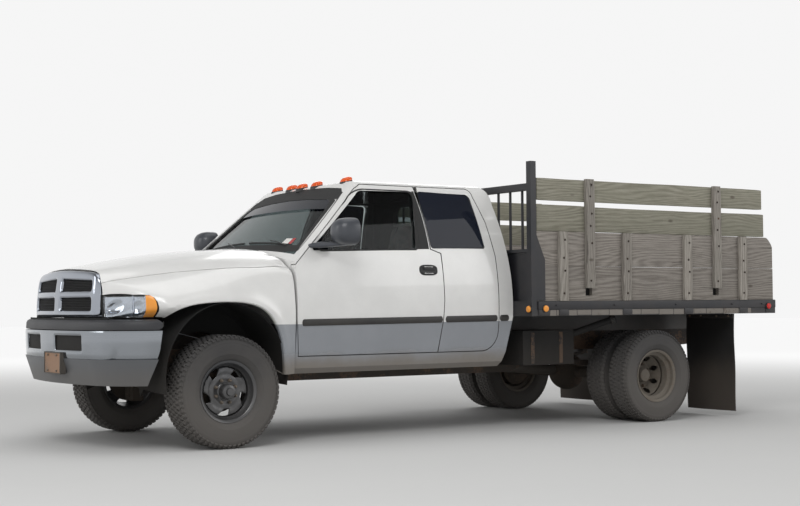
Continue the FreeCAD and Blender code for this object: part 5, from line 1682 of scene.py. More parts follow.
@dataclass
class SideTrim:
    """The mouldings, the door handle, the rear pane, the pillar cover and the seals on one side."""

    side: Side
    strip_low: float = 0.852
    strip_high: float = 0.901
    breaks: tuple[tuple[float, float, str], ...] = (
        (0.588, 1.838, "front_door"),
        (1.868, 2.372, "rear_door"),
        (2.398, 2.486, "chassis"),
    )

    def moulding(self, skin: Skin, start: float, end: float) -> Shape:
        """Runs a rounded rub strip over the skin between two stations.

        Args:
            skin: the side's surface.
            start: metres behind the front axle.
            end: the other end.

        Returns:
            Points and faces on the left side.
        """
        rings = []
        long = end - start
        count = max(4, int(long / 0.05))
        tips = [reach / long for reach in (0.0, 0.0015, 0.004, 0.008, 0.012, 0.016)]
        inner = [number / count for number in range(1, count) if 0.02 < number / count * long < long - 0.02]
        section = [(-1, -0.004), (-1, 0.004), (-0.72, 0.0085), (-0.2, 0.01)]
        section += [(-rise, proud) for rise, proud in reversed(section)]
        for share in tips + inner + [1 - tip for tip in reversed(tips)]:
            back = start + long * share
            lift = 0.012 * (back - 0.6)
            edge = min(share, 1 - share) * long
            reach = max(0.12, math.sqrt(1 - (1 - min(1.0, edge / 0.016)) ** 2))
            middle = (self.strip_low + self.strip_high) / 2 + lift * 0.6
            half = (self.strip_high - self.strip_low) / 2 * reach
            ring = []
            for rise, proud in section:
                x, y, z = skin.side(station(back), middle + rise * half)
                ring.append((x, min(y + proud * (0.5 + 0.5 * reach), 0.9975), z))
            rings.append(ring)
        return loft(rings)

    def handle(self, skin: Skin) -> list[Piece]:
        """Makes the oval pull with its dish and its paddle.

        Args:
            skin: the side's surface.

        Returns:
            The pieces.
        """
        middle_x, middle_z, long, tall = station(1.721), 1.267, 0.082, 0.04
        rings = []
        for scale, proud in (
            (1.06, -0.004), (1.0, 0.006), (0.9, 0.009), (0.8, 0.008), (0.74, 0.002), (0.6, 0.0008)
        ):
            ring = [(middle_x + long * scale * u, middle_z + tall * scale * v) for u, v in oval(40, 0.6, 0.7)]
            rings.append([skin.side(x, z, proud) for x, z in ring])
        surround = loft(rings)
        y = skin.side(middle_x, middle_z)[1]
        low, high = (
            middle_x - 0.052, y - 0.001, middle_z - 0.002
        ), (middle_x + 0.05, y + 0.0075, middle_z + 0.022)
        paddle = brick(low, high, 0.0035, 3)
        return [built(f"door_handle_{self.side.word}", *mirrored(merged(surround, paddle), self.side), TRIM)]

    def side_of(self, z: float) -> float:
        """Gives the cab side's y at a height in the window zone."""
        table = (
            (1.39, 0.942), (1.42, 0.934), (1.46, 0.923), (1.5, 0.912), (1.6, 0.88), (1.7, 0.844),
            (1.8, 0.802), (1.88, 0.765), (1.92, 0.745),
        )
        return read_off(table, z)

    def cover(self, outline: Sequence[Pair], proud: float, thick: float = 0.0015) -> Shape:
        """Lays a sheet on the side's window zone.

        Args:
            outline: (x, z) corners.
            proud: how far its face lies out of the side.
            thick: its thickness.

        Returns:
            Points and faces on the left side.
        """
        return panel(outline, (), 0.06, lambda x, z: (x, self.side_of(z) + proud, z), thick)

    def glazing(self) -> dict[str, list[Piece]]:
        """Makes the flush rear glass, the black pillar cover and the seals round the windows.

        Returns:
            Pieces for each door.
        """
        word = self.side.word
        window = (
            (1.4355, 1.402), (0.5085, 1.427), (0.5, 1.6), (0.473, 1.886), (0.963, 1.886), (1.062, 1.842)
        )
        window = rounded(window, 0.05, 5)
        path = [(x, (self.side_of(z) - 0.002) * self.side.value, z) for x, z in window]
        front = [strip(f"front_door_seal_{word}", path, 0.009, 0.016, RUBBER, 8, 0.0, True)]
        pillar = [
            (0.4245, 1.431), (0.55, 1.428), (0.541, 1.5), (0.521, 1.6), (0.504, 1.7), (0.484, 1.8),
            (0.472, 1.889), (0.4535, 1.889), (0.444, 1.8), (0.436, 1.7), (0.4295, 1.6), (0.426, 1.5),
        ]
        front.append(built(f"pillar_cover_{word}", *mirrored(self.cover(pillar, 0.0012), self.side), RUBBER))
        pane = [(0.4015, 1.437), (-0.112, 1.449), (-0.09, 1.68), (-0.06, 1.874), (0.4205, 1.889)]
        pane = rounded(pane + [(0.421, 1.8), (0.4175, 1.7), (0.4125, 1.6), (0.4065, 1.5)], 0.03, 4)
        rear = [built(f"rear_pane_{word}", *mirrored(self.cover(pane, 0.002, 0.003), self.side), TINTED)]
        path = [(x, (self.side_of(z) + 0.0004) * self.side.value, z) for x, z in pane]
        rear.append(strip(f"rear_seal_{word}", path, 0.005, 0.005, RUBBER, 6, 0.0, True))
        return {"front_door": front, "rear_door": rear}

    def build(self) -> None:
        """Builds the side's trim and rides it on the doors."""
        word = self.side.word
        skin = Skin("front_door_left", "rear_door_left", "cab_shell")
        pieces: dict[str, list[Piece]] = {"front_door": [], "rear_door": [], "chassis": []}
        for number, (start, end, body) in enumerate(self.breaks):
            shape = mirrored(self.moulding(skin, start, end), self.side)
            pieces[body].append(built(f"moulding_{number}_{word}", *shape, TRIM))
        pieces["front_door"] += self.handle(skin)
        glazing = self.glazing()
        pieces["front_door"] += glazing["front_door"]
        ride(
            joined(f"rear_window_{word}", glazing["rear_door"]),
            f"rear_door_{word}",
            "glass",
            f"rear_glass_{word}",
        )
        for body, group in pieces.items():
            name = body if body == "chassis" else f"{body}_{word}"
            ride(joined(f"trim_{body}_{word}", group), name, "black_plastic")


@dataclass
class Windscreen:
    """The screen's black border, its shade band, the wipers and the blank stickers."""

    outer: tuple[Pair, ...] = (
        (0.0, 1.4), (0.45, 1.4), (0.852, 1.402), (0.84, 1.46), (0.828, 1.5), (0.795, 1.6), (0.757, 1.7),
        (0.715, 1.8), (0.682, 1.865), (0.62, 1.902), (0.42, 1.92), (0.0, 1.929),
    )
    inner: tuple[Pair, ...] = (
        (0.0, 1.473), (0.4, 1.464), (0.778, 1.448), (0.772, 1.5), (0.736, 1.6), (0.697, 1.7), (0.655, 1.785),
        (0.6, 1.812), (0.3, 1.832), (0.0, 1.838),
    )
    band: tuple[Pair, ...] = (
        (0.0, 1.752), (0.4, 1.748), (0.725, 1.733), (0.7, 1.79), (0.62, 1.83), (0.3, 1.85), (0.0, 1.855)
    )

    def face(self, y: float, z: float, proud: float) -> Point:
        """Gives a point on the screen's outer plane, moved outwards."""
        x = 1.13 - 1.135 * (z - 1.85) - 0.118 * y * y
        return (x + proud * 0.66, y, z + proud * 0.75)

    def whole(self, half: Sequence[Pair]) -> list[Pair]:
        """Mirrors a half outline, whose first and last points lie on the middle."""
        return list(half) + [(-y, z) for y, z in reversed(half[1:-1])]

    def wiper(self, name: str, pivot: float, first: float, last: float) -> list[Piece]:
        """Makes one arm with its blade, parked along the base.

        Args:
            name: the piece's name.
            pivot: y of the arm's pivot.
            first: y of the blade's outer end.
            last: y of its inner end.

        Returns:
            The arm and the blade.
        """

        def low(y: float) -> float:
            """Gives the blade's height on the screen."""
            return 1.494 - 0.05 * (abs(y) / 0.8) ** 2

        grip = (first + last) / 2
        root, tip = Vector(self.face(pivot, 1.447, 0.006)), Vector(self.face(grip, low(grip) + 0.014, 0.004))
        line = [root + Vector((0.004, 0, -0.02)), root, root.lerp(tip, 0.5) + Vector((0.01, 0, 0.01)), tip]
        arm = strip(f"{name}_arm", line, 0.014, 0.008, TRIM, 6)
        alongs = [first + (last - first) * k / 10 for k in range(11)]
        path = [self.face(y, low(y), -0.006) for y in alongs]
        return [arm, strip(f"{name}_blade", path, 0.009, 0.017, RUBBER, 6)]

    def build(self) -> None:
        """Builds the screen's pieces."""
        holes = (self.whole(self.inner),)
        border = panel(self.whole(self.outer), holes, 0.05, lambda y, z: self.face(y, z, 0.0012), 0.002)
        pieces = [built("screen_border", *border, RUBBER)]
        pieces += self.wiper("wiper_driver", 0.66, 0.7, 0.06)
        pieces += self.wiper("wiper_passenger", -0.06, -0.02, -0.62)
        for side in Side:
            path = [self.face(side.value * (y + 0.004), z, 0.001) for y, z in self.outer[2:9]]
            pieces.append(strip(f"screen_trim_{side.word}", path, 0.012, 0.006, TRIM, 6))
        ride(joined("screen_dress", pieces), "chassis", "black_plastic")
        shade = panel(self.whole(self.band), (), 0.06, lambda y, z: self.face(y, z, -0.0015), 0.001)
        ride(built("screen_shade", *shade, SHADE), "chassis", "glass")
        stickers = (("pale", 0.545, 0.625, STICKER), ("red", 0.632, 0.668, STICKER_RED))
        for name, start, end, finish in stickers:
            outline = [(start, 1.474), (end, 1.47), (end, 1.512), (start, 1.516)]
            sheet = panel(outline, (), 0.05, lambda y, z: self.face(y, z, -0.0085), 0.0006)
            ride(built(f"screen_sticker_{name}", *sheet, finish), "chassis", "lens")


@dataclass
class DoorMirror:
    """A round-cornered mirror head on its arm."""

    side: Side

    def head(self) -> Shape:
        """Makes the bulged shell on the left side.

        Returns:
            Points and faces.
        """
        middle = Vector((station(0.858), 1.142, 1.538))
        rings = []
        for depth, scale in (
            (-0.072, 0.88), (-0.07, 0.98), (-0.055, 1.0), (-0.01, 0.99), (0.03, 0.93), (0.062, 0.78),
            (0.085, 0.54), (0.096, 0.2),
        ):
            flat = [(0.112 * scale * u - 0.004, 0.102 * scale * v) for u, v in oval(32, 0.72, 0.72)]
            rings.append([tuple(middle + Vector((depth, y, z))) for y, z in flat])
        return loft(rings)

    def arm(self) -> Shape:
        """Makes the swept arm and its foot on the door.

        Returns:
            Points and faces.
        """
        table = (
            (0.925, 0.645, 0.748, 0.03), (0.96, 0.66, 0.752, 0.034), (1.0, 0.7, 0.785, 0.03),
            (1.06, 0.75, 0.83, 0.027), (1.12, 0.79, 0.86, 0.026), (1.165, 0.812, 0.87, 0.02),
        )
        rings = []
        for y, back_low, back_high, half in table:
            front, rear = station(back_low + 0.03), station(back_high + 0.03)
            z = 1.438 + (y - 0.925) * 0.045
            section = [
                (front, z - half * 0.5), (front, z + half * 0.5), (rear, z + half), (rear, z - half * 0.55)
            ]
            rings.append([(x, y, height) for x, height in rounded(section, 0.02, 3)])
        return loft(rings)

    def build(self) -> None:
        """Builds the mirror on its door."""
        word = self.side.word
        shape = mirrored(merged(self.head(), self.arm()), self.side)
        shell = built(f"mirror_shell_{word}", *shape, MIRROR_SHELL, 50.0)
        outline = rounded([(1.05, 1.458), (1.232, 1.458), (1.232, 1.618), (1.05, 1.618)], 0.05, 6)
        face = slab([(station(0.932), y, z) for y, z in outline], (-0.0022, 0, 0))
        silver = built(f"mirror_face_{word}", *mirrored(face, self.side), MIRROR_FACE)
        ride(
            joined(f"mirror_dress_{word}", [shell, silver]),
            f"front_door_{word}",
            "black_plastic",
            f"mirror_{word}",
        )


@dataclass
class RoofLamps:
    """Five small marker lamps above the screen."""

    places: tuple[Pair, ...] = ((1.235, 0.55), (1.177, 0.2), (1.157, 0.0), (1.177, -0.2), (1.235, -0.55))
    long: float = 0.045
    wide: float = 0.047
    lean: float = -0.2

    def ring(self, seat: Vector, scale: float, rise: float) -> list[Point]:
        """Gives one level of a lamp's dome."""
        flat = [(self.long * scale * u - rise * 0.25, self.wide * scale * v) for u, v in oval(28, 0.8, 0.8)]
        return [(seat.x + x, seat.y + y, seat.z + self.lean * x + rise) for x, y in flat]

    def build(self) -> None:
        """Seats each lamp on the roof."""
        skin = Skin("cab_shell")
        lenses, bases = [], []
        foot = ((1.0, -0.02), (1.04, -0.004), (1.04, 0.004), (0.98, 0.006))
        dome = ((0.98, 0.004), (0.97, 0.014), (0.89, 0.024), (0.68, 0.0325), (0.38, 0.037), (0.12, 0.038))
        for back, y in self.places:
            found = skin.meet((station(back), y, 2.4), (0, 0, -1))
            seat = found or Vector((station(back), y, 1.95))
            bases.append(loft([self.ring(seat, scale, rise) for scale, rise in foot]))
            lenses.append(loft([self.ring(seat, scale, rise) for scale, rise in dome]))
        base = built("roof_lamp_bases", *merged(*bases), TRIM)
        lens = built("roof_lamp_lenses", *merged(*lenses), ORANGE)
        ride(joined("roof_lamp_dress", [base, lens]), "chassis", "amber_lens", "roof_lamps")


# The nose


def inside(loop: Sequence[Pair], u: float, v: float) -> bool:
    """Says whether a flat point lies within a loop."""
    hit = False
    for (u1, v1), (u2, v2) in zip(loop, list(loop[1:]) + [loop[0]]):
        if (v1 > v) != (v2 > v) and u < (u2 - u1) * (v - v1) / (v2 - v1) + u1:
            hit = not hit
    return hit


def dense(loop: Sequence[Pair], step: float) -> list[Pair]:
    """Adds points to a loop so that none lie further apart than a step."""
    result = []
    for (u1, v1), (u2, v2) in zip(loop, list(loop[1:]) + [loop[0]]):
        count = max(1, math.ceil(math.hypot(u2 - u1, v2 - v1) / step))
        result += [(u1 + (u2 - u1) * k / count, v1 + (v2 - v1) * k / count) for k in range(count)]
    return result


def shifted(loop: Sequence[Pair], away: float) -> list[Pair]:
    """Moves each point of a loop across it, to the left of its run."""
    result = []
    for number, (u, v) in enumerate(loop):
        before, after = loop[number - 1], loop[(number + 1) % len(loop)]
        run = Vector((after[0] - before[0], after[1] - before[1])).normalized()
        result.append((u - run.y * away, v + run.x * away))
    return result


def thicken(work: bmesh.types.BMesh, thick: float, way: Point | None) -> None:
    """Gives an open skin a back and a rim.

    Args:
        work: the skin.
        thick: how far the back is set off, against the normals.
        way: the one direction in which it is set off, or None for the normals.
    """
    work.normal_update()
    skin, rim = work.faces[:], [edge.link_loops[0] for edge in work.edges if edge.is_boundary]
    pairs = [(loop.vert, loop.link_loop_next.vert) for loop in rim]
    twins = {
        vert: work.verts.new(vert.co + (Vector(way) * thick if way else -vert.normal * thick))
        for vert in work.verts[:]
    }
    for face in skin:
        work.faces.new([twins[vert] for vert in reversed(face.verts)])
    for one, two in pairs:
        work.faces.new([two, one, twins[one], twins[two]])
    bmesh.ops.recalc_face_normals(work, faces=work.faces[:])


def outline_tree(loops: Iterable[Sequence[Pair]]) -> KDTree:
    """Makes a search tree of close points on flat loops, for distances to them."""
    points = [point for loop in loops for point in dense(loop, 0.0015)]
    tree = KDTree(len(points))
    for number, (u, v) in enumerate(points):
        tree.insert((u, v, 0), number)
    tree.balance()
    return tree


def panel(
    edge: Sequence[Pair],
    holes: Sequence[Sequence[Pair]],
    step: float,
    place: Callable[[float, float], Point],
    thick: float,
    bands: Sequence[float] = (),
    way: Point | None = None,
) -> Shape:
    """Meshes a flat outline, carries it onto a surface and gives it a thickness.

    Args:
        edge: the outline.
        holes: loops that stay open.
        step: spacing of the mesh.
        place: gives the point in space for a flat point.
        thick: thickness, set off against the faces' normals.
        bands: distances from the edges at which rows of points follow them.
        way: the one direction in which the back is set off, when it isn't the normals'.

    Returns:
        Points and faces.
    """
    loops = [dense(loop, step) for loop in (edge, *holes)]
    flat, links = [], []
    for loop in loops:
        start = len(flat)
        flat += [Vector(point) for point in loop]
        links += [(start + k, start + (k + 1) % len(loop)) for k in range(len(loop))]
    low = [min(point[axis] for point in loops[0]) for axis in (0, 1)]
    high = [max(point[axis] for point in loops[0]) for axis in (0, 1)]
    rim = list(flat)
    free = max(bands, default=0.0) + (0.45 if not bands else 0.6) * step
    for number, loop in enumerate(loops):
        turn = sum(u1 * v2 - u2 * v1 for (u1, v1), (u2, v2) in zip(loop, loop[1:] + loop[:1]))
        sign = (1 if turn > 0 else -1) * (1 if number == 0 else -1)
        for away in bands:
            flat += [Vector(point) for point in shifted(loop, away * sign)]
    for row in range(1, int((high[1] - low[1]) / step) + 1):
        for column in range(1, int((high[0] - low[0]) / step) + 1):
            u, v = low[0] + (column + 0.5 * (row % 2)) * step, low[1] + row * step
            if inside(loops[0], u, v) and not any(inside(loop, u, v) for loop in loops[1:]):
                if min((point.x - u) ** 2 + (point.y - v) ** 2 for point in rim) > free ** 2:
                    flat.append(Vector((u, v)))
    found = delaunay_2d_cdt(flat, links, [], 0, 1e-6, False)
    points, faces = found[0], []
    for face in found[2]:
        u, v = (sum(points[number][axis] for number in face) / 3 for axis in (0, 1))
        if inside(loops[0], u, v) and not any(inside(loop, u, v) for loop in loops[1:]):
            faces.append(face)
    work = bmesh.new()
    verts = [work.verts.new(place(point.x, point.y)) for point in points]
    for face in faces:
        work.faces.new([verts[number] for number in face])
    loose = [vert for vert in work.verts if not vert.link_faces]
    bmesh.ops.delete(work, geom=loose, context="VERTS")
    thicken(work, thick, way)
    return unpack(work)


class NoseForm:
    """The smooth outer form of hood and fenders, as a radius about a line along the truck."""

    def __init__(self) -> None:
        """Reads the form off the CAD skins by rays, fills its gaps and smooths it."""
        self.axis, self.low, self.high = 0.75, 1.640, 3.060
        self.columns, self.rows = 96, 120
        self.first, self.last = math.radians(-17), math.radians(90)
        skin = Skin("hood", "fender_left", "headlamps")
        table = [[self.read(skin, column, row) for column in range(self.columns)] for row in range(self.rows)]
        for row in range(self.rows):
            self.fill(table[row])
        for row in range(self.rows - 2, -1, -1):
            if table[row][0] is None:
                table[row] = [
                    radius * math.cos(self.turn(row + 1)) / math.cos(self.turn(row))
                    for radius in table[row + 1]
                ]
        for column in range(self.columns):
            closed = self.closing([line[column] for line in table], 5)
            for line, radius in zip(table, closed):
                line[column] = radius
        for _ in range(2):
            table = [self.smooth(line, 3) for line in table]
            table = [list(line) for line in zip(*[self.smooth(list(line), 3) for line in zip(*table)])]
        self.table = table

    def turn(self, row: float) -> float:
        """Gives the angle of a row."""
        return self.first + (self.last - self.first) * row / (self.rows - 1)

    def read(self, skin: Skin, column: int, row: int) -> float | None:
        """Gives the skin's radius at one cell, or nothing at a gap."""
        x, turn = self.low + (self.high - self.low) * column / (self.columns - 1), self.turn(row)
        way = (0, -math.cos(turn), -math.sin(turn))
        found = skin.meet((x, 2 * math.cos(turn), self.axis + 2 * math.sin(turn)), way)
        if found is None:
            return None
        radius = math.hypot(found.y, found.z - self.axis)
        least = 0.93 / max(0.2, math.cos(turn)) if turn < 0.2 and x < 2.62 else 0.36
        return radius if radius > least else None

    def fill(self, line: list) -> None:
        """Fills the gaps of a row from both sides, or leaves it empty."""
        known = [k for k, radius in enumerate(line) if radius is not None]
        if len(known) < 6:
            line[:] = [None] * len(line)
            return
        for one, two in zip(known, known[1:]):
            for k in range(one + 1, two):
                line[k] = line[one] + (line[two] - line[one]) * (k - one) / (two - one)
        for k in range(known[0]):
            line[k] = line[known[0]]
        end = known[-1]
        slope = (line[end] - line[max(0, end - 5)]) / 5
        for k in range(end + 1, len(line)):
            line[k] = line[end] + slope * (k - end)

    def closing(self, line: list, reach: int) -> list:
        """Fills the narrow dips of a column, such as the seam round the hood."""
        high = [max(line[max(0, k - reach) : k + reach + 1]) for k in range(len(line))]
        return [min(high[max(0, k - reach) : k + reach + 1]) for k in range(len(line))]

    def smooth(self, line: list, reach: int) -> list:
        """Averages a row with its neighbours."""
        result = []
        for k in range(len(line)):
            total = weight = 0.0
            for shift in range(-reach, reach + 1):
                share = 1 + math.cos(math.pi * shift / (reach + 1))
                total += share * line[min(max(k + shift, 0), len(line) - 1)]
                weight += share
            result.append(total / weight)
        return result

    def place(self, x: float, turn: float, proud: float = 0.0) -> Point:
        """Gives the surface's point at an x and an angle.

        Args:
            x: place along the truck.
            turn: angle about the line, 0 at the left side.
            proud: distance out of the surface.

        Returns:
            The point.
        """
        u = min(max((x - self.low) / (self.high - self.low) * (self.columns - 1), 0), self.columns - 1.001)
        v = min(max((turn - self.first) / (self.last - self.first) * (self.rows - 1), 0), self.rows - 1.001)
        column, row = int(u), int(v)
        u, v = u - column, v - row
        one, two = self.table[row], self.table[row + 1]
        low, high = (line[column] * (1 - u) + line[column + 1] * u for line in (one, two))
        radius = low * (1 - v) + high * v + proud
        return (x, radius * math.cos(turn), self.axis + radius * math.sin(turn))

    def turn_at(self, x: float, z: float) -> float:
        """Gives the angle at which the surface has a height."""
        low, high = self.first, math.radians(80)
        for _ in range(30):
            middle = (low + high) / 2
            if self.place(x, middle)[2] < z:
                low = middle
            else:
                high = middle
        return (low + high) / 2


SEAM = (
    (0.806, 1.165), (0.640, 1.197), (0.466, 1.222), (0.300, 1.243), (0.123, 1.258), (-0.063, 1.272),
    (-0.300, 1.279), (-0.530, 1.281),
)
ARCH = (
    (0.4755, 0.86), (0.4455, 0.925), (0.405, 0.968), (0.335, 1.0), (0.24, 1.021), (0.1, 1.032),
    (-0.03, 1.034), (-0.15, 1.025), (-0.25, 0.998), (-0.33, 0.945), (-0.385, 0.87), (-0.424, 0.78),
    (-0.448, 0.65), (-0.457, 0.507),
)


def eased(line: Sequence[Pair], times: int = 2) -> list[Pair]:
    """Rounds an open line by cutting its corners."""
    for _ in range(times):
        inner = []
        for (u1, v1), (u2, v2) in zip(line, line[1:]):
            for near, far in ((0.75, 0.25), (0.25, 0.75)):
                inner.append((near * u1 + far * u2, near * v1 + far * v2))
        line = [line[0], *inner[1:-1], line[-1]]
    return list(line)


@dataclass
class Nose:
    """Hood, fenders and wheel housings on the smooth form."""

    mesh_step: float = 0.02
    skin: float = 0.004
    gap: float = 0.0035
    flare: float = 0.009
    flare_wide: float = 0.066

    def flat(self, form: NoseForm, rows: Iterable[Pair]) -> list[Pair]:
        """Turns places (ahead of the front axle, height) into the form's flat coordinates."""
        return [(FRONT_AXLE + ahead, form.turn_at(FRONT_AXLE + ahead, z)) for ahead, z in rows]

    def hood(self, form: NoseForm) -> None:
        """Makes the hood with its turned-down edges."""
        top = math.pi / 2
        seam = [(x, turn + self.gap) for x, turn in self.flat(form, SEAM)]
        ends = (
            (0.806, seam[0][1]), (0.786, 0.724), (0.792, 0.82), (0.811, 1.038), (0.82, 1.2), (0.8255, top)
        )
        front = [(FRONT_AXLE + ahead, turn) for ahead, turn in ends]
        turns = (top, 1.4, 1.22, 1.05, 0.92, 0.82, 0.74, seam[-1][1])
        rear = [(1.6449 + 0.75 * max(0.0, form.place(1.66, turn)[2] - 1.352), turn) for turn in turns]
        edge = front + rear + list(reversed(seam[1:-1]))
        count = len(front)
        whole = edge[:count] + [(x, 2 * top - turn) for x, turn in reversed(edge[: count - 1])]
        whole += [(x, 2 * top - turn) for x, turn in reversed(edge[count + 1 :])] + edge[count + 1 :]

        def place(x: float, v: float) -> Point:
            """Sets a flat point on the form, with the right half mirrored."""
            turn = v if v <= top else 2 * top - v
            x_new, y, z = form.place(x, turn)
            return (x_new, y if v <= top else -y, z)

        shape = panel(whole, (), self.mesh_step, place, -self.skin)
        ride(built("hood_dress", *shape, PAINT, 30.0), "hood", "white_paint", "hood")

    def fender(self, form: NoseForm, side: Side) -> None:
        """Makes a fender with its arch lip, and the near-black housing behind it: a black liner whose colour
        also paints the shade inside the arch.
        """
        word = side.word
        seam = [(x, turn - self.gap) for x, turn in self.flat(form, SEAM)]
        arch = self.flat(form, eased(ARCH[1:]))
        lamp = [(0.803, 1.084), (0.65, 1.084), (0.56, 1.083), (0.532, 1.064), (0.515, 1.03), (0.505, 0.98)]
        lamp = self.flat(form, [*lamp, (0.502, 0.929)])
        low = self.flat(form, ((-0.536, 0.507), (-0.535, 0.95), (-0.534, 1.15)))
        edge = seam + list(reversed(low)) + list(reversed(arch)) + list(reversed(lamp))
        opening = self.flat(form, eased(ARCH))
        lips = outline_tree([opening + list(reversed(opening[1:-1]))])

        def place(x: float, turn: float) -> Point:
            """Sets a flat point on the form, swollen near the wheel's opening."""
            near = lips.find((x, turn, 0))[2] if x < 2.72 and turn < 0.8 else 1.0
            share = min(1.0, 1.5 * max(0.0, 1 - near / self.flare_wide))
            bulge = self.flare * share * share * (3 - 2 * share)
            x_new, y, z = form.place(x, turn, bulge)
            return (x_new, min(y, 0.997), z)

        shape = panel(edge, (), 0.016, place, -self.skin)
        turned = []
        for x, turn in dense(self.flat(form, eased(ARCH[1:])), 0.02)[:-1]:
            if turned and (Vector((x, turn)) - Vector(turned[-1])).length > 0.1:
                break
            turned.append((x, turn))
        outer = [Vector(place(x, turn)) for x, turn in turned if x < 2.63]
        middle = Vector((FRONT_AXLE, 0, 0.5))
        rings = []
        section = ((-0.0005, -0.001), (-0.004, -0.006), (-0.028, -0.008), (-0.028, -0.004), (-0.004, 0.0))
        for point in outer:
            away = Vector((point.x - middle.x, 0, point.z - middle.z)).normalized()
            rings.append([tuple(point + Vector((0, shift, 0)) + away * rise) for shift, rise in section])
        lip = loft(rings)
        body = built(f"fender_panel_{word}", *mirrored(merged(shape, lip), side), PAINT, 30.0)
        # The housing's near-black finish is a black liner and painted shade inside the arch.
        house, y_end = [], 0.966
        for k in range(41):
            angle = math.radians(-12 + 200 * k / 40)
            x, z = FRONT_AXLE + 0.475 * math.cos(angle), 0.505 + 0.521 * math.sin(angle)
            near_x, near_z = x * 0.6 + FRONT_AXLE * 0.4, 0.5 + (z - 0.5) * 0.6
            ring = [(x, y_end, z), (x, 0.56, z + 0.02), (x, 0.505, z - 0.03), (near_x, 0.5, near_z)]
            ring += [
                (near_x, 0.503, near_z), (x, 0.509, z - 0.033), (x, 0.56, z + 0.016), (x, y_end, z - 0.004)
            ]
            house.append(ring)
        liner = built(f"wheel_house_{word}", *mirrored(loft(house), side), PAINTED_SHADE)
        ride(joined(f"fender_dress_{word}", [body, liner]), "chassis", "white_paint", f"fender_{word}")

    def build(self) -> None:
        """Builds the nose's panels."""
        form = NoseForm()
        self.hood(form)
        for side in Side:
            self.fender(form, side)


# Grille, lamps and bumper


@dataclass
class Grille:
    """The chrome cross-bar surround with honeycomb mesh in its four openings."""

    pitch: float = 0.0135
    depth: float = 0.028
    openings: tuple = (
        ((0.055, 1.112), (0.526, 1.112), (0.52, 1.186), (0.055, 1.204)),
        ((0.055, 0.976), (0.53, 0.976), (0.528, 1.067), (0.055, 1.067)),
    )
    outer: tuple = (
        (-0.598, 0.932), (0.598, 0.932), (0.6, 1.1), (0.588, 1.185), (0.545, 1.232), (0.47, 1.247),
        (0.2, 1.262), (0.0, 1.266), (-0.2, 1.262), (-0.47, 1.247), (-0.545, 1.232), (-0.588, 1.185),
        (-0.6, 1.1),
    )

    def face(self, y: float, z: float) -> float:
        """Gives the x of the grille's face."""
        return FRONT_AXLE + 0.897 - 0.165 * y * y - 0.036 * max(0.0, (z - 0.96) / 0.31) ** 2

    def holes(self) -> list[list[Pair]]:
        """Gives the four openings with rounded corners."""
        loops = [rounded(loop, 0.022, 4) for loop in self.openings]
        return loops + [[(-y, z) for y, z in reversed(loop)] for loop in loops]

    def build(self) -> None:
        """Builds the surround, its mesh and a near-black sheet behind it that paints the shade in the space
        behind.
        """
        holes = self.holes()
        outer = rounded(self.outer, 0.03, 3)
        rims = outline_tree((outer, *holes))

        def place(y: float, z: float) -> Point:
            """Sets a flat point on the grille's face, rounded towards its edges."""
            near = rims.find((y, z, 0))[2]
            share = min(1.0, near / 0.024)
            edge = max(0.0, 1 - (0.6 - abs(y)) / 0.05) if abs(y) > 0.55 else 0.0
            drop = 0.013 * (1 - math.sqrt(max(0.0, 1 - (1 - share) ** 2)))
            return (self.face(y, z) - drop - 0.028 * edge * edge, y, z)

        bands = (0.0022, 0.0055, 0.0105, 0.0165, 0.0215)
        shape = panel(outer, holes, 0.012, place, self.depth, bands, (-1, 0, 0))
        surround = built("grille_surround", *shape, CHROME, 50.0)
        points = []
        for share, height in ((0.6, 0.0), (0.6, 0.005), (0.5, 0.005), (0.5, 0.0)):
            points += circle(self.pitch * share, height, 6)
        shape = (points, rings_to_faces(4, 6, True, True))
        places = []
        near = ((0.006, 0), (-0.006, 0), (0, 0.006), (0, -0.006))
        for row in range(int(0.3 / (self.pitch * 0.866))):
            for column in range(-45, 46):
                y, z = (column + 0.5 * (row % 2)) * self.pitch, 0.97 + row * self.pitch * 0.866
                if any(inside(loop, y + dy, z + dz) for loop in holes for dy, dz in near):
                    places.append(((self.face(y, z) - 0.024, y, z), (1, 0.33 * y, 0), (0, 0, 1)))
        mesh = repeated("grille_cells", shape, places, TRIM)
        # Painted shade: a near-black sheet behind the mesh stands in for the shade inside the grille.
        back = []
        for y in (-0.56, -0.28, 0.0, 0.28, 0.56):
            x = self.face(y, 1.0)
            back.append(
                [(x - 0.036, y, 0.955), (x - 0.065, y, 1.225), (x - 0.069, y, 1.225), (x - 0.04, y, 0.955)]
            )
        dark = built("grille_back", *loft(back), PAINTED_SHADE)
        ride(surround, "hood", "chrome", "grille")
        ride(joined("grille_mesh_dress", [mesh, dark]), "hood", "black_plastic", "grille_mesh")


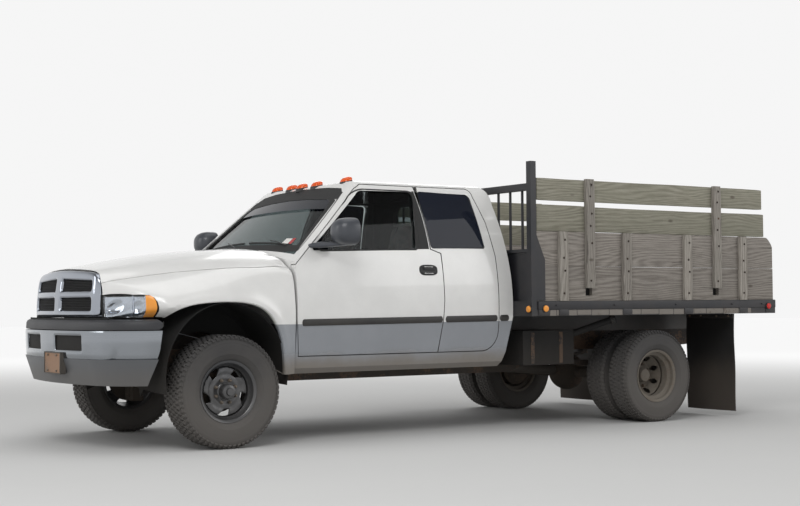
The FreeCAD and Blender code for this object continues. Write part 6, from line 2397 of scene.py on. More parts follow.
@dataclass
class Headlamps:
    """Clear lenses over bowl reflectors, with an amber end and a near-black sheet of painted shade in the gap
    round them.
    """

    low: float = 0.933
    high: float = 1.079
    inner: float = 0.797
    split: float = 0.652
    amber: float = 0.583
    outer: float = 0.517

    def region(
        self,
        nose: Nose,
        form: NoseForm,
        ahead: float,
        behind: float,
        grow: float = 0.0,
    ) -> list[Pair]:
        """Gives a lamp region's outline in the form's flat coordinates.

        Args:
            nose: the panel maker, for its coordinates.
            form: the nose's form.
            ahead: its front end, ahead of the axle.
            behind: its rear end.
            grow: how far it reaches past its edges.

        Returns:
            The outline.
        """
        steps = 8
        top = [(ahead + (behind - ahead) * k / steps, self.high + grow) for k in range(steps + 1)]
        if behind < 0.56:
            top[-1] = (behind + 0.018, self.high - 0.012 + grow)
            top += [(behind + 0.006 - grow, self.high - 0.04), (behind - grow, self.high - 0.08)]
        low = [
            (behind + (ahead - behind) * k / steps - (grow if k == 0 else 0), self.low - grow)
            for k in range(steps + 1)
        ]
        return nose.flat(form, top + low)

    def build(self) -> None:
        """Builds both headlamps."""
        nose, form = Nose(), NoseForm()
        bowls = ((0.735, 1.006, 0.062, 0.035), (0.617, 1.006, 0.05, 0.02))
        centres = [(*nose.flat(form, ((ahead, z),))[0], wide, deep) for ahead, z, wide, deep in bowls]

        def reflector(x: float, turn: float) -> Point:
            """Sinks a flat point below the form, deeper inside the bowls."""
            depth = 0.026
            for u, v, wide, deep in centres:
                away = math.hypot((x - u) * 1.35, turn - v) / wide
                if away < 1:
                    depth += deep * (1 - away * away)
            return form.place(x, turn, -depth)

        def at_depth(depth: float) -> Callable[[float, float], Point]:
            """Gives the function that sets flat points at an even depth."""
            return lambda x, turn: form.place(x, turn, -depth)

        def pane(ahead: float, behind: float, size: float, depth: float, thick: float = 0.003) -> Shape:
            """Makes the sheet over a region of the lamp, at an even depth."""
            return panel(self.region(nose, form, ahead, behind), (), size, at_depth(depth), thick)

        for side in Side:
            clear = merged(
                pane(self.inner, self.split + 0.002, 0.018, 0.004),
                pane(self.split - 0.002, self.amber + 0.002, 0.018, 0.004),
            )
            amber = pane(self.amber - 0.002, self.outer, 0.014, 0.004)
            hole = self.region(nose, form, self.inner, self.outer)
            bright = panel(hole, (), 0.012, reflector, 0.002)
            # Painted shade: the near-black border sheet sunk round the lamp stands in for the shade in the
            # gap.
            border = self.region(nose, form, self.inner + 0.012, self.outer, 0.012)
            gap = panel(border, (hole,), 0.018, at_depth(0.006), -0.02)
            bars = [
                pane(ahead + 0.003, ahead - 0.003, 0.018, 0.003, -0.02) for ahead in (self.split, self.amber)
            ]
            fronts = [self.amber - 0.008 - 0.007 * k for k in range(7)]
            ribs = [pane(ahead, ahead - 0.002, 0.018, 0.008) for ahead in fronts]
            word = side.word
            lens = built(f"lamp_lens_{word}", *mirrored(clear, side), CLEAR)
            orange = built(f"lamp_amber_{word}", *mirrored(merged(amber, *ribs), side), AMBER)
            mirror = built(f"lamp_reflector_{word}", *mirrored(merged(bright, *bars), side), LAMP_SILVER)
            black = built(f"lamp_gap_{word}", *mirrored(gap, side), PAINTED_SHADE)
            replaced = ("headlamps",) if side is Side.LEFT else ()
            ride(
                joined(f"headlamp_dress_{word}", [lens, orange, mirror, black]), "chassis", "lens", *replaced
            )


class BumperForm:
    """The bumper's line in plan, from its middle to its end, smoothed off the CAD skin."""

    def __init__(self) -> None:
        """Reads the plan off the skin by rays from outside."""
        skin = Skin("front_bumper")
        line = []
        for k in range(120):
            turn = math.radians(78) * k / 119
            middle = Vector((2.3, 0.0, 0.828))
            way = Vector((math.cos(turn), math.sin(turn), 0))
            found = skin.meet(middle + way * 2.0, -way)
            if found is not None and (found - middle).length > 0.5:
                line.append(Vector((found.x, found.y)))
        smooth = line
        for _ in range(3):
            near = [[min(max(k + s, 0), len(line) - 1) for s in range(-4, 5)] for k in range(len(line))]
            smooth = [sum((smooth[number] for number in row), Vector((0, 0))) / 9 for row in near]
            smooth[0], smooth[-1] = line[0], line[-1]
        self.line = [Vector((smooth[0].x, 0.0))] + smooth[1:]
        self.reach = [0.0]
        for one, two in zip(self.line, self.line[1:]):
            self.reach.append(self.reach[-1] + (two - one).length)
        self.long = self.reach[-1]

    def at(self, along: float) -> tuple[Vector, Vector]:
        """Gives the plan point and outward direction at a distance from the middle.

        Args:
            along: distance along the line, with the sign of y.

        Returns:
            The point and the direction.
        """
        want, sign = min(abs(along), self.long), 1 if along >= 0 else -1
        k = max(1, next((k for k, reach in enumerate(self.reach) if reach >= want), len(self.reach) - 1))
        share = (want - self.reach[k - 1]) / max(1e-6, self.reach[k] - self.reach[k - 1])
        point = self.line[k - 1].lerp(self.line[k], share)
        low, high = self.line[max(0, k - 4)], self.line[min(len(self.line) - 1, k + 3)]
        if want < 0.05:
            low, high = Vector((self.line[0].x, -0.05)), Vector((self.line[0].x, 0.05))
        heading = (high - low).normalized()
        out = Vector((heading.y, -heading.x))
        return Vector((point.x, point.y * sign)), Vector((out.x, out.y * sign))

    def place(self, along: float, z: float, proud: float) -> Point:
        """Gives a point off the line."""
        point, out = self.at(along)
        return (point.x + out.x * proud, point.y + out.y * proud, z)


@dataclass
class Bumper:
    """The chrome bar with its raised face, the black pad on it and the bare plate."""

    top: float = 0.836
    low: float = 0.5
    face_half: float = 0.88
    face_low: float = 0.606
    corner: float = 0.12

    def recess(self, z: float) -> float:
        """Gives how far the bar's side lies behind its line at a height."""
        table = (
            (0.44, -0.075), (0.5, -0.058), (0.56, -0.036), (0.6, -0.024), (0.66, -0.012), (0.7, -0.01),
            (0.76, -0.007), (0.82, -0.006), (0.84, -0.009),
        )
        return read_off(table, z)

    def build(self) -> None:
        """Builds the bumper's pieces."""
        form = BumperForm()
        holes = []
        for sign in (1, -1):
            loop = [(0.146, 0.698), (0.54, 0.698), (0.54, 0.804), (0.146, 0.804)]
            loop = [(sign * u, v) for u, v in loop]
            holes.append(rounded(loop, 0.012, 3))
        rims = outline_tree(holes)

        def place(along: float, z: float) -> Point:
            """Sets a flat point on the bar: its raised face, its openings' lips and its lower crease."""
            side_off = max(abs(along) - (self.face_half - self.corner), 0.0)
            low_off = max(self.face_low + self.corner - z, 0.0)
            off = math.hypot(side_off, low_off) - self.corner
            share = min(1.0, max(0.0, -off / 0.016))
            raised = 0.011 * share * share * (3 - 2 * share)
            if abs(along) < 0.6:
                near = rims.find((along, z, 0))[2]
                raised -= 0.006 * max(0.0, 1 - near / 0.014) ** 2
            lip = 0.004 * math.exp(-((z - 0.548) / 0.012) ** 2) if z < 0.6 else 0.0
            return form.place(along, z, self.recess(z) + raised - lip)

        end = form.long - 0.012
        edge = [
            (-(end - 0.002), self.top), (-(end - 0.02), 0.7), (-(end - 0.075), self.low + 0.02),
            (-(end - 0.11), self.low),
        ]
        edge += [(-u, v) for u, v in reversed(edge)]
        bar = built(
            "bumper_bar_dress",
            *panel(edge, holes, 0.016, place, 0.0035, (0.004, 0.009, 0.0145)),
            BUMPER_CHROME,
            40.0,
        )
        ride(bar, "chassis", "chrome", "front_bumper")
        # Painted shade: near-black boxes inside the bar's openings and a strip behind the pad stand in for
        # the shade there.
        boxes = []
        for sign in (1, -1):
            for front, back, capped in ((-0.012, -0.06, False), (-0.058, -0.062, True)):
                section = ((0.69, front), (0.812, front), (0.812, back), (0.69, back))
                alongs = [sign * along for along in (0.135, 0.24, 0.345, 0.45, 0.55)]
                boxes.append(
                    loft([[form.place(along, z, proud) for z, proud in section] for along in alongs], capped)
                )
        section = ((0.8, -0.03), (0.926, -0.03), (0.926, -0.034), (0.8, -0.034))
        alongs = [0.8 * along for along in (-1, -0.8, -0.6, -0.4, -0.2, 0, 0.2, 0.4, 0.6, 0.8, 1)]
        boxes.append(loft([[form.place(along, z, proud) for z, proud in section] for along in alongs]))
        ride(built("bumper_recesses", *merged(*boxes), PAINTED_SHADE), "chassis", "black_plastic")
        rings = []
        count = 96
        for k in range(count + 1):
            along = -(end - 0.003) + 2 * (end - 0.003) * k / count
            tuck = 1.0 if 0 < k < count else 0.55
            section = (
                (-0.02, 0.842), (-0.001, 0.842), (0.0005, 0.85), (-0.0015, 0.886), (-0.009, 0.902),
                (-0.022, 0.911), (-0.05, 0.914), (-0.075, 0.913), (-0.075, 0.9), (-0.03, 0.86),
            )
            rings.append([form.place(along, 0.876 + (z - 0.876) * tuck, proud) for proud, z in section])
        ride(built("bumper_pad_dress", *loft(rings), PAD, 40.0), "chassis", "black_plastic", "bumper_pad")
        self.plate()

    def plate(self) -> None:
        """Builds the bare plate on its dark bracket."""
        edge = rounded([(-0.036, 0.528), (0.285, 0.528), (0.285, 0.684), (-0.036, 0.684)], 0.02, 4)
        bracket = slab([(3.144, y, z) for y, z in edge], (-0.035, 0, 0))
        edge = rounded([(-0.025, 0.535), (0.275, 0.535), (0.275, 0.678), (-0.025, 0.678)], 0.014, 4)
        sheet = slab([(3.1485, y, z) for y, z in edge], (-0.002, 0, 0))
        rims = []
        for y_low, y_high, z_low, z_high in (
            (-0.036, 0.285, 0.528, 0.536), (-0.036, 0.285, 0.677, 0.685), (-0.036, -0.026, 0.536, 0.677),
            (0.275, 0.285, 0.536, 0.677),
        ):
            rims.append(brick((3.142, y_low, z_low), (3.153, y_high, z_high), 0.0015, 2))
        holder = built("plate_holder", *merged(bracket, *rims), TRIM)
        bare = built("plate_sheet", *sheet, PLATE)
        places = [
            ((3.1485, y, z), (1, 0, 0), (0, 0, 1), (0.6, 0.6, 0.35))
            for y in (0.04, 0.21)
            for z in (0.551, 0.662)
        ]
        bolts = repeated("plate_bolts", nut_shape(), places, BOLT)
        ride(joined("plate_dress", [holder, bare, bolts]), "chassis", "painted_plate", "front_plate")


# The flat bed


@dataclass
class SideBoards:
    """One stake side: its boards, stakes, bolts and the two square holes, with painted shade behind them."""

    side: Side
    near: float = 1.162
    far: float = 1.2
    face: float = 1.238
    foot: float = 1.022
    upper: float = 1.579
    crown: float = 2.011
    short: tuple[float, ...] = (2.863, 3.549, 4.253, 4.929)
    tall: tuple[float, ...] = (3.15, 4.61)
    half: float = 0.0445

    def beam(self, front: float, rear: float, low: float, high: float, clip: float, seed: float) -> Shape:
        """Makes a long board with rounded, slightly wavy edges.

        Args:
            front: its front end, behind the front axle.
            rear: its rear end.
            low: its lower edge.
            high: its upper edge.
            clip: size of the rounded rear top corner.
            seed: makes its waves differ from another board's.

        Returns:
            Points and faces.
        """
        backs = [front + (rear - clip - front) * k / 44 for k in range(44)]
        backs += [rear - clip * (1 - k / 8) for k in range(9)] if clip else [rear]
        rings = []
        for number, back in enumerate(backs):
            gone = clip * max(0.0, 1 - (rear - back) / clip) ** 1.6 if clip else 0.0
            sway = 0.0014 * (math.sin(back * 3.1 + seed) + 0.5 * math.sin(back * 7.7 + 2 * seed))
            chip = 0.0016 if number in (0, len(backs) - 1) else 0.0
            near, far, foot, head = self.near + chip, self.far - chip, low + chip, high - gone - chip
            edge = rounded([(near, foot), (far, foot), (far, head), (near, head)], 0.0045, 2)
            middle = (low + high) / 2
            rings.append([(station(back), y, z + sway * (0.4 if z < middle else 1.0)) for y, z in edge])
        return loft(rings)

    def stake(self, back: float, low: float, high: float, seed: float) -> Shape:
        """Makes an upright stake with worn edges."""
        rings = []
        for k in range(13):
            z = low + (high - low) * k / 12
            chip = 0.003 if k in (0, 12) else 0.0
            sway = 0.0012 * math.sin(z * 9 + seed)
            x, half = station(back) + sway, self.half - chip
            edge = [
                (x - half, self.far), (x + half, self.far), (x + half, self.face - chip - 0.001),
                (x - half, self.face - chip - 0.001),
            ]
            rings.append([(u, y, z) for u, y in rounded(edge, 0.0055, 3)])
        return loft(rings)

    def build(self) -> None:
        """Builds the side and hangs it on the bed."""
        word = self.side.word
        edge = [
            (station(5.335), self.foot), (station(2.595), self.foot), (station(2.595), 1.2995),
            (station(5.335), 1.2995),
        ]
        square = ((-0.036, 1.064), (0.036, 1.064), (0.036, 1.126), (-0.036, 1.126))
        holes = [[(station(back) + shift, z) for shift, z in square] for back in self.tall]
        lowest = panel(edge, holes, 0.06, lambda x, z: (x, self.near, z), self.far - self.near)
        upper = self.beam(2.595, 5.335, 1.3018, self.upper, 0.084, 1.7)
        racks = (
            self.beam(2.61, 5.225, 1.582, 1.783, 0.0, 4.1), self.beam(2.614, 5.204, 1.827, 2.003, 0.0, 0.6)
        )
        stakes = [self.stake(back, self.foot, self.upper, back) for back in self.short]
        stakes += [self.stake(back, 1.125, self.crown, back) for back in self.tall]
        pieces = [
            built(f"old_boards_{word}", *mirrored(merged(lowest, upper), self.side), OLD_WOOD),
            built(f"rack_boards_{word}", *mirrored(merged(*racks), self.side), TOP_WOOD),
            built(f"stakes_{word}", *mirrored(merged(*stakes), self.side), STAKE_WOOD),
        ]
        sign = self.side.value
        y = sign * (self.face - 0.0015)
        rows = (
            (self.short, (1.083, 1.264, 1.367, 1.512), 0.006, 0.72),
            (self.tall, (1.185, 1.49, 1.63, 1.73, 1.87, 1.965), 0.007, 0.7),
        )
        places = []
        for backs, heights, sway, size in rows:
            for back in backs:
                for number, z in enumerate(heights):
                    x = station(back) + sway * (-1) ** number
                    places.append(((x, y, z), (0, sign, 0), (1, 0, 0), (size, size, 0.3)))
        pieces.append(repeated(f"stake_bolts_{word}", nut_shape(), places, BOLT_HOLE, 3.0))
        # Painted shade: near-black plates behind the square holes stand in for the shade seen through them.
        backs = [
            brick(
                (station(back) - 0.045, self.near - 0.004, 1.055),
                (station(back) + 0.045, self.near + 0.0005, 1.135),
                0.001,
                1,
            )
            for back in self.tall
        ]
        pieces.append(built(f"hole_backs_{word}", *mirrored(merged(*backs), self.side), PAINTED_SHADE))
        inner = [
            ((x, sign * (self.near + 0.0015), z), (0, -sign, 0), (1, 0, 0), (0.9, 0.9, 0.3))
            for (x, _, z), *_ in places
        ]
        pieces.append(repeated(f"board_bolts_{word}", nut_shape(), inner, BOLT_HOLE, 3.0))
        ride(joined(f"stake_dress_{word}", pieces), "chassis", "wood", f"stake_side_{word}")


@dataclass
class Deck:
    """The deck's planks, the rails' bars and spacers, the pockets and the lamps."""

    front: float = 2.592
    rear: float = 5.34
    half: float = 1.1617
    top: float = 1.022
    planks: int = 12
    pitch: float = 0.1937

    def floor(self) -> None:
        """Lays the planks with open joints, by the row and column tree."""
        low = (station(self.rear - 0.002), -self.half + 0.001, self.top - 0.0375)
        high = (station(self.front + 0.002), -self.half + self.pitch - 0.004, self.top)
        values = {
            "Columns": self.planks,
            "Rows": 1,
            "Column Step": (0.0, self.pitch, 0.0),
            "Jitter": (0.0015, 0.0, 0.0),
            "Seed": 5,
        }
        ride(gridded("deck_planks", brick(low, high, 0.003, 2), DECK_WOOD, values), "chassis", "wood", "deck")

    def screws(self) -> None:
        """Puts rows of screw heads over the crossbars."""
        places = []
        for back in (2.632, 2.98, 3.33, 3.68, 4.03, 4.38, 4.85, 5.08, 5.29):
            for number in range(self.planks):
                for shift in (0.04, 0.15):
                    seat = (station(back), -self.half + number * self.pitch + shift, self.top - 0.0012)
                    places.append((seat, (0, 0, 1), (1, 0, 0), (0.55, 0.55, 0.25)))
        ride(repeated("deck_screws", nut_shape(), places, BOLT_HOLE, 3.0), "chassis", "frame_steel")

    def rails(self, side: Side) -> None:
        """Makes the rail's rub bar, its pale spacers and its dark pockets.

        Args:
            side: which side.
        """
        word = side.word
        bar = brick((station(5.338), 1.2165, 0.953), (station(2.598), 1.2275, 1.0195), 0.003, 3)
        pockets = [
            brick((station(back + 0.052), 1.2165, 0.904), (station(back - 0.052), 1.2275, 0.954), 0.0025, 2)
            for back in SideBoards.short
        ]
        ends = [
            brick((station(back + 0.055), 1.2165, 0.904), (station(back - 0.055), 1.2245, 0.954), 0.0025, 2)
            for back in (2.66, 5.27)
        ]
        black = built(f"rub_bar_{word}", *mirrored(merged(bar, *pockets, *ends), side), BLACK_STEEL)
        spacers = []
        back = 2.722
        for width in (0.07, 0.215, 0.155, 0.19, 0.225, 0.13, 0.205, 0.17, 0.24, 0.15, 0.21, 0.19, 0.16, 0.2):
            if back + width > 5.21:
                break
            low = 0.906 + 0.003 * math.sin(back * 9)
            spacers.append(
                brick((station(back + width - 0.006), 1.2165, low), (station(back), 1.2215, 0.951), 0.002, 2)
            )
            back += width
        pale = built(f"rail_spacers_{word}", *mirrored(merged(*spacers), side), POCKET)
        bolts = [
            ((station(x), side.value * 1.2268, 0.986), (0, side.value, 0), (1, 0, 0), (0.6, 0.6, 0.35))
            for x in (2.78, 3.4, 4.1, 4.78, 5.16)
        ]
        heads = repeated(f"rail_bolts_{word}", nut_shape(), bolts, BLACK_STEEL, 3.0)
        ride(joined(f"rail_dress_{word}", [black, pale, heads]), "chassis", "black_steel")

    def dome(self, middle: Point, facing: Point, radius: float, deep: float) -> tuple[Shape, Shape]:
        """Makes a round lamp's rim and lens.

        Args:
            middle: centre of its back.
            facing: the way that it shines.
            radius: the lens's radius.
            deep: how far the lens stands out.

        Returns:
            The rim's and the lens's shapes.
        """
        turn = Vector(facing).to_track_quat("Z", "Y").to_matrix()
        shapes = []
        for table in (
            ((1.16, 0.0), (1.16, 0.35), (1.1, 0.45), (1.0, 0.45), (1.0, 0.0)),
            ((1.0, 0.1), (0.99, 0.55), (0.93, 0.78), (0.75, 0.93), (0.4, 1.0), (0.1, 1.01)),
        ):
            rings = []
            for scale, rise in table:
                ring = circle(radius * scale, deep * rise, 32)
                rings.append([tuple(Vector(middle) + turn @ Vector(point)) for point in ring])
            shapes.append(loft(rings))
        return shapes[0], shapes[1]

    def lamps(self) -> None:
        """Mounts the marker, side, rear and tail lamps."""
        rims, ambers, reds = [], [], []
        for side in Side:
            sign = side.value
            table = (
                ((station(2.537), sign * 1.19, 0.958), (1, 0, 0), 0.026, 0.022, ambers),
                ((station(2.67), sign * 1.226, 0.962), (0, sign, 0), 0.026, 0.016, ambers),
                ((station(5.242), sign * 1.226, 0.966), (0, sign, 0), 0.026, 0.016, reds),
                ((station(5.325), sign * 1.098, 0.943), (-1, 0, 0), 0.03, 0.014, reds),
                ((station(5.325), sign * 1.008, 0.943), (-1, 0, 0), 0.03, 0.014, reds),
            )
            for middle, facing, radius, deep, store in table:
                rim, lens = self.dome(middle, facing, radius, deep)
                rims.append(rim)
                store.append(lens)
            low, high = sorted((sign * 0.955, sign * 1.143))
            rims.append(brick((station(5.325), low, 0.907), (station(5.325) + 0.03, high, 0.979), 0.003, 2))
        named = (("rims", rims, TRIM), ("ambers", ambers, AMBER), ("reds", reds, RED))
        pieces = [built(f"bed_lamp_{name}", *merged(*shapes), finish) for name, shapes, finish in named]
        ride(joined("bed_lamp_dress", pieces), "chassis", "amber_lens", "bed_lamps")

    def build(self) -> None:
        """Builds the deck and what hangs on it."""
        self.floor()
        self.screws()
        for side in Side:
            self.rails(side)
        self.lamps()


@dataclass
class Fittings:
    """Mud flaps with their bars, the filler cap and the tank's straps."""

    flap_back: float = 4.85

    def flap(self, side: Side) -> None:
        """Hangs a slightly curled flap under its clamping bar.

        Args:
            side: which side.
        """
        low, high = (0.61, 1.18)
        columns, rows, points = 24, 30, []
        for sheet in (0.0, 0.008):
            for row in range(rows + 1):
                z = 0.046 + (0.9 - 0.046) * row / rows
                for column in range(columns + 1):
                    y = low + (high - low) * column / columns
                    curl = 0.009 * math.sin(y * 9 + z * 3) * (1 - row / rows) + 0.004 * math.sin(z * 11)
                    points.append((station(self.flap_back) - 0.004 + sheet + curl, y * side.value, z))
        faces, size = [], (columns + 1) * (rows + 1)
        for row in range(rows):
            for column in range(columns):
                k = row * (columns + 1) + column
                quad = (k, k + 1, k + columns + 2, k + columns + 1)
                faces += [quad, tuple(size + number for number in reversed(quad))]
        wide = columns + 1
        rim = list(range(wide)) + [row * wide + columns for row in range(1, rows + 1)]
        rim += [rows * wide + column for column in range(columns - 1, -1, -1)]
        rim += [row * wide for row in range(rows - 1, 0, -1)]
        for one, two in zip(rim, rim[1:] + rim[:1]):
            faces.append((one, size + one, size + two, two))
        flap = built(f"mud_flap_sheet_{side.word}", points, faces, FLAP)
        bar_low, bar_high = sorted((low * side.value, high * side.value))
        bar = brick(
            (station(self.flap_back) + 0.004, bar_low, 0.86),
            (station(self.flap_back) + 0.012, bar_high, 0.9),
            0.002,
            2,
        )
        steel = built(f"mud_flap_bar_{side.word}", *bar, BLACK_STEEL)
        places = [
            ((station(self.flap_back) + 0.012, side.value * y, 0.88), (1, 0, 0), (0, 0, 1), (0.8, 0.8, 0.5))
            for y in (0.66, 0.8, 0.99, 1.13)
        ]
        bolts = repeated(f"mud_flap_bolts_{side.word}", nut_shape(), places, BOLT)
        replaced = ("mud_flaps",) if side is Side.LEFT else ()
        ride(joined(f"mud_flap_dress_{side.word}", [flap, steel, bolts]), "chassis", "rubber", *replaced)

    def cap(self) -> None:
        """Puts the ribbed filler cap over the neck's end."""
        way = Vector((-0.321, 0.19, 0.128)).normalized()
        turn = way.to_track_quat("Z", "Y").to_matrix()
        middle = Vector((station(3.225), 0.86, 0.74)) + way * 0.3725
        rings = []
        for scale, rise, ribbed in (
            (0.9, -0.004, 0), (1.0, 0.0, 1), (1.0, 0.026, 1), (0.92, 0.036, 0), (0.6, 0.0395, 0),
            (0.2, 0.04, 0),
        ):
            ring = []
            for number, (x, y, z) in enumerate(circle(0.0392 * scale, rise, 72)):
                inwards = 1 - (0.045 if ribbed and number % 4 < 2 else 0.0)
                ring.append(tuple(middle + turn @ Vector((x * inwards, y * inwards, z))))
            rings.append(ring)
        ride(built("filler_cap", *loft(rings), TRIM), "chassis", "black_steel")

    def straps(self) -> None:
        """Wraps the tank's two straps."""
        shapes = []
        for back in (2.8, 3.1):
            points = []
            for shift, grow in ((-0.018, 0.003), (0.018, 0.003), (0.018, -0.003), (-0.018, -0.003)):
                low_y, high_y, low_z, high_z = 0.5 - grow, 0.9 + grow, 0.5 - grow, 0.78 + grow
                outline = rounded(
                    [(low_y, low_z), (high_y, low_z), (high_y, high_z), (low_y, high_z)], 0.03, 4
                )
                points += [(station(back) + shift, y, z) for y, z in outline]
            shapes.append((points, rings_to_faces(4, len(points) // 4, True, True)))
        ride(built("tank_straps", *merged(*shapes), FRAME_STEEL), "chassis", "frame_steel")

    def build(self) -> None:
        """Builds the fittings."""
        for side in Side:
            self.flap(side)
        self.cap()
        self.straps()


# Inside the cab


@dataclass
class Cushion:
    """A padded seat part with a sewn cover, blown up by a short cloth run."""

    name: str
    levels: tuple[tuple[float, float, float, float, float], ...]
    fill: float = 0.7
    swell: float = 0.02
    voxel: float = 0.014
    radius: float = 0.05
    seams: tuple[float, ...] = (-0.1, 0.1)
    pull: float = 0.007

    def block(self) -> Piece:
        """Lofts the cover's cut shape from (z, front x, rear x, middle y, half width) levels."""
        rings = []
        for z, front, rear, middle, half in self.levels:
            flat = rounded(
                [
                    (rear, middle - half), (front, middle - half), (front, middle + half),
                    (rear, middle + half),
                ],
                self.radius,
                5,
            )
            rings.append([(x, y, z) for x, y in flat])
        return built(self.name, *loft(rings), SEAT_CLOTH, 60.0)

    def baked(self, piece: Piece) -> bpy.types.Mesh:
        """Reads the piece's mesh with its modifiers at the present frame."""
        graph = bpy.context.evaluated_depsgraph_get()
        graph.update()
        return bpy.data.meshes.new_from_object(piece.evaluated_get(graph))

    def blown(self, piece: Piece) -> Piece:
        """Remeshes the block, lets its cover swell and keeps the moves short.

        Args:
            piece: the block.

        Returns:
            The swollen cushion.
        """
        scene = bpy.context.scene
        remesh = piece.modifiers.new("Remesh", "REMESH")
        remesh.mode, remesh.voxel_size = "VOXEL", self.voxel
        mesh = self.baked(piece)
        piece.modifiers.clear()
        piece.data = mesh
        start = [vert.co.copy() for vert in mesh.vertices]
        cloth = piece.modifiers.new("Cloth", "CLOTH")
        cloth.settings.use_pressure = True
        cloth.settings.uniform_pressure_force = 4.0
        cloth.settings.effector_weights.gravity = 0.0
        cloth.point_cache.frame_start, cloth.point_cache.frame_end = 1, 20
        for number in range(1, 21):
            scene.frame_set(number)
            bpy.context.evaluated_depsgraph_get().update()
        swollen = self.baked(piece)
        piece.modifiers.clear()
        scene.frame_set(1)
        for vert, before in zip(swollen.vertices, start):
            move = vert.co - before
            if move.length > self.swell:
                vert.co = before + move.normalized() * self.swell
        bpy.data.objects.remove(piece)
        return self.sewn(keep(f"{self.name}_swollen", swollen, SEAT_CLOTH, 60.0))

    def sewn(self, piece: Piece) -> Piece:
        """Refines the cushion once and draws its sewn channels in.

        Args:
            piece: the swollen cushion.

        Returns:
            The cushion with its channels.
        """
        piece.modifiers.new("Finer", "SUBSURF").levels = 1
        mesh = self.baked(piece)
        bpy.data.objects.remove(piece)
        middle = self.levels[0][3]
        normals = [normal.vector.copy() for normal in mesh.vertex_normals]
        for vert, normal in zip(mesh.vertices, normals):
            off = min(abs(vert.co.y - middle - seam) for seam in self.seams)
            vert.co = vert.co - normal * self.pull * max(0.0, 1 - off / 0.014) ** 2
        return keep(self.name, mesh, SEAT_CLOTH, 60.0)

    def build(self, *nodes: str) -> Piece:
        """Builds the cushion.

        Args:
            *nodes: CAD nodes that it stands for.

        Returns:
            The cushion.
        """
        piece = self.block()
        piece = self.blown(piece)
        ride(piece, "chassis", "fabric", *nodes)
        return piece


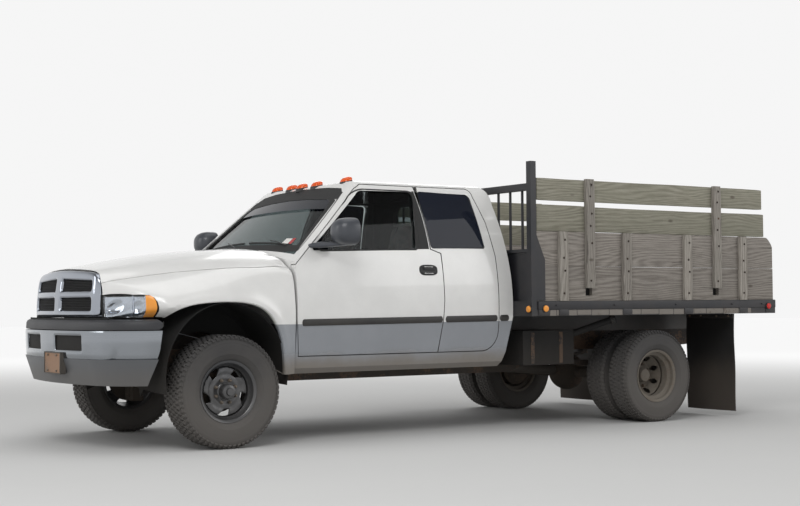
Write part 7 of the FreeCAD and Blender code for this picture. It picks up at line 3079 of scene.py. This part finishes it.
@dataclass
class Cabin:
    """Seats, steering wheel and dashboard."""

    seat_y: float = 0.44
    wheel_at: Point = (1.0875, 0.4, 1.275)
    wheel_way: Point = (-0.8575, 0.0, 0.5145)
    wheel_radius: float = 0.19

    def seats(self) -> None:
        """Makes two front seats with high backs and a rear bench."""
        for side in Side:
            y, word = self.seat_y * side.value, side.word
            low = (
                (0.735, 0.965, 0.5, y, 0.19), (0.78, 0.985, 0.49, y, 0.2), (0.85, 0.985, 0.49, y, 0.2),
                (0.895, 0.96, 0.5, y, 0.185),
            )
            high = (
                (0.9, 0.475, 0.375, y, 0.19),
                (1.0, 0.468, 0.36, y, 0.205),
                (1.2, 0.443, 0.342, y, 0.21),
                (1.35, 0.422, 0.33, y, 0.2),
                (1.45, 0.408, 0.322, y, 0.17),
                (1.53, 0.396, 0.315, y, 0.135),
                (1.6, 0.386, 0.31, y, 0.12),
                (1.655, 0.372, 0.31, y, 0.09),
            )
            Cushion(f"front_seat_base_{word}", low).build(*(("seats",) if side is Side.LEFT else ()))
            Cushion(f"front_seat_back_{word}", high, radius=0.035).build()
            # A near-black strip paints the shade in the slit of the seat cover.
            path = [
                (0.4 - 0.17 * (z - 1.45) + 0.023, y + 0.012 * math.sin(z * 40), z)
                for z in (1.44, 1.48, 1.53, 1.58, 1.62)
            ]
            ride(strip(f"cover_slit_{word}", path, 0.02, 0.006, PAINTED_SHADE, 6), "chassis", "fabric")
        middle = (
            (0.735, 0.95, 0.5, 0.0, 0.2), (0.79, 0.965, 0.49, 0.0, 0.205), (0.86, 0.96, 0.49, 0.0, 0.2),
            (0.88, 0.95, 0.5, 0.0, 0.19),
        )
        Cushion("front_seat_middle", middle, radius=0.03).build()
        bench = (
            (0.735, 0.11, -0.11, 0.0, 0.6), (0.79, 0.12, -0.115, 0.0, 0.62), (0.85, 0.12, -0.115, 0.0, 0.62),
            (0.885, 0.1, -0.11, 0.0, 0.6),
        )
        Cushion("rear_bench_base", bench, voxel=0.018, seams=(-0.4, -0.2, 0.0, 0.2, 0.4)).build()
        rest = (
            (0.9, -0.155, -0.24, 0.0, 0.6), (1.1, -0.165, -0.245, 0.0, 0.62), (1.3, -0.18, -0.248, 0.0, 0.62),
            (1.375, -0.195, -0.245, 0.0, 0.6),
        )
        Cushion("rear_bench_back", rest, voxel=0.018, radius=0.025, seams=(-0.4, -0.2, 0.0, 0.2, 0.4)).build()
        plinths = [
            brick((0.46, -0.64, 0.712), (0.96, 0.64, 0.74), 0.006, 2),
            brick((0.385, -0.62, 0.712), (0.47, 0.62, 0.93), 0.006, 2),
            brick((-0.2, -0.62, 0.712), (0.1, 0.62, 0.74), 0.006, 2),
        ]
        ride(built("seat_plinths", *merged(*plinths), SEAT_VINYL), "chassis", "fabric")

    def wheel(self) -> None:
        """Makes the steering wheel's ring, spokes, hub and column."""
        turn = Vector(self.wheel_way).to_track_quat("Z", "Y").to_matrix()
        centre = Vector(self.wheel_at)
        ring, steps, sides = [], 72, 14
        for number in range(steps):
            angle = math.tau * number / steps
            out = Vector((math.cos(angle), math.sin(angle), 0))
            tube = []
            for k in range(sides):
                bend = math.tau * k / sides
                rise = Vector((0, 0, 0.0145 * math.sin(bend)))
                tube.append(tuple(out * (self.wheel_radius + 0.0125 * math.cos(bend)) + rise))
            ring.append(tube)
        points = [point for tube in ring for point in tube]
        shapes = [(points, rings_to_faces(steps, sides, True, True))]
        for angle in (0.0, math.pi, math.radians(232), math.radians(308)):
            rings = []
            for k in range(7):
                reach = 0.03 + (self.wheel_radius - 0.03) * k / 6
                half = 0.024 - 0.011 * math.sin(math.pi * k / 6)
                out = Vector((math.cos(angle), math.sin(angle), 0))
                across = Vector((-math.sin(angle), math.cos(angle), 0))
                dip = -0.012 * math.cos(math.pi * k / 12)
                section = rounded([(-half, -0.006), (half, -0.006), (half, 0.007), (-half, 0.007)], 0.006, 3)
                rings.append([tuple(out * reach + across * u + Vector((0, 0, dip + v))) for u, v in section])
            shapes.append(loft(rings))
        hub = [(0.062, -0.03), (0.074, -0.015), (0.073, 0.004), (0.062, 0.014), (0.03, 0.02), (0.006, 0.021)]
        shapes.append(
            loft([[(x, 0.8 * y, z) for x, y, z in circle(radius, height, 40)] for radius, height in hub])
        )
        column = [(0.03, -0.025), (0.034, -0.05), (0.04, -0.09), (0.046, -0.115)]
        shapes.append(loft([circle(radius, height, 28) for radius, height in column]))
        points, faces = merged(*shapes)
        placed = [tuple(centre + turn @ Vector(point)) for point in points]
        ride(
            built("steering_wheel_dress", placed, faces, TRIM, 45.0),
            "chassis",
            "black_plastic",
            "steering_wheel",
        )

    def dashboard(self) -> None:
        """Makes the dashboard with its hood over the dials, vents and handles."""
        rings = []
        count = 68
        for k in range(count + 1):
            y = -0.848 + 1.696 * k / count
            hood = math.exp(-(((y - 0.4) / 0.2) ** 4))
            crown = 0.012 * math.cos(y * 1.5)
            profile = [
                (1.569, 1.012),
                (1.569, 1.285),
                (1.45, 1.322 + crown),
                (1.275 - 0.02 * hood, 1.318 + 0.008 * hood + crown),
                (1.225 - 0.018 * hood, 1.285),
                (1.252 + 0.02 * hood, 1.265),
                (1.235, 1.17),
                (1.225, 1.13),
                (1.262, 1.012),
            ]
            rings.append([(x, y, z) for x, z in rounded(profile, 0.022, 3)])
        body = built("dash_body", *loft(rings), DASH, 40.0)
        dark = []
        for y in (-0.7, -0.13, 0.02, 0.68):
            for k in range(4):
                z = 1.188 + 0.016 * k
                dark.append(brick((1.233, y - 0.055, z), (1.247, y + 0.055, z + 0.009), 0.002, 2))
        knob = ((1.25, 0.017), (1.222, 0.017), (1.214, 0.014), (1.213, 0.004))
        for y in (-0.13, -0.055, 0.02):
            rings = [
                [(x, y + u, 1.09 + v) for u, v, x in circle(radius, depth, 20)] for depth, radius in knob
            ]
            dark.append(loft(rings))
        dark.append(brick((1.228, -0.145, 1.124), (1.245, 0.035, 1.172), 0.003, 2))
        dark.append(brick((1.247, 0.25, 1.185), (1.256, 0.55, 1.262), 0.004, 2))
        dark.append(brick((1.238, -0.66, 1.028), (1.249, -0.655, 1.15), 0.001, 1))
        dark.append(brick((1.238, -0.24, 1.028), (1.249, -0.235, 1.15), 0.001, 1))
        latch = brick((1.229, -0.49, 1.125), (1.241, -0.41, 1.143), 0.003, 2)
        pieces = [body, built("dash_dark", *merged(*dark), TRIM), built("dash_bright", *latch, SEAT_VINYL)]
        ride(joined("dashboard_dress", pieces), "chassis", "grey_plastic", "dashboard")

    def build(self) -> None:
        """Builds the cabin."""
        self.seats()
        self.wheel()
        self.dashboard()


PARTS: tuple = (
    *(FrontWheel(side) for side in Side),
    *(TwinWheel(side) for side in Side),
    *(SideTrim(side) for side in Side),
    Windscreen(),
    *(DoorMirror(side) for side in Side),
    RoofLamps(),
    Nose(),
    Grille(),
    Headlamps(),
    Bumper(),
    *(SideBoards(side) for side in Side),
    Deck(),
    Fittings(),
    Cabin(),
)


# The stage


@dataclass
class Studio:
    """The floor, the lamps and the camera."""

    eye: Point = (6.76134, 9.96328, 1.00673)
    yaw: float = 0.5914
    pitch: float = 0.0358
    roll: float = -0.0073
    lens: float = 64.08
    floor_half: float = 60.0
    floor_color: Rgb = (0.62, 0.62, 0.61)
    glow_from: float = 4.5
    glow_to: float = 17.0
    glow: float = 0.86
    sky: float = 0.92
    light: float = 0.45
    aim: Point = (0.0, 0.0, 0.9)

    def camera(self) -> None:
        """Puts the camera at the photograph's angle."""
        data = bpy.data.cameras.new("view")
        data.lens = self.lens
        data.sensor_width = 36.0
        data.sensor_fit = "HORIZONTAL"
        data.clip_end = 200.0
        ahead = Vector(
            (
                -math.sin(self.yaw) * math.cos(self.pitch),
                -math.cos(self.yaw) * math.cos(self.pitch),
                math.sin(self.pitch),
            )
        )
        across = ahead.cross(Vector((0, 0, 1))).normalized()
        over = across.cross(ahead)
        right = across * math.cos(self.roll) + over * math.sin(self.roll)
        up = over * math.cos(self.roll) - across * math.sin(self.roll)
        turn = Matrix((right, up, -ahead)).transposed().to_4x4()
        camera = linked("view", data)
        camera.matrix_world = Matrix.Translation(self.eye) @ turn
        bpy.context.scene.camera = camera

    def floor(self) -> None:
        """Lays a plain pale floor that keeps the truck's shadow."""
        half = self.floor_half
        mesh = bpy.data.meshes.new("floor")
        mesh.from_pydata(
            [(-half, -half, 0), (half, -half, 0), (half, half, 0), (-half, half, 0)], [], [(0, 1, 2, 3)]
        )
        made = bpy.data.materials.new("pale_floor")
        tree = emptied(made)
        tone = noise(tree, spot(tree), 0.8, 3.0)
        color = blend(tree, tone, self.floor_color, (0.6, 0.6, 0.595))
        away = put(tree, "ShaderNodeVectorMath", {0: spot(tree)}, operation="LENGTH").outputs["Value"]
        glow = span(tree, away, self.glow_from, self.glow_to, 0.0, self.glow)
        color = blend(tree, span(tree, away, 5.0, 20.0), color, (0.06, 0.06, 0.06))
        shader = put(
            tree,
            "ShaderNodeBsdfPrincipled",
            {"Base Color": color, "Roughness": 0.9, "Emission Strength": glow},
        )
        shader.inputs["Emission Color"].default_value = (1.0, 1.0, 1.0, 1.0)
        put(tree, "ShaderNodeOutputMaterial", {"Surface": shader.outputs[0]})
        mesh.materials.append(made)
        linked("floor", mesh)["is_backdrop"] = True

    def lamps(self) -> None:
        """Hangs soft lamps and lights the world plainly."""
        table = (
            ("key", (7.0, 7.5, 8.5), 5.0, 455.0),
            ("fill", (-7.5, 9.0, 6.0), 6.0, 215.0),
            ("front", (11.0, -3.0, 5.0), 5.0, 195.0),
            ("back", (-6.0, -9.0, 7.0), 6.0, 185.0),
            ("top", (0.0, 0.0, 10.0), 7.0, 180.0),
        )
        for name, place, size, power in table:
            data = bpy.data.lights.new(name, "AREA")
            data.size = size
            data.energy = power
            back = -(Vector(self.aim) - Vector(place))
            turn = back.to_track_quat("Z", "Y").to_matrix().to_4x4()
            linked(name, data).matrix_world = Matrix.Translation(place) @ turn
        world = bpy.data.worlds.new("studio")
        tree = emptied(world)
        rays = put(tree, "ShaderNodeLightPath").outputs
        height = parts_of(tree, put(tree, "ShaderNodeTexCoord").outputs["Generated"])[2]
        shiny = calc(tree, "MAXIMUM", rays["Is Glossy Ray"], rays["Is Transmission Ray"])
        dome = span(tree, height, 0.12, 0.75, self.sky, 0.3)
        shown = calc(tree, "MULTIPLY", rays["Is Camera Ray"], self.sky)
        power = calc(
            tree, "MAXIMUM", self.light, calc(tree, "ADD", shown, calc(tree, "MULTIPLY", shiny, dome))
        )
        color = blend(tree, shiny, grey(tree, power), grey(tree, dome))
        sky = put(tree, "ShaderNodeBackground", {"Color": color, "Strength": 1.0})
        put(tree, "ShaderNodeOutputWorld", {"Surface": sky.outputs[0]})
        bpy.context.scene.world = world

    def build(self) -> None:
        """Sets up the stage."""
        bpy.context.scene.view_settings.view_transform = "Standard"
        self.camera()
        self.floor()
        self.lamps()


def corners(found: object) -> list[list[float]]:
    """Turns a box into plain lists."""
    return [[float(value) for value in corner] for corner in found]


def main() -> None:
    """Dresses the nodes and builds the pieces."""
    logging.basicConfig(level=logging.INFO, format="%(name)s: %(message)s")
    cad = corners(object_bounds())
    Studio().build()
    dress_nodes()
    for part in PARTS:
        part.build()
        LOG.info("built %s", type(part).__name__)
    {"cad": cad, "visual": corners(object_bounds())}


if __name__ == "__main__":
    main()
